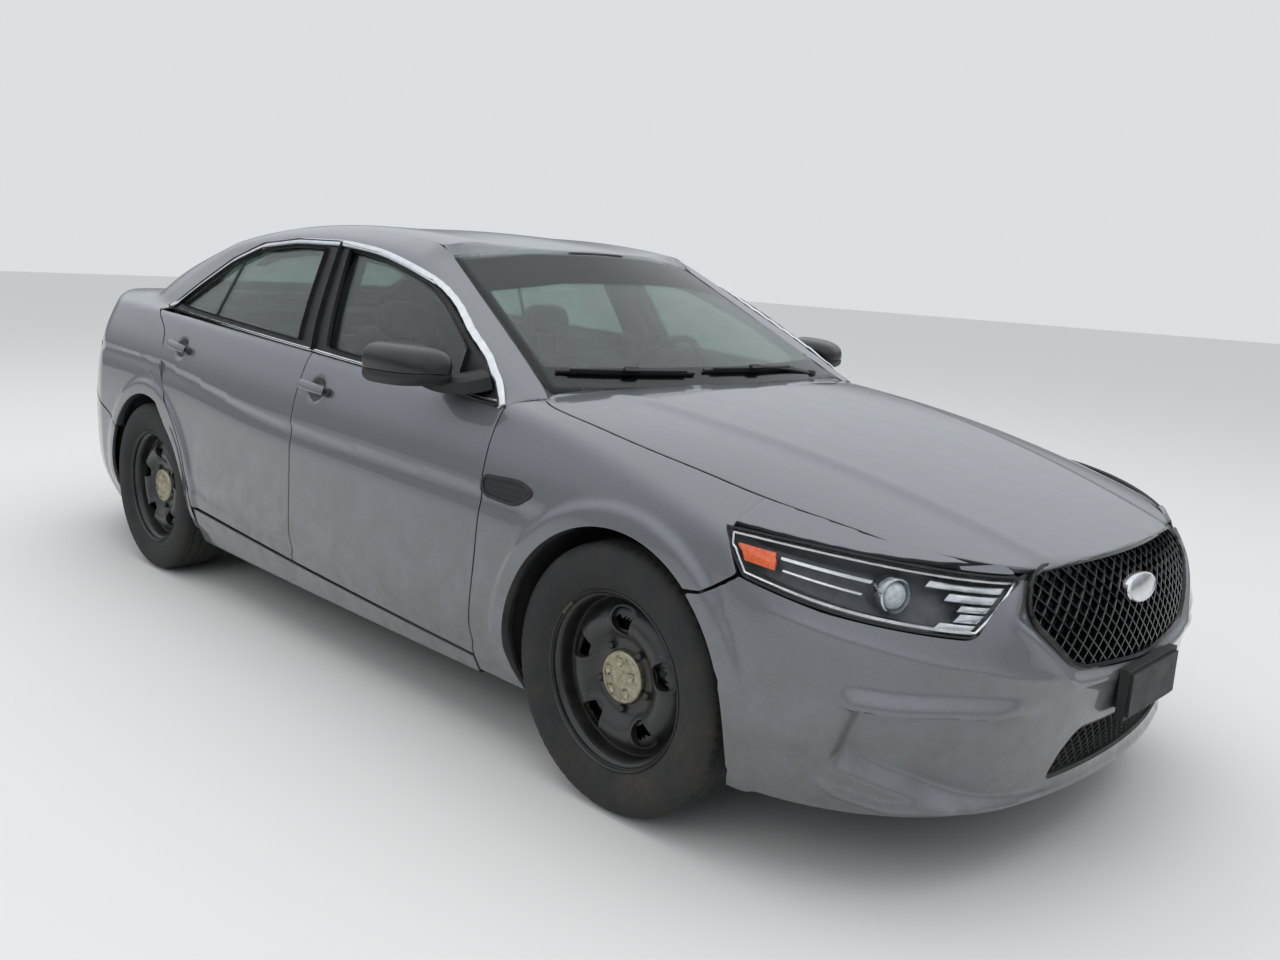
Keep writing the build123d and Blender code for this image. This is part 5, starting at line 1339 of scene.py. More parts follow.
class NOSE_OT_bumpers(bpy.types.Operator):
    """Front and rear bumper skins, grille, intake and badge place"""
    bl_idname = "saloon.bumpers"
    bl_label = "Bumpers and Grille"

    def execute(self, context):
        settings = context.scene.saloon_nose
        paint, primer = FINISHES[PAINT], FINISHES[PRIMER]
        black, gloss = FINISHES["grained polypropylene"], FINISHES["gloss black ABS"]
        points, faces = front_bumper_skin(settings)
        skin_object("front_bumper_skin", points, faces, paint, "car_body", slot="body_paint")
        inner_part("front_bumper", "front_bumper_inner", primer, "car_body", "body_paint", sink=45, reach=14)
        points, faces = rear_bumper_skin(settings)
        skin_object("rear_bumper_skin", points, faces, paint, "car_body", slot="body_paint")
        inner_part("rear_bumper", "rear_bumper_inner", primer, "car_body", "body_paint", sink=30)
        opening = closed_round(GRILLE, 26)
        bars = mesh_bars(opening, settings.mesh_width, settings.mesh_height, 16, 5.5, 7)
        piece("grille_mesh", bars, gloss, "car_body", slot="black_plastic")
        frame_profile = [(-9, -12), (-10, 4), (-4, 8), (5, 6), (9, -12)][::-1]
        rim = outline_on_nose(closed_round([(y * 0.985, 652 + (z - 652) * 0.965) for y, z in GRILLE], 26), 10)
        lower = outline_on_nose(closed_round([(y * 0.985, 322 + (z - 322) * 0.94) for y, z in INTAKE], 16), 10)
        piece("grille_frame", [sweep(rim, frame_profile, (1, 0, 0.15), closed=True)], gloss, "car_body",
              slot="black_plastic", outward=True)
        piece("intake_frame", [sweep(lower, frame_profile, (1, 0, 0), closed=True)], black, "car_body",
              slot="black_plastic", outward=True)
        piece("intake_mesh", mesh_bars(closed_round(INTAKE, 16), 34, 34, 18, 4, 6), black, "car_body",
              slot="black_plastic")
        # Near-black dishes close the grille and intake openings: painted shade for the space behind them.
        shade_backs = []
        for outline, depth in ((GRILLE, 42), (INTAKE, 42)):
            y0, z0 = np.mean(outline, axis=0)
            ring = outline_on_nose(closed_round(outline, 20), depth)
            ring = y_z_spread(ring, (y0, z0), 1.04)
            centre = np.array([end_x(NOSE_TABLE, y0, z0) - depth, y0, z0])
            t = np.linspace(0, 1, 8)[None, :, None]
            shade_backs.append(Sheet(centre * (1 - t) + ring[:, None] * t, wrap_u=True))
        piece("grille_painted_shade_backing", shade_backs, FINISHES["near black painted shade backing"], "car_body", ("grilles",),
              slot="black_plastic", outward=True)
        # Bare badge place: a plain domed oval with a bright rim.
        a = full_turn(64)
        rings_of = []
        for r, out in ((0.0, 16), (0.4, 15.2), (0.8, 12.5), (0.92, 11), (1.0, 13), (1.04, 10), (1.02, 0), (1.0, -12)):
            y, z = 88 * r * np.cos(a), 694 + 34 * r * np.sin(a)
            rings_of.append(np.column_stack([np.full_like(y, end_x(NOSE_TABLE, 0, 694) - 9 + out) - y ** 2 / 5200
                                             - (z - 694) * 0.22, y, z]))
        piece("badge_place", [Sheet(np.stack(rings_of, axis=1), wrap_u=True)], FINISHES["chrome plate"],
              "car_body", slot="black_plastic", outward=True)
        return {"FINISHED"}


def y_z_spread(points, centre, factor):
    """The (y, z) points spread from a centre by a factor."""
    out = points.copy()
    out[:, 1] = centre[0] + (out[:, 1] - centre[0]) * factor
    out[:, 2] = centre[1] + (out[:, 2] - centre[1]) * factor
    return out


# Wheels
CORNERS = [(place_name, hand, x, side) for place_name, x in (("front", FRONT_AXLE), ("rear", REAR_AXLE))
           for hand, side in (("left", 1), ("right", -1))]


def at_corner(sheets, x, side):
    """Wheel pieces worked out about the origin with y outboard, put at one corner of the car."""
    out = []
    for sheet in sheets:
        made = sheet if side > 0 else sheet.mirrored()
        out.append(made.moved(np.eye(3), (x, side * HALF_TRACK, AXLE_Z)))
    return out


def disc_height(r):
    """How far outboard the pressed disc stands at radius r: a bowl, a raised ring and the rim's well."""
    rows = [(60, 47), (84, 46), (100, 47), (114, 56), (130, 68), (148, 74), (166, 72), (182, 62), (196, 48),
            (208, 37), (214, 34)]
    return spline([p[0] for p in rows], [p[1] for p in rows], r)


def slot_edge(angle, shrink=0.0):
    """Radius from the slot's middle, at 152 mm, to its rounded edge in each direction."""
    outline = closed_round([(118, -20), (176, -42), (189, -20), (189, 20), (176, 42), (118, 20)], 13)
    outline[:, 0] -= 152
    angles = np.arctan2(outline[:, 1], outline[:, 0])
    order = np.argsort(angles)
    reach = np.hypot(outline[:, 0], outline[:, 1])[order]
    return np.interp(angle, angles[order], reach, period=2 * math.pi) - shrink


def sector_edge(angle, inner=60.0, outer=213.0, half=math.pi / 5):
    """Distance from the slot's middle to the edge of its fifth of the disc in each direction."""
    cx = 152.0
    dx, dy = np.cos(angle), np.sin(angle)
    best = -cx * dx + np.sqrt(np.maximum((cx * dx) ** 2 - cx ** 2 + outer ** 2, 0))
    under = (cx * dx) ** 2 - cx ** 2 + inner ** 2
    near = -cx * dx - np.sqrt(np.maximum(under, 0))
    best = np.where((under > 0) & (near > 0), np.minimum(best, near), best)
    for sign in (1, -1):
        nx, ny = -math.sin(half) * sign, math.cos(half)
        slant = dx * nx + dy * ny
        reach = -cx * nx / np.where(np.abs(slant) < 1e-9, 1e-9, slant)
        best = np.where(reach > 1, np.minimum(best, reach), best)
    return best


def disc_sheets():
    """Five like sectors of the pressed disc, each a ring of points from its slot's turned-in edge out to
    the edge of its sector."""
    angle = np.linspace(-math.pi, math.pi, 91)[:-1]
    edge, far = slot_edge(angle), sector_edge(angle)
    blend = np.linspace(0, 1, 12)
    r = edge[:, None] * (1 - blend) + far[:, None] * blend
    px, py = 152 + r * np.cos(angle)[:, None], r * np.sin(angle)[:, None]
    radius = np.hypot(px, py)
    swage = 3.2 * np.exp(-((r - edge[:, None] - 7) / 4.0) ** 2)
    out = disc_height(radius) + swage
    wall = []
    for back, grow in ((-20, -1.5), (-9, -1.2), (-2.5, -0.6)):
        rr = edge + grow + 0.6
        qx, qy = 152 + rr * np.cos(angle), rr * np.sin(angle)
        wall.append(np.stack([qx, disc_height(np.hypot(qx, qy)) + back, qy], axis=-1))
    face = np.stack([px, out, py], axis=-1)
    grid = np.concatenate([np.stack(wall, axis=1), face], axis=1)
    sheets = []
    for k in range(5):
        a = math.radians(90 + 72 * k)
        turn = [[math.cos(a), 0, -math.sin(a)], [0, 1, 0], [math.sin(a), 0, math.cos(a)]]
        sheets.append(Sheet(grid @ np.array(turn).T, wrap_u=True))
    return sheets


def rim_sheets():
    """Rim from the disc's edge over the well and round the outer flange, turned about the axle."""
    profile = [(211, 36), (213, 37), (215, 44), (216, 62), (218, 78), (224, 87), (231, 91), (236, 94), (239.5, 98),
               (240.5, 102), (238.5, 104), (236, 102.4), (234.5, 97)]
    return [Sheet(turned(profile, 72), wrap_u=True, flip=True)]


def cap_sheets():
    """Centre cap: a shallow dome with a rolled rim, five dimples and a raised middle."""
    angle = full_turn(90)[:, None]
    r = np.concatenate([np.linspace(0.01, 70, 30), [72.5, 74, 74.5, 74.0]])[None, :]
    dome = 71 - 11 * (r / 74) ** 2.4
    dimple = np.zeros((90, r.shape[1]))
    for k in range(5):
        a = math.radians(90 + 72 * k)
        d = np.hypot(r * np.cos(angle) - 43 * math.cos(a), r * np.sin(angle) - 43 * math.sin(a))
        dimple += -7.5 * np.exp(-(d / 10.5) ** 4) + 2.0 * np.exp(-((d - 13.5) / 2.6) ** 2)
    spokes = 1.8 * np.exp(-((r - 20) / 6.0) ** 2)
    rimmed = np.where(r > 70.5, -(r - 70.5) ** 1.7, 0) + 1.6 * np.exp(-((r - 66) / 3.0) ** 2)
    out = dome + dimple + spokes + rimmed
    out[:, -1] = 40
    return [Sheet(np.stack([r * np.cos(angle), out, r * np.sin(angle)], axis=-1), wrap_u=True, flip=True)]


def nut_sheets():
    """Studs' nuts round the cap: small domed hexagons."""
    sheets = []
    for k in range(5):
        a = math.radians(54 + 72 * k)
        t = full_turn(12)
        rows = []
        for rad, out in ((10.5, 40), (10.5, 52), (9, 57), (5, 60), (0.01, 61)):
            lobe = rad * (1 + 0.06 * np.cos(6 * t))
            rows.append(np.column_stack([89 * math.cos(a) + lobe * np.cos(t), np.full(12, float(out)),
                                         89 * math.sin(a) + lobe * np.sin(t)]))
        sheets.append(Sheet(np.stack(rows, axis=1), wrap_u=True, flip=True))
    return sheets


# Raised rings on the tyre's sidewall: height, radius and width
SIDEWALL_BANDS = ((0.9, 262, 2.0), (0.7, 322, 1.4), (0.7, 288, 1.2))


def tyre_sheets(settings):
    """Tyre section turned about the axle, with grooves round it, blocks cut across the shoulders and a
    rim-guard rib and raised bands on the walls."""
    knots = [(231, 95), (240, 99), (246, 103), (256, 109), (272, 117), (292, 121.5), (312, 122), (330, 119.5),
             (343, 114), (352, 107), (358, 98), (361.2, 86), (362.4, 60), (363, 30), (363, 0)]
    run = np.concatenate([[0], np.cumsum(np.hypot(*np.diff(np.array(knots), axis=0).T))])
    even = np.linspace(0, run[-1], 31)
    outer = spline(run, np.array(knots), even)
    outer[:, 0] = np.minimum(outer[:, 0], 363)
    section = np.vstack([outer, (outer * (1, -1))[::-1][1:]])
    count = 288
    angle = full_turn(count)[:, None]
    r, a = section[None, :, 0], section[None, :, 1]
    tread = ease((r - 354) / 5)
    grooves = np.zeros_like(a)
    for centre in (-66, -24, 24, 66):
        grooves = np.maximum(grooves, np.exp(-((a - centre) / 4.6) ** 4))
    phase = angle * 72 / 2 + 0.012 * a * np.sign(a)
    cross = ease((np.cos(2 * phase) - 0.72) / 0.2) * ease((np.abs(a) - 72) / 6)
    middle = ease((np.cos(4 * angle * 18 + a * 0.05) - 0.8) / 0.15) * ease((22 - np.abs(a)) / 4) * 0.6
    depth = settings.tread_depth * tread * np.maximum(np.maximum(grooves, cross), middle)
    shoulder = 1.6 * ease((np.cos(72 * angle) - 0.3) / 0.4) * np.exp(-((r - 349) / 5.0) ** 2)
    bands = [height * np.exp(-((r - at) / width) ** 2) for height, at, width in SIDEWALL_BANDS]
    band = bands[0] + bands[1] + bands[2]
    rr = r - depth - 0.15
    aa = a + np.sign(a) * (np.minimum(band, 122.3 - np.abs(a)) - shoulder) * (np.abs(a) > 80)
    return [Sheet(np.stack([rr * np.cos(angle), aa + 0 * angle, rr * np.sin(angle)], axis=-1), wrap_u=True,
                  wrap_v=False, flip=True)]


class WHEEL_PG_settings(bpy.types.PropertyGroup):
    tread_depth: bpy.props.FloatProperty(name="Tread depth", description="Depth of the tyre's grooves, mm",
                                         default=6.0, min=1, max=9)
    weight_length: bpy.props.FloatProperty(name="Balance weight",
                                           description="Length of the balance weight on the front right rim, mm",
                                           default=52.0, min=10, max=90)


class WHEEL_OT_wheels(bpy.types.Operator):
    """Pressed-steel wheels, centre caps, nuts, tyres and the balance weight"""
    bl_idname = "saloon.wheels"
    bl_label = "Wheels and Tyres"

    def execute(self, context):
        settings = context.scene.saloon_wheels
        enamel, rubber = FINISHES["satin black wheel enamel"], FINISHES["weathered tyre rubber"]
        disc, rim, cap, nuts, tyre = disc_sheets(), rim_sheets(), cap_sheets(), nut_sheets(), tyre_sheets(settings)
        for place_name, hand, x, side in CORNERS:
            body = f"{place_name}_wheel_{hand}_body"
            piece(f"{place_name}_wheel_{hand}_face", at_corner(disc + rim, x, side), enamel, body,
                  slot="wheel_black", weld=0.3, sharp=50)
            piece(f"{place_name}_wheel_{hand}_cap", at_corner(cap, x, side), FINISHES["dulled plated steel"], body,
                  slot="wheel_black")
            piece(f"{place_name}_wheel_{hand}_nuts", at_corner(nuts, x, side), enamel, body, slot="wheel_black")
            piece(f"{place_name}_tyre_{hand}_tread", at_corner(tyre, x, side), rubber, body,
                  (f"{place_name}_tyre_{hand}",), "tyre_rubber", sharp=45)
            self.inner_wheel(f"{place_name}_wheel_{hand}", body, x, side)
        a = math.radians(138)
        half = settings.weight_length / 2 / 232
        t = np.linspace(a - half, a + half, 14)
        path = np.column_stack([232 * np.cos(t), np.full(14, 101.0), 232 * np.sin(t)])
        up = np.column_stack([-0.3 * np.cos(t), np.ones(14), -0.3 * np.sin(t)])
        strip = sweep(path, [(-5, -3), (-5, 2), (-2, 4.5), (2, 4.5), (5, 2), (5, -3)], up)
        piece("balance_weight", at_corner([strip], FRONT_AXLE, -1), FINISHES["sand cast metal"],
              "front_wheel_right_body", slot="cast_metal", outward=True)
        return {"FINISHED"}

    def inner_wheel(self, node, body, x, side):
        """What is behind the new face: the CAD wheel without the parts that stand outboard of its disc."""
        mesh = NODES[node].data.copy()
        work = bmesh.new()
        work.from_mesh(mesh)
        bmesh.ops.remove_doubles(work, verts=work.verts, dist=2e-5)
        doomed = []
        for face in work.faces:
            centre = face.calc_center_median() * 1000
            out = side * centre.y - HALF_TRACK
            radius = math.hypot(centre.x - x, centre.z - AXLE_Z)
            on_disc = out > 28 and radius < 214 and face.normal.y * side > -0.3
            if on_disc or (out > 44 and radius < 100) or out > 60:
                doomed.append(face)
        bmesh.ops.delete(work, geom=doomed, context="FACES")
        work.to_mesh(mesh)
        work.free()
        place(f"{node}_inner", mesh, FINISHES["satin black wheel enamel"], body, (node,), "wheel_black", 40.0)


# Lamps
def lamp_grid(surface_edges):
    """Function of (u, v, depth) over the lamp's opening: a Coons patch on the body, and depth behind it.
    u runs from the inner end to the outer, v from the lower edge to the upper."""
    rows, columns = 90, 50
    chart = patch(*surface_edges, rows, columns)
    points = on_ring(chart[..., 0], chart[..., 1])
    facing = normals(points)
    if facing[45, 25, 0] * points[45, 25, 0] < 0:
        facing = -facing

    def at(u, v, depth):
        u, v, depth = paired(u, v, depth)
        row, column = np.clip(u, -0.02, 1.02) * (rows - 1), np.clip(v, -0.02, 1.02) * (columns - 1)
        return table_read(points, row, column) - table_read(facing, row, column) * depth[..., None]
    return at


def head_lamp():
    """Surface reader of the left headlamp's opening."""
    low = ring_line(rounded([(2400, 655), (2150, 697), (1966, 744)], 60))
    high = ring_line(rounded([(2411, 770), (2287, 797), (2124, 824), (1961, 841), (1898, 844)], 60))
    inner = np.linspace(low[0], high[0], 12)
    outer = ring_line(rounded([(1966, 744), (1930, 790), (1898, 844)], 20))
    return lamp_grid((low, high, inner, outer))


def surface_block(at, u0, u1, v0, v1, front, back, nu=16, nv=10, bulge=0.0):
    """Closed block in the lamp: a front face that may bulge and walls down to its back."""
    u, v = np.linspace(u0, u1, nu)[:, None], np.linspace(v0, v1, nv)[None, :]
    swell = bulge * np.sin(np.pi * np.linspace(0, 1, nu))[:, None] * np.sin(np.pi * np.linspace(0, 1, nv))[None, :]
    face = at(u, v, front - swell)
    rim_u = np.concatenate([np.full(nv, u0), u[:, 0], np.full(nv, u1), u[::-1, 0]])
    rim_v = np.concatenate([v[0], np.full(nu, v1), v[0, ::-1], np.full(nu, v0)])
    wall = np.stack([at(rim_u, rim_v, d) for d in (front, (front + back) / 2, back)], axis=1)
    return [Sheet(face), Sheet(wall, wrap_u=False)]


class LAMP_PG_settings(bpy.types.PropertyGroup):
    bowl_depth: bpy.props.FloatProperty(name="Bowl depth",
                                        description="Depth of the headlamp's housing behind its cover, mm",
                                        default=62.0, min=20, max=90)


class LAMP_OT_lamps(bpy.types.Operator):
    """Headlamps with projector, reflectors and cover; tail lamps"""
    bl_idname = "saloon.lamps"
    bl_label = "Lamps"

    def execute(self, context):
        depth = context.scene.saloon_lamps.bowl_depth
        chrome = FINISHES["metallised reflector"]
        at = head_lamp()
        u = np.linspace(0, 1, 60)[:, None]
        v = np.linspace(0, 1, 30)[None, :]
        cover = Sheet(at(u, v, 1.5 - 5 * np.sin(np.pi * v) * np.sin(np.pi * u) ** 0.5))
        from_rim = np.minimum(np.minimum(u, 1 - u) * 1.6, np.minimum(v, 1 - v))
        bowl_depth = depth * np.minimum(1, 6 * from_rim) ** 0.6 + 4
        bowl = Sheet(at(u, v, bowl_depth))
        edge_u = np.concatenate([np.linspace(0, 1, 60), np.ones(20), np.linspace(1, 0, 60), np.zeros(20)])
        edge_v = np.concatenate([np.full(60, 0.0), np.linspace(0, 1, 20), np.full(60, 1.0), np.linspace(1, 0, 20)])
        centre_u, centre_v = (edge_u - 0.5) * 0.975 + 0.5, (edge_v - 0.5) * 0.86 + 0.5
        path = at(centre_u, centre_v, 9.0)
        lift = at(centre_u, centre_v, 0.0) - at(centre_u, centre_v, 20.0)
        lift /= np.linalg.norm(lift, axis=1, keepdims=True)
        keep = np.linalg.norm(np.diff(path, axis=0, append=path[:1]), axis=1) > 0.5
        rim = sweep(path[keep], [(-4, -6), (-4, 2), (0, 4), (4, 2), (4, -6)][::-1], lift[keep], closed=True)
        seal_path = at((edge_u - 0.5) * 1.004 + 0.5, (edge_v - 0.5) * 1.02 + 0.5, 2.5)
        seal = sweep(seal_path[keep], [(-2.6, -8), (-2.6, 1), (2.6, 1), (2.6, -8)][::-1], lift[keep], closed=True)
        amber = surface_block(at, 0.83, 0.965, 0.36, 0.72, 12, 30, bulge=3)
        blade = surface_block(at, 0.47, 0.81, 0.62, 0.68, 20, 34)
        lower_blade = surface_block(at, 0.47, 0.80, 0.40, 0.44, 26, 40)
        steps = []
        for u0, u1, v0, v1, d in [(0.03, 0.15, 0.10, 0.20, 16), (0.03, 0.11, 0.24, 0.38, 20),
                                  (0.03, 0.13, 0.42, 0.52, 22), (0.03, 0.20, 0.58, 0.70, 24),
                                  (0.03, 0.30, 0.76, 0.86, 22)]:
            steps += surface_block(at, u0, u1, v0, v1, d, d + 26, bulge=2)
        middle = at(0.375, 0.53, 30.0)
        way = np.array([0.93, 0.36, 0.05]) if middle[1] > 0 else np.array([0.93, -0.36, 0.05])
        way /= np.linalg.norm(way)
        right = np.cross(way, (0, 0, 1))
        right /= np.linalg.norm(right)
        over = np.cross(right, way)
        t = full_turn(48)

        def ring_of(profile):
            rows = [middle + way * o + r * (np.cos(t)[:, None] * right + np.sin(t)[:, None] * over)
                    for r, o in profile]
            return Sheet(np.stack(rows, axis=1), wrap_u=True)
        shroud = ring_of([(42, -30), (44, 0), (41, 14), (37, 16), (35, 10), (33, -4)])
        lens = ring_of([(33, 0), (31, 8), (25, 15), (15, 20), (6, 22), (0.01, 22.4)])
        for hand, turned_over in HANDS:
            sided = one_side(turned_over)
            piece(f"headlamp_{hand}_bowl", sided([bowl]), FINISHES["satin grey lamp housing"], "car_body",
                  ("headlamps",) if not turned_over else (), "lamp_clear", outward=True)
            piece(f"headlamp_{hand}_rim", sided([rim]), chrome, "car_body", slot="lamp_clear", outward=True)
            piece(f"headlamp_{hand}_seal", sided([seal]), FINISHES["grained polypropylene"], "car_body",
                  slot="black_plastic", outward=True)
            piece(f"headlamp_{hand}_side_reflector", sided(amber), FINISHES["amber prism acrylic"], "car_body",
                  slot="lamp_clear", outward=True)
            piece(f"headlamp_{hand}_reflectors", sided(blade + lower_blade + steps), chrome, "car_body",
                  slot="lamp_clear", outward=True)
            piece(f"headlamp_{hand}_projector", sided([shroud]), chrome, "car_body", slot="lamp_clear", outward=True)
            # The lens's pale finish paints the glow of the reflector behind it.
            piece(f"headlamp_{hand}_projector_lens", sided([lens]), FINISHES["ground projector glass with painted glow"], "car_body",
                  slot="lamp_clear", outward=True)
            piece(f"headlamp_{hand}_cover", sided([cover]), FINISHES["clear polycarbonate"], "car_body",
                  slot="lamp_clear")
        self.tail_lamps()
        return {"FINISHED"}

    def tail_lamps(self):
        """Tail lamps: red skins round the corners with three dark bars over each."""
        low = ring_line([(-2222, 781), (-2470, 781)], 10)
        low = np.vstack([low, [(ring_at(781, y=566, front=False), 781)]])
        high = ring_line([(-2210, 1008), (-2440, 1004)], 10)
        high = np.vstack([high, [(ring_at(1002, y=566, front=False), 1002)]])
        front = ring_line(rounded([(-2222, 781), (-2126, 938), (-2210, 1008)], 20))
        back = np.linspace(low[-1], high[-1], 12)
        sheet = panel((low, high, front, back), 60, 40, on_ring,
                      lambda x, y, z: 3 + 3 * np.sin(np.clip((z - 781) / 222, 0, 1) * math.pi), (14, 14, 14, 14))
        grid = lamp_grid((low, high, front, back))
        bars = []
        for v in (0.3, 0.5, 0.7):
            bars += surface_block(grid, 0.25, 0.97, v - 0.012, v + 0.012, -6.5, 4, nu=30)
        for hand, turned_over in HANDS:
            sided = one_side(turned_over)
            piece(f"tail_lamp_{hand}_lens", sided([Sheet(sheet)]), FINISHES["red lens acrylic"], "car_body",
                  ("tail_lamps",) if not turned_over else (), "lamp_red")
            piece(f"tail_lamp_{hand}_bars", sided(bars), FINISHES["gloss black ABS"], "car_body", slot="lamp_red",
                  outward=True)


# Windows and trim
SCREEN_TABLE, BACK_TABLE = end_table(CAB_RING, True), end_table(CAB_RING, False)
LIGHT_FRONT = [(800, 1019), (800, 1154), *EDGE_FRONT[5:], (-110, 1440), (18, 1061), (0, 1062), (600, 1030)]
LIGHT_REAR = [(-135, 1068), (-220, 1446), (-470, 1448), (-747, 1425), (-972, 1358), (-1189, 1254), (-1423, 1129),
              (-1100, 1112), (-600, 1090)]
FRAME_FRONT = [*[(x - 9, z - 10) for x, z in EDGE_FRONT], (-151, 1437), (-53, 1064), (0, 1061), (600, 1029)]
FRAME_REAR = [(-59, 1065), (-157, 1442), (-470, 1444), (-746, 1421), (-970, 1354), (-1187, 1250), (-1416, 1127),
              (-1100, 1111), (-600, 1089)]


def on_screen(y, z, front=True):
    """Points of the windscreen or rear window at half width y and height z."""
    table = SCREEN_TABLE if front else BACK_TABLE
    x = table_read(table, (z - CAB_START) / LEVEL_STEP, np.abs(y) / WIDTH_STEP)
    return np.stack([x, y, z], axis=-1)


def on_side(x, z):
    """Points of the cabin's left side in side view."""
    half = table_read(CAB_HALF, (x - SLICE_START) / SLICE_STEP, (z - CAB_START) / LEVEL_STEP)
    return np.stack([x, half, z], axis=-1)


def eased_in(points, amount):
    """Points moved inward along the surface's own normal."""
    facing = normals(points)
    middle = facing[facing.shape[0] // 2, facing.shape[1] // 2]
    centre = points[points.shape[0] // 2, points.shape[1] // 2] - (0, 0, 900)
    return points - facing * amount * np.sign(np.dot(middle, centre * (1, 1, 0.2)))


def thickened(made, thickness):
    """Gives a pane its thickness in mm, inwards."""
    solid = made.modifiers.new("thickness", "SOLIDIFY")
    solid.thickness, solid.offset = thickness / 1000.0, -1.0


def screen_grid(front, rows=24, columns=48):
    """Grid of the windscreen or rear window: s across, t up, between its lower and its upper line."""
    half = WINDSCREEN if front else BACK_WINDOW
    top = half[:-1]
    low_y, low_z = half[-1]
    foot_z = [(0, low_z - 16), (low_y, low_z - 12)] if front else [(0, low_z - 22), (low_y, low_z - 14)]
    s, t = np.linspace(-1, 1, columns)[:, None], np.linspace(0, 1, rows)[None, :]
    wide = low_y + (top[-1][0] - low_y) * t
    y = s * wide
    z_top = np.interp(np.abs(y), [p[0] for p in top], [p[1] for p in top])
    z_low = np.interp(np.abs(y), [p[0] for p in foot_z], [p[1] for p in foot_z])
    return on_screen(y, z_low + (z_top - z_low) * t, front)


WINDSCREEN = [(0, 1460), (300, 1452), (577, 1419), (724, 1052)]
BACK_WINDOW = [(0, 1443), (300, 1435), (547, 1413), (602, 1205)]


def side_region(outline, holes, pitch=6.0):
    """Cut grid in side view: inside the outline, outside every hole (polygon, growth)."""
    p = np.array(outline, float)
    x = np.arange(p[:, 0].min() - pitch, p[:, 0].max() + 2 * pitch, pitch)
    z = np.arange(p[:, 1].min() - pitch, p[:, 1].max() + 2 * pitch, pitch)
    chart = np.stack(np.meshgrid(x, z, indexing="ij"), axis=-1)
    d = -outline_distance(chart, outline)
    for hole, grow in holes:
        d = np.minimum(d, outline_distance(chart, hole) - grow)
    return cut_faces(chart, d)


def strip_run(line, out=1.5):
    """Points of a side-view line on the cabin's side with the way outward at each."""
    dense = resample(rounded(line, 40), 14)
    base, smooth = side_place(dense[:, 0], dense[:, 1])
    for _ in range(14):
        smooth[1:-1] = (smooth[:-2] + smooth[1:-1] * 2 + smooth[2:]) / 4
        base[1:-1, 1] = (base[:-2, 1] + base[1:-1, 1] * 2 + base[2:, 1]) / 4
    smooth /= np.linalg.norm(smooth, axis=1, keepdims=True)
    return base + smooth * out, smooth


class WINDOW_PG_settings(bpy.types.PropertyGroup):
    trim_width: bpy.props.FloatProperty(name="Bright trim",
                                        description="Width of the bright strip over the side windows, mm",
                                        default=27.0, min=6, max=36)
    frit_width: bpy.props.FloatProperty(name="Black border",
                                        description="Width of the black fired border of the windscreen, mm",
                                        default=34.0, min=10, max=80)


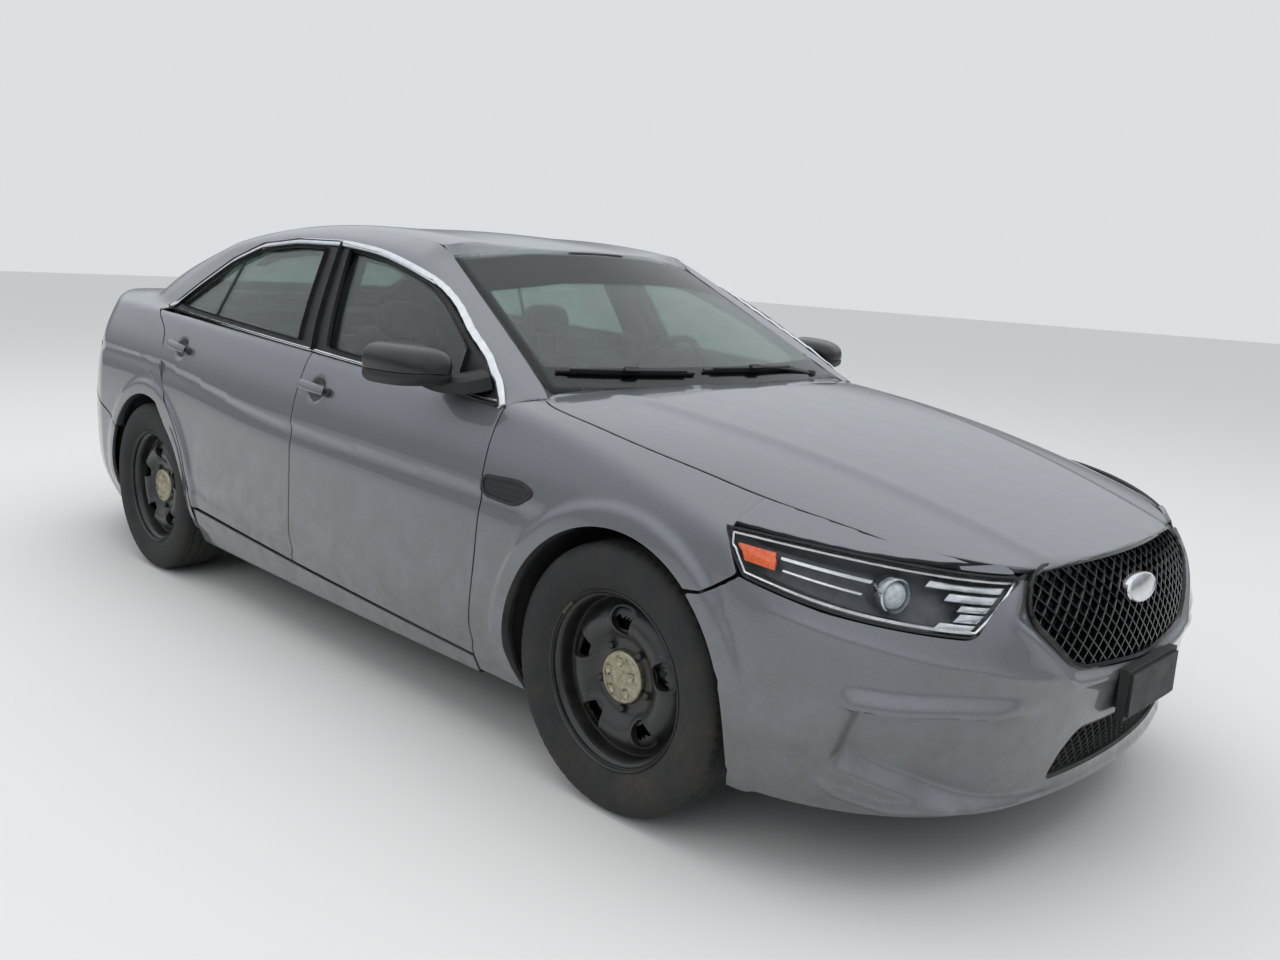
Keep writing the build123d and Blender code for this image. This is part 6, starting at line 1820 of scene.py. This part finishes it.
class WINDOW_OT_windows(bpy.types.Operator):
    """Panes, black window frames and borders, bright strips, sail panels and the rear door's bar"""
    bl_idname = "saloon.windows"
    bl_label = "Windows"

    def execute(self, context):
        settings = context.scene.saloon_windows
        for front in (True, False):
            label = "windscreen" if front else "rear_window"
            pane = Sheet(eased_in(screen_grid(front), 2.6), flip=front)
            hides = ("screens",) if front else ()
            thickened(piece(label, [pane], FINISHES["green tinted safety glass"], "car_body", hides,
                            "tinted_glass"), 5.0)
            self.border(label, front, settings.frit_width)
        for hand, turned_over in HANDS:
            for place_name, light, outline in (("front", LIGHT_FRONT, FRAME_FRONT), ("rear", LIGHT_REAR, FRAME_REAR)):
                self.door_window(place_name, hand, turned_over, light, outline, settings)
        return {"FINISHED"}

    def border(self, label, front, width):
        """Black fired band round the pane, on its face."""
        grid = screen_grid(front, 60, 110)
        flat = np.stack([grid[..., 1], grid[..., 2]], axis=-1)
        half = WINDSCREEN if front else BACK_WINDOW
        ring = [*half, *[(-y, z) for y, z in reversed(half)]]
        inner = np.minimum(outline_distance(flat, ring) + width, 400)
        shade = flat[..., 1] - (np.interp(np.abs(flat[..., 0]), [0, 300, 577], [1460, 1452, 1419])
                                - (105 if front else width))
        foot = 1105 if front else 1225
        keep = np.maximum(np.maximum(inner, shade), foot - flat[..., 1])
        moved, faces = cut_faces(flat, keep)
        points = on_screen(moved[..., 0], moved[..., 1], front)
        lifted = eased_in(points, 1.9)
        skin_object(f"{label}_border", lifted, faces, FINISHES["fired black enamel"], "car_body", (),
                    "tinted_glass", flip=front, hem=1.0)

    def door_window(self, place_name, hand, turned_over, light, outline, settings):
        """Frame, pane, bright strip and seals of one door's window."""
        sided = one_side(turned_over)
        node = f"{place_name}_door_{hand}"
        body = f"{node}_body"
        black = FINISHES["grained polypropylene"]
        chart, faces = side_region(outline, [(light, -24.0)])
        points = side_place(chart[..., 0].ravel(), chart[..., 1].ravel())[0].reshape(*chart.shape[:2], 3)
        frame_points = eased_in(points, -0.8)
        if turned_over:
            frame_points = frame_points * (1, -1, 1)
        skin_object(f"{node}_frame", frame_points, faces, black, body, (), "black_plastic", flip=turned_over,
                    hem=14.0)
        pane = side_region(light, [], 14.0)[0]
        pane, pane_faces = cut_faces(pane, -outline_distance(pane, light) - 18.0)
        glass_points = eased_in(on_side(pane[..., 0], pane[..., 1]), 12.0)
        if turned_over:
            glass_points = glass_points * (1, -1, 1)
        made = skin_object(f"{place_name}_glass_{hand}_pane", glass_points, pane_faces,
                           FINISHES["green tinted safety glass"], body, (f"{place_name}_door_glass_{hand}",),
                           "tinted_glass", flip=turned_over, hem=0.5)
        thickened(made, 4.0)
        wide = settings.trim_width
        if place_name == "front":
            top = [*shifted(EDGE_FRONT, -3, -6), (-153, 1437)]
            belt = [(1012, 1012), (600, 1032), (0, 1064), (-52, 1067)]
            inner_top = [(778, 1052), (778, 1128), (738, 1164), (632, 1230), (545, 1278), (456, 1318), (320, 1354),
                         (120, 1396), (-60, 1416), (-98, 1418)]
        else:
            top = [(-160, 1438), (-470, 1439), (-746, 1416), (-970, 1350), (-1187, 1247), (-1414, 1128)]
            belt = [(-60, 1067), (-600, 1092), (-1100, 1114), (-1418, 1128)]
            inner_top = [(-244, 1422), (-470, 1424), (-742, 1402), (-962, 1336), (-1178, 1232), (-1348, 1142)]
        runs = []
        for line, breadth, height, out in ((top, wide, 7.0, 4.0), (belt, wide * 0.45, 5.0, 3.5)):
            path, facing = strip_run(line, out)
            runs.append(sweep(path, half_round(breadth, height), facing))
        piece(f"{node}_bright_strip", sided(runs), FINISHES["chrome plate"], body, slot="exhaust_steel", outward=True)
        path, facing = strip_run(inner_top, -4.0)
        seals = [sweep(path, half_round(10, 3.0), facing)]
        if place_name == "rear":
            path, facing = strip_run([(-938, 1116), (-885, 1378)], -8.0)
            seals.append(sweep(path, half_round(22, 5.0), facing))
        piece(f"{node}_seals", sided(seals), black, body, slot="black_plastic", outward=True)


# Mirrors, handles, vents, sills and cowl
def side_place(x, z):
    """Points of the left body side in side view, and the way outward at each."""
    x, z = np.atleast_1d(np.asarray(x, float)), np.atleast_1d(np.asarray(z, float))
    w = np.array([girth_at_height(a, b) for a, b in zip(x, z)])
    base = on_body(x, w)
    dx, dw = on_body(x + 12, w) - on_body(x - 12, w), on_body(x, w + 12) - on_body(x, w - 12)
    facing = np.cross(dw, dx)
    facing /= np.linalg.norm(facing, axis=1, keepdims=True)
    return base, facing * np.sign(facing[:, 1:2])


def mirror_sheets():
    """Housing: rings round the fore-and-aft axis grow from a blunt nose to the glass rim as a power
    curve; the outline is a superellipse, taller above the seam than below it."""
    middle_y, middle_z, seam = 1010.0, 1084.0, 2.5
    angle = np.linspace(0, 2 * math.pi, 97)
    c, s = np.cos(angle), np.sin(angle)
    power = 2 / 4.2
    wide = np.where(c > 0, 92, 112)
    tall = np.where(s > 0, 80, 46)
    oy, oz = wide * np.sign(c) * np.abs(c) ** power, tall * np.sign(s) * np.abs(s) ** power
    oz = oz * (1 - 0.10 * np.clip(oy / 92, 0, 1) ** 2) - 4 * np.clip(-oy / 90, 0, 1) * (s > 0)
    t = np.linspace(0, 1, 34)
    grow = (1 - (1 - t) ** 2.6) ** (1 / 2.6)
    grow[0] = 0.002
    grow = np.concatenate([grow, [0.985, 0.95, 0.93, 0.92]])
    x = np.concatenate([852 - 196 * t ** 1.25, [651, 650, 654, 664]])
    across = middle_y + oy[:, None] * grow[None, :] * (1 - 0.1 * (1 - t).mean())
    rings = np.stack([np.broadcast_to(x, across.shape), across, middle_z + oz[:, None] * grow[None, :]], axis=-1)
    rings[..., 0] -= 0.28 * (rings[..., 1] - middle_y)
    upper, lower = rings[:49].copy(), rings[48:].copy()
    for half_grid, sign in ((upper, 1), (lower, -1)):
        for row in (0, -1):
            half_grid[row, :, 2] += sign * seam * 0.5
            half_grid[row, 1:, 1] -= np.sign(half_grid[row, 1:, 1] - middle_y) * seam
    return upper, lower, rings[:, -1]


def glass_disc(rim, depth=0.0):
    """Flat pane across a closed rim: rings that shrink to its middle."""
    centre = rim.mean(axis=0)
    steps = np.array([1.0, 0.66, 0.33, 0.002])
    return np.stack([centre + (rim - centre) * k + (depth, 0, 0) for k in steps], axis=1)


def handle_sheets(x_mid, z_mid, slope):
    """Pull bar that bows off the door between two pads."""
    t = np.linspace(-1, 1, 41)
    x = x_mid + 94 * t
    z = z_mid - slope * 94 * t
    base, facing = side_place(x, z)
    off = 6 + 27 * (1 - np.abs(t) ** 4.0)
    path = base + facing * off[:, None]
    squash = 1 - 0.28 * np.abs(t) ** 3
    a = full_turn(20)
    profile = np.column_stack([17 * np.sign(np.cos(a)) * np.abs(np.cos(a)) ** 0.7,
                               7.5 * np.sign(np.sin(a)) * np.abs(np.sin(a)) ** 0.8])
    bar = sweep(path[3:-3], profile, facing[3:-3], taper=squash[3:-3])
    pads = []
    for k, away in ((2, 13.5), (-3, 11.0)):
        place_at, way = base[k], facing[k]
        along = base[min(k + 1, -1) if k < 0 else k + 1] - base[k - 1]
        along /= np.linalg.norm(along)
        upward = np.cross(way, along)
        ring = [(1.0, -6), (1.0, away * 0.7), (0.86, away), (0.5, away + 2), (0.01, away + 2.4)]
        circle = full_turn(28)
        rows = [place_at + way * h + k2 * (np.cos(circle)[:, None] * along * 17 + np.sin(circle)[:, None] * upward
                                           * 15) for k2, h in ring]
        pads.append(Sheet(np.stack(rows, axis=1), wrap_u=True))
    return bar, pads


def vent_sheets():
    """Wing vent: rolled rim round a net of raised ribs."""
    outline = closed_round([(1020, 815), (1033, 764), (1174, 756), (1246, 800), (1181, 823)], 14)
    chart, faces = side_region(outline, [], 3.0)
    flat = chart.reshape(-1, 2)
    base, facing = side_place(flat[:, 0], flat[:, 1])
    u, w = flat[:, 0] * 0.5 + flat[:, 1], flat[:, 0] * 0.5 - flat[:, 1]
    rib = np.maximum(np.cos(2 * math.pi * u / 15) ** 8, np.cos(2 * math.pi * w / 15) ** 8)
    depth = outline_distance(flat, outline)
    net = base + facing * (0.8 + 3.0 * rib * ease(-depth / 8))[:, None]
    ring = resample(np.vstack([outline, outline[:1]]), 6)[:-1]
    rim_base, rim_facing = side_place(ring[:, 0], ring[:, 1])
    rim = sweep(rim_base + rim_facing * 0.8, half_round(11, 5.5), rim_facing, closed=True)
    return net.reshape(chart.shape[:2] + (3,)), faces, rim


def sill_sheet():
    """Grid of the sill's skin."""
    low = side_line([(976, 207), (-884, 207)], 20)
    high = side_line([(974, 258), (-66, 306), (-872, 350), (-884, 351)], 20)
    front, back = side_line([(976, 207), (974, 258)], 6), side_line([(-884, 207), (-884, 351)], 12)
    return panel((low, high, front, back), 120, 10, on_body, None, (12, 12, 22, 8), 4.0)


def cowl_sheet():
    """Louvred black panel between the bonnet and the windscreen, ribs running across the car."""
    front = rounded([(1046, 656), (1128, 420), (1186, 0), (1128, -420), (1046, -656)], 90)
    back = rounded([(1004, 660), (1040, 420), (1062, 0), (1040, -420), (1004, -660)], 90)

    def level(x, y):
        lead = np.interp(np.abs(y), [0, 420, 656], [1186, 1128, 1046])
        return np.stack([x, y, 1049 + 0.14 * (lead - x)], axis=-1)

    def ribs(x, y, z):
        return 1.2 + 2.2 * np.abs(np.sin(math.pi * (x + 0.00018 * y ** 2) / 11.0)) ** 0.7 * (np.abs(y) < 600)
    return panel((np.linspace(front[0], back[0], 10), np.linspace(front[-1], back[-1], 10), front, back), 40, 90,
                 level, ribs, (10, 0, 6, 6))


def wiper_sheets(pivot, tip_y, tail_y, height):
    """One wiper: blade along the foot of the glass, arm in two tapering lengths, and its spindle cap."""
    y = np.linspace(tail_y, tip_y, 40)
    z = height + 7 * ((y - tail_y) / (tip_y - tail_y))
    glass = on_screen(y, z)
    up = np.array([0.62, 0, 0.78])
    blade = sweep(glass + up * 9, [(-5, -7), (-5, 2), (-1, 5), (4, 3), (6, -3), (2, -8)], up)
    spine = sweep(glass[3:-3] + up * 16, half_round(9, 5), up)
    middle = glass[20] + up * 22
    knee = pivot + (middle - pivot) * 0.45 + (0, 0, 14)
    t = np.linspace(0, 1, 26)[:, None]
    path = pivot * (1 - t) ** 2 + 2 * knee * t * (1 - t) + middle * t ** 2
    arm = sweep(path, [(-8, -4), (-7, 3), (0, 5), (7, 3), (8, -4)], up, taper=np.linspace(1.25, 0.62, 26))
    clip = sweep(np.array([glass[18], glass[20], glass[22]]) + up * 20, [(-9, -8), (-9, 6), (9, 6), (9, -8)], up)
    a = full_turn(24)
    rows = [pivot + (r * np.cos(a)[:, None] * np.array([1, 0, 0]) + r * np.sin(a)[:, None] * np.array([0, 1, 0]))
            + (0, 0, h) for r, h in ((17, -10), (17, 6), (13, 12), (0.1, 14))]
    cap = Sheet(np.stack(rows, axis=1), wrap_u=True)
    return [blade, spine, arm, clip, cap]


class DETAIL_PG_settings(bpy.types.PropertyGroup):
    wiper_height: bpy.props.FloatProperty(name="Wiper height", description="Height of the parked wiper blades, mm",
                                          default=1084.0, min=1070, max=1120)


class DETAIL_OT_fittings(bpy.types.Operator):
    """Door mirrors, pull handles, wing vents, sills, cowl panel and wipers"""
    bl_idname = "saloon.fittings"
    bl_label = "Outside Fittings"

    def execute(self, context):
        settings = context.scene.saloon_fittings
        paint, black, gloss = FINISHES[PAINT], FINISHES["grained polypropylene"], FINISHES["gloss black ABS"]
        upper, lower, rim = mirror_sheets()
        net, net_faces, vent_rim = vent_sheets()
        for hand, turned_over in HANDS:
            sided = one_side(turned_over)
            door = f"front_door_{hand}_body"
            piece(f"mirror_{hand}_cap", sided([Sheet(upper)]), FINISHES["satin black cap"], door,
                  (f"mirror_{hand}",), "black_plastic", outward=True)
            piece(f"mirror_{hand}_shell", sided([Sheet(lower)]), black, door, slot="black_plastic", outward=True)
            piece(f"mirror_{hand}_glass", sided([Sheet(glass_disc(rim, 3.0))]), FINISHES["metallised reflector"],
                  door, slot="black_plastic", outward=True)
            arm_path = np.array([(770, 966, 1062), (790, 946, 1054), (822, 918, 1050), (852, 890, 1054),
                                 (876, 858, 1062), (884, 836, 1068)], float)
            arm = sweep(resample(arm_path, count=24), [(-44, -18), (-38, 16), (-20, 26), (24, 26), (42, 14),
                                                       (46, -14), (20, -24), (-20, -24)], (0.0, 0.35, 1.0),
                                                       taper=np.linspace(0.78, 1.12, 24))
            piece(f"mirror_{hand}_arm", sided([arm]), black, door, slot="black_plastic", outward=True)
            for place_name, x, z, slope in (("front", *HANDLE_FRONT, 0.06), ("rear", *HANDLE_REAR, 0.09)):
                bar, pads = handle_sheets(x, z, slope)
                piece(f"{place_name}_door_{hand}_pull", sided([bar]), paint, f"{place_name}_door_{hand}_body",
                      slot="body_paint", outward=True)
                piece(f"{place_name}_door_{hand}_pull_pads", sided(pads), black, f"{place_name}_door_{hand}_body",
                      slot="black_plastic", outward=True)
            vent_points = net * (1, -1, 1) if turned_over else net
            skin_object(f"wing_vent_{hand}_net", vent_points, net_faces, gloss, "car_body", (), "black_plastic",
                        flip=turned_over, hem=2.0)
            piece(f"wing_vent_{hand}_rim", sided([vent_rim]), black, "car_body", slot="black_plastic", outward=True)
            piece(f"sill_{hand}_skin", sided([Sheet(sill_sheet())]), paint, "car_body", slot="body_paint")
        piece("cowl_louvres", [Sheet(cowl_sheet(), flip=True)], black, "car_body", ("cowl",), "black_plastic")
        height = settings.wiper_height
        for name, pivot, tip, tail in (("right", (1108, -130, 1066), -650, -175),
                                       ("left", (1068, 520, 1066), -120, 400)):
            piece(f"wiper_{name}", wiper_sheets(np.array(pivot, float), tip, tail, height), black, "car_body",
                  slot="black_plastic", outward=True)
        return {"FINISHED"}


# Seats and what is left of the CAD nodes
SEAT_Y = 370.0


def pillow(outline, middle_y, half, bulge=None, across=41, power=5.0):
    """Closed pad: the side outline scaled about its middle by (1 - |t|^p)^(1/p) from side to side."""
    ring = resample(np.vstack([closed_round(outline, 26), closed_round(outline, 26)[:1]]), 14)[:-1]
    centre = ring.mean(axis=0)
    t = np.linspace(-1, 1, across)
    t = np.sign(t) * np.abs(t) ** 0.8
    size = np.maximum((1 - np.abs(t) ** power), 0) ** (1 / power)
    size[[0, -1]] = 0.004
    grid = centre + (ring[:, None] - centre) * size[None, :, None]
    x, z = grid[..., 0], grid[..., 1]
    if bulge:
        x, z = bulge(x, z, np.broadcast_to(t[None, :], x.shape), centre)
    y = np.broadcast_to(middle_y + half * t[None, :], x.shape)
    return Sheet(np.stack([x, y, z], axis=-1), wrap_u=True)


def applied(thing):
    """Takes the shape that the object's modifiers give into its mesh."""
    graph = bpy.context.evaluated_depsgraph_get()
    mesh = bpy.data.meshes.new_from_object(thing.evaluated_get(graph))
    thing.modifiers.clear()
    thing.data = mesh


def stuffed(thing, voxel, swell, pressure, seams):
    """Remeshes a pad, lets cloth under pressure swell it by no more than a cap, and sews its channels in."""
    cells = thing.modifiers.new("cells", "REMESH")
    cells.mode, cells.voxel_size, cells.use_smooth_shade = "VOXEL", voxel / 1000.0, True
    applied(thing)
    count = len(thing.data.vertices)
    rest = np.empty(count * 3)
    thing.data.vertices.foreach_get("co", rest)
    rest = rest.reshape(-1, 3)
    cloth = thing.modifiers.new("cloth", "CLOTH")
    cloth.settings.quality = 5
    cloth.settings.mass = 0.4
    cloth.settings.tension_stiffness = cloth.settings.compression_stiffness = 12
    cloth.settings.bending_stiffness = 2.0
    cloth.settings.use_pressure = True
    cloth.settings.uniform_pressure_force = pressure
    cloth.settings.effector_weights.gravity = 0.0
    cloth.collision_settings.use_collision = False
    scene = bpy.context.scene
    for step in range(1, 21):
        scene.frame_set(step)
    applied(thing)
    scene.frame_set(1)
    moved = np.empty(count * 3)
    thing.data.vertices.foreach_get("co", moved)
    moved = moved.reshape(-1, 3)
    shift = moved - rest
    length = np.linalg.norm(shift, axis=1, keepdims=True)
    moved = rest + shift * np.minimum(1.0, swell / 1000.0 / np.maximum(length, 1e-9))
    thing.data.vertices.foreach_set("co", moved.reshape(-1))
    finer = thing.modifiers.new("finer", "SUBSURF")
    finer.levels = finer.render_levels = 1
    applied(thing)
    facing, moved = np.empty(len(thing.data.vertices) * 3), np.empty(len(thing.data.vertices) * 3)
    thing.data.vertices.foreach_get("normal", facing)
    thing.data.vertices.foreach_get("co", moved)
    moved = moved.reshape(-1, 3)
    moved -= facing.reshape(-1, 3) * seams(moved * 1000.0)[:, None] / 1000.0
    thing.data.vertices.foreach_set("co", moved.reshape(-1))
    for polygon in thing.data.polygons:
        polygon.use_smooth = True
    thing.data.update()


def groove(distance, depth=6.0, width=7.0):
    """Depth of a sewn seam's groove at a distance from it."""
    return depth * np.exp(-(distance / width) ** 2)


class CABIN_PG_settings(bpy.types.PropertyGroup):
    swell: bpy.props.FloatProperty(name="Pad swell",
                                   description="Most that a seat pad may swell from its cut shape, mm",
                                   default=18.0, min=0, max=40)
    pressure: bpy.props.FloatProperty(name="Pad pressure",
                                      description="Pressure of the filling in the cloth simulation", default=4.0,
                                      min=0, max=12)
    voxel: bpy.props.FloatProperty(name="Pad cell", description="Cell size of the pads' remesh, mm", default=18.0,
                                   min=5, max=30)


class CABIN_OT_seats(bpy.types.Operator):
    """Front seats and rear bench as stuffed pads on their frames"""
    bl_idname = "saloon.seats"
    bl_label = "Seats"

    def execute(self, context):
        settings = context.scene.saloon_cabin
        cloth, vinyl = FINISHES["charcoal woven cloth"], FINISHES["grained vinyl"]

        def cushion_bulge(x, z, t, centre):
            upper = ease((z - centre[1]) / 18)
            rise = 20 * ease((np.abs(t) - 0.62) / 0.16) * upper - 12 * ease((0.6 - np.abs(t)) / 0.2) * upper
            return x, z + rise

        def back_bulge(x, z, t, centre):
            ahead = ease((x - (centre[0] - (z - centre[1]) * 0.27)) / 22)
            return x + ahead * (26 * ease((np.abs(t) - 0.6) / 0.2) * ease((980 - z) / 160) - 10), z
        cushion = [(-40, 322), (452, 318), (466, 404), (436, 432), (200, 416), (-20, 426)]
        back = [(-60, 352), (42, 436), (-20, 640), (-96, 820), (-176, 1032), (-254, 1040), (-246, 960), (-108, 440)]
        head = [(-206, 1094), (-280, 1096), (-306, 1225), (-240, 1236), (-214, 1180)]

        def cushion_seams(p):
            y = np.abs(p[:, 1] - middle)
            top = p[:, 2] > 400
            return top * (groove(y - 146) + (y < 146) * (groove(p[:, 0] - 300) + groove(p[:, 0] - 130)))

        def back_seams(p):
            y = np.abs(p[:, 1] - middle)
            front = p[:, 0] > (-165 + (700 - p[:, 2]) * 0.27)
            cross = groove(p[:, 2] - 560) + groove(p[:, 2] - 760) + groove(p[:, 2] - 930)
            return front * (groove(y - 142) + (y < 142) * cross)
        for hand, side in (("left", 1), ("right", -1)):
            middle = side * SEAT_Y
            pads = [
                ("cushion", pillow(cushion, middle, 232, cushion_bulge), cushion_seams, 1.0),
                ("backrest", pillow(back, middle, 226, back_bulge), back_seams, 1.0),
                ("headrest", pillow(head, middle, 116, None, 31, 3.5), lambda p: groove(p[:, 2] - 1150, 2.5), 0.7),
            ]
            for part, sheet, seams, share in pads:
                made = piece(f"front_seat_{hand}_{part}", [sheet], cloth, "car_body", ("front_seats",)
                             if hand == "left" and part == "cushion" else (), "seat_fabric", outward=True)
                stuffed(made, settings.voxel * (0.75 if part == "headrest" else 1), settings.swell * share,
                        settings.pressure, seams)
            frame_sheets = []
            for y in (-185, 185):
                frame_sheets.append(sweep(np.array([(10, middle + y, 246), (10, middle + y, 300),
                                                    (40, middle + y, 312), (400, middle + y, 312),
                                                    (412, middle + y, 300), (412, middle + y, 246)], float),
                                                    [(-14, -8), (-14, 8), (14, 8), (14, -8)], (0.0, 1.0, 0.0)))
                frame_sheets.append(sweep(np.array([(-20, middle + y, 244.5), (440, middle + y, 244.5)], float),
                                          [(-20, -3), (-20, 5), (20, 5), (20, -3)], (0.0, 0.0, 1.0)))
            for y in (-53, 53):
                stem = np.array([(-236, middle + y, 1030), (-248, middle + y, 1075), (-258, middle + y, 1120)], float)
                circle = [(7 * math.cos(a), 7 * math.sin(a)) for a in full_turn(14)]
                frame_sheets.append(sweep(resample(stem, count=8), circle, (1.0, 0.0, 0.2)))
            piece(f"front_seat_{hand}_frame", frame_sheets, FINISHES["satin black wheel enamel"], "car_body",
                  slot="cast_metal", outward=True)

        def bench_bulge(x, z, t, centre):
            return x, z + 8 * np.cos(np.clip(t, -1, 1) * math.pi * 2) * ease((z - centre[1]) / 20)
        bench = [(-945, 262), (-500, 262), (-488, 380), (-520, 424), (-800, 404), (-930, 420)]
        rest = [(-950, 440), (-880, 440), (-1000, 640), (-1236, 1040), (-1290, 1078), (-1352, 1074), (-1330, 1020)]

        def bench_seams(p):
            y = np.abs(p[:, 1])
            return (p[:, 2] > 385) * (groove(y - 118) + groove(y - 480) + groove(p[:, 0] + 660) * (y > 118)
                                      * (y < 480))

        def rest_seams(p):
            y = np.abs(p[:, 1])
            front = p[:, 0] > (-1130 + (760 - p[:, 2]) * 0.6)
            return front * (groove(y - 118) + groove(y - 470) + groove(p[:, 2] - 640) * (y < 470)
                            + groove(p[:, 2] - 900) * (y < 470))
        for part, sheet, seams, hides in (
            ("cushion", pillow(bench, 0.0, 478, bench_bulge, 61, 9.0), bench_seams, ("rear_bench",)),
            ("backrest", pillow(rest, 0.0, 478, None, 61, 9.0), rest_seams, ()),
        ):
            made = piece(f"rear_bench_{part}", [sheet], vinyl, "car_body", hides, "seat_fabric", outward=True)
            stuffed(made, settings.voxel * 1.25, settings.swell, settings.pressure, seams)
        return {"FINISHED"}


DRESS = {
    "underbody": "sprayed underseal", "front_frame": "thin enamel on primer",
    "plate_bracket": "grained polypropylene",
    "arch_liners": "sprayed underseal", "dashboard": "grained vinyl", "engine_block": "sand cast metal",
    "exhaust": "heat dulled steel tube", "subframes": "sand cast metal", "steering_wheel": "grained vinyl",
    "front_knuckle_left": "sand cast metal", "front_knuckle_right": "sand cast metal",
    "grilles": "grained polypropylene",
}


class CABIN_OT_finishes(bpy.types.Operator):
    """Finishes of the CAD nodes that stay as they are"""
    bl_idname = "saloon.finishes"
    bl_label = "Carried-over Finishes"

    def execute(self, context):
        for node, finish_name in DRESS.items():
            thing = NODES[node]
            for slot in thing.material_slots:
                slot.link = "OBJECT"
                slot.material = FINISHES[finish_name]
        return {"FINISHED"}


class STAGE_PG_settings(bpy.types.PropertyGroup):
    floor_colour: bpy.props.StringProperty(name="Floor colour", description="sRGB colour of the floor, hex",
                                           default="#c9c9c7")
    light_strength: bpy.props.FloatProperty(name="Light", description="Strength of the overhead panels, W",
                                            default=300.0, unit="POWER")


class STAGE_OT_studio(bpy.types.Operator):
    """Floor, soft light and the camera"""
    bl_idname = "saloon.studio"
    bl_label = "Studio"

    def execute(self, context):
        settings = context.scene.saloon_stage
        scene = context.scene
        mesh = bpy.data.meshes.new("studio_floor")
        mesh.from_pydata([(-40, -40, 0), (40, -40, 0), (40, 40, 0), (-40, 40, 0)], [], [(0, 1, 2, 3)])
        floor = bpy.data.objects.new("studio_floor", mesh)
        material = bpy.data.materials.new("studio_floor")
        material.use_nodes = True
        shader = material.node_tree.nodes["Principled BSDF"]
        shader.inputs["Base Color"].default_value = linear(settings.floor_colour)
        shader.inputs["Roughness"].default_value = 0.9
        mesh.materials.append(material)
        scene.collection.objects.link(floor)
        for name, spot, size, power, turn in (
            ("overhead_panel", (0, 0, 7.5), (14, 9), 1.5, (0, 0, 0)),
            ("side_panel", (2.5, -9, 6.0), (9, 4), 0.5, (52, 0, 0)),
        ):
            lamp = bpy.data.lights.new(name, "AREA")
            lamp.shape, lamp.size, lamp.size_y = "RECTANGLE", size[0], size[1]
            lamp.energy = settings.light_strength * power
            holder = bpy.data.objects.new(name, lamp)
            holder.location = spot
            holder.rotation_euler = [math.radians(a) for a in turn]
            holder.visible_glossy = False
            scene.collection.objects.link(holder)
        world = bpy.data.worlds.new("overcast")
        world.use_nodes = True
        tree = world.node_tree
        back = tree.nodes["Background"]
        up = add(tree, "ShaderNodeSeparateXYZ",
                 {"Vector": add(tree, "ShaderNodeTexCoord").outputs["Generated"]}).outputs["Z"]
        sky = ramp(tree, up, [(0.0, "#6f7275"), (0.1, "#8d9094"), (0.2, "#c5cacf"), (0.5, "#e3e8ed"),
                              (1.0, "#f7fafc")])
        path = add(tree, "ShaderNodeLightPath")
        seen = add(tree, "ShaderNodeMath",
                   {0: path.outputs["Is Camera Ray"], 1: path.outputs["Is Transmission Ray"]}, operation="MAXIMUM")
        pale = add(tree, "ShaderNodeMix", {0: seen.outputs["Value"], 6: sky, 7: linear("#cfd2d5")}, data_type="RGBA")
        tree.links.new(pale.outputs[2], back.inputs["Color"])
        back.inputs["Strength"].default_value = 1.15
        scene.world = world
        camera = bpy.data.cameras.new("camera")
        camera.lens, camera.sensor_width = 31.305, 36.0
        camera.clip_end = 200
        holder = bpy.data.objects.new("camera", camera)
        yaw, pitch, roll = math.radians(134.0289), math.radians(-10.8844), math.radians(3.2458)
        ahead = np.array([math.cos(pitch) * math.cos(yaw), math.cos(pitch) * math.sin(yaw), math.sin(pitch)])
        right = np.cross(ahead, (0, 0, 1))
        right /= np.linalg.norm(right)
        up = np.cross(right, ahead)
        across = right * math.cos(roll) + up * math.sin(roll)
        over = -right * math.sin(roll) + up * math.cos(roll)
        matrix = Matrix([[*row, at] for row, at in zip(np.column_stack([across, over, -ahead]).tolist(),
                                                       (3.490, -2.859, 1.421))] + [[0, 0, 0, 1]])
        holder.matrix_world = matrix
        scene.collection.objects.link(holder)
        scene.camera = holder
        scene.view_settings.view_transform = "Standard"
        return {"FINISHED"}


class PATROL_PT_panel(bpy.types.Panel):
    """Buttons that build each group of pieces"""
    bl_idname = "PATROL_PT_panel"
    bl_label = "Patrol Saloon"
    bl_space_type = "VIEW_3D"
    bl_region_type = "UI"
    bl_category = "Patrol Saloon"

    def draw(self, context):
        for operator in OPERATORS:
            self.layout.operator(operator.bl_idname)


OPERATORS = (BODY_OT_side_panels, BODY_OT_top_panels, NOSE_OT_bumpers, WHEEL_OT_wheels, LAMP_OT_lamps,
             WINDOW_OT_windows, DETAIL_OT_fittings, CABIN_OT_seats, CABIN_OT_finishes, STAGE_OT_studio)
SETTINGS = {
    "saloon_body": BODY_PG_settings, "saloon_nose": NOSE_PG_settings, "saloon_wheels": WHEEL_PG_settings,
    "saloon_lamps": LAMP_PG_settings, "saloon_windows": WINDOW_PG_settings, "saloon_fittings": DETAIL_PG_settings,
    "saloon_cabin": CABIN_PG_settings, "saloon_stage": STAGE_PG_settings}
CLASSES = (*SETTINGS.values(), *OPERATORS, PATROL_PT_panel)


def register():
    for made in CLASSES:
        bpy.utils.register_class(made)
    for name, group in SETTINGS.items():
        setattr(bpy.types.Scene, name, bpy.props.PointerProperty(type=group))


def unregister():
    for name in SETTINGS:
        delattr(bpy.types.Scene, name)
    for made in reversed(CLASSES):
        bpy.utils.unregister_class(made)


def main():
    register()
    make_finishes()
    for operator in OPERATORS:
        group, name = operator.bl_idname.split(".")
        getattr(getattr(bpy.ops, group), name)()
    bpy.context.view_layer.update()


if __name__ == "__main__":
    main()
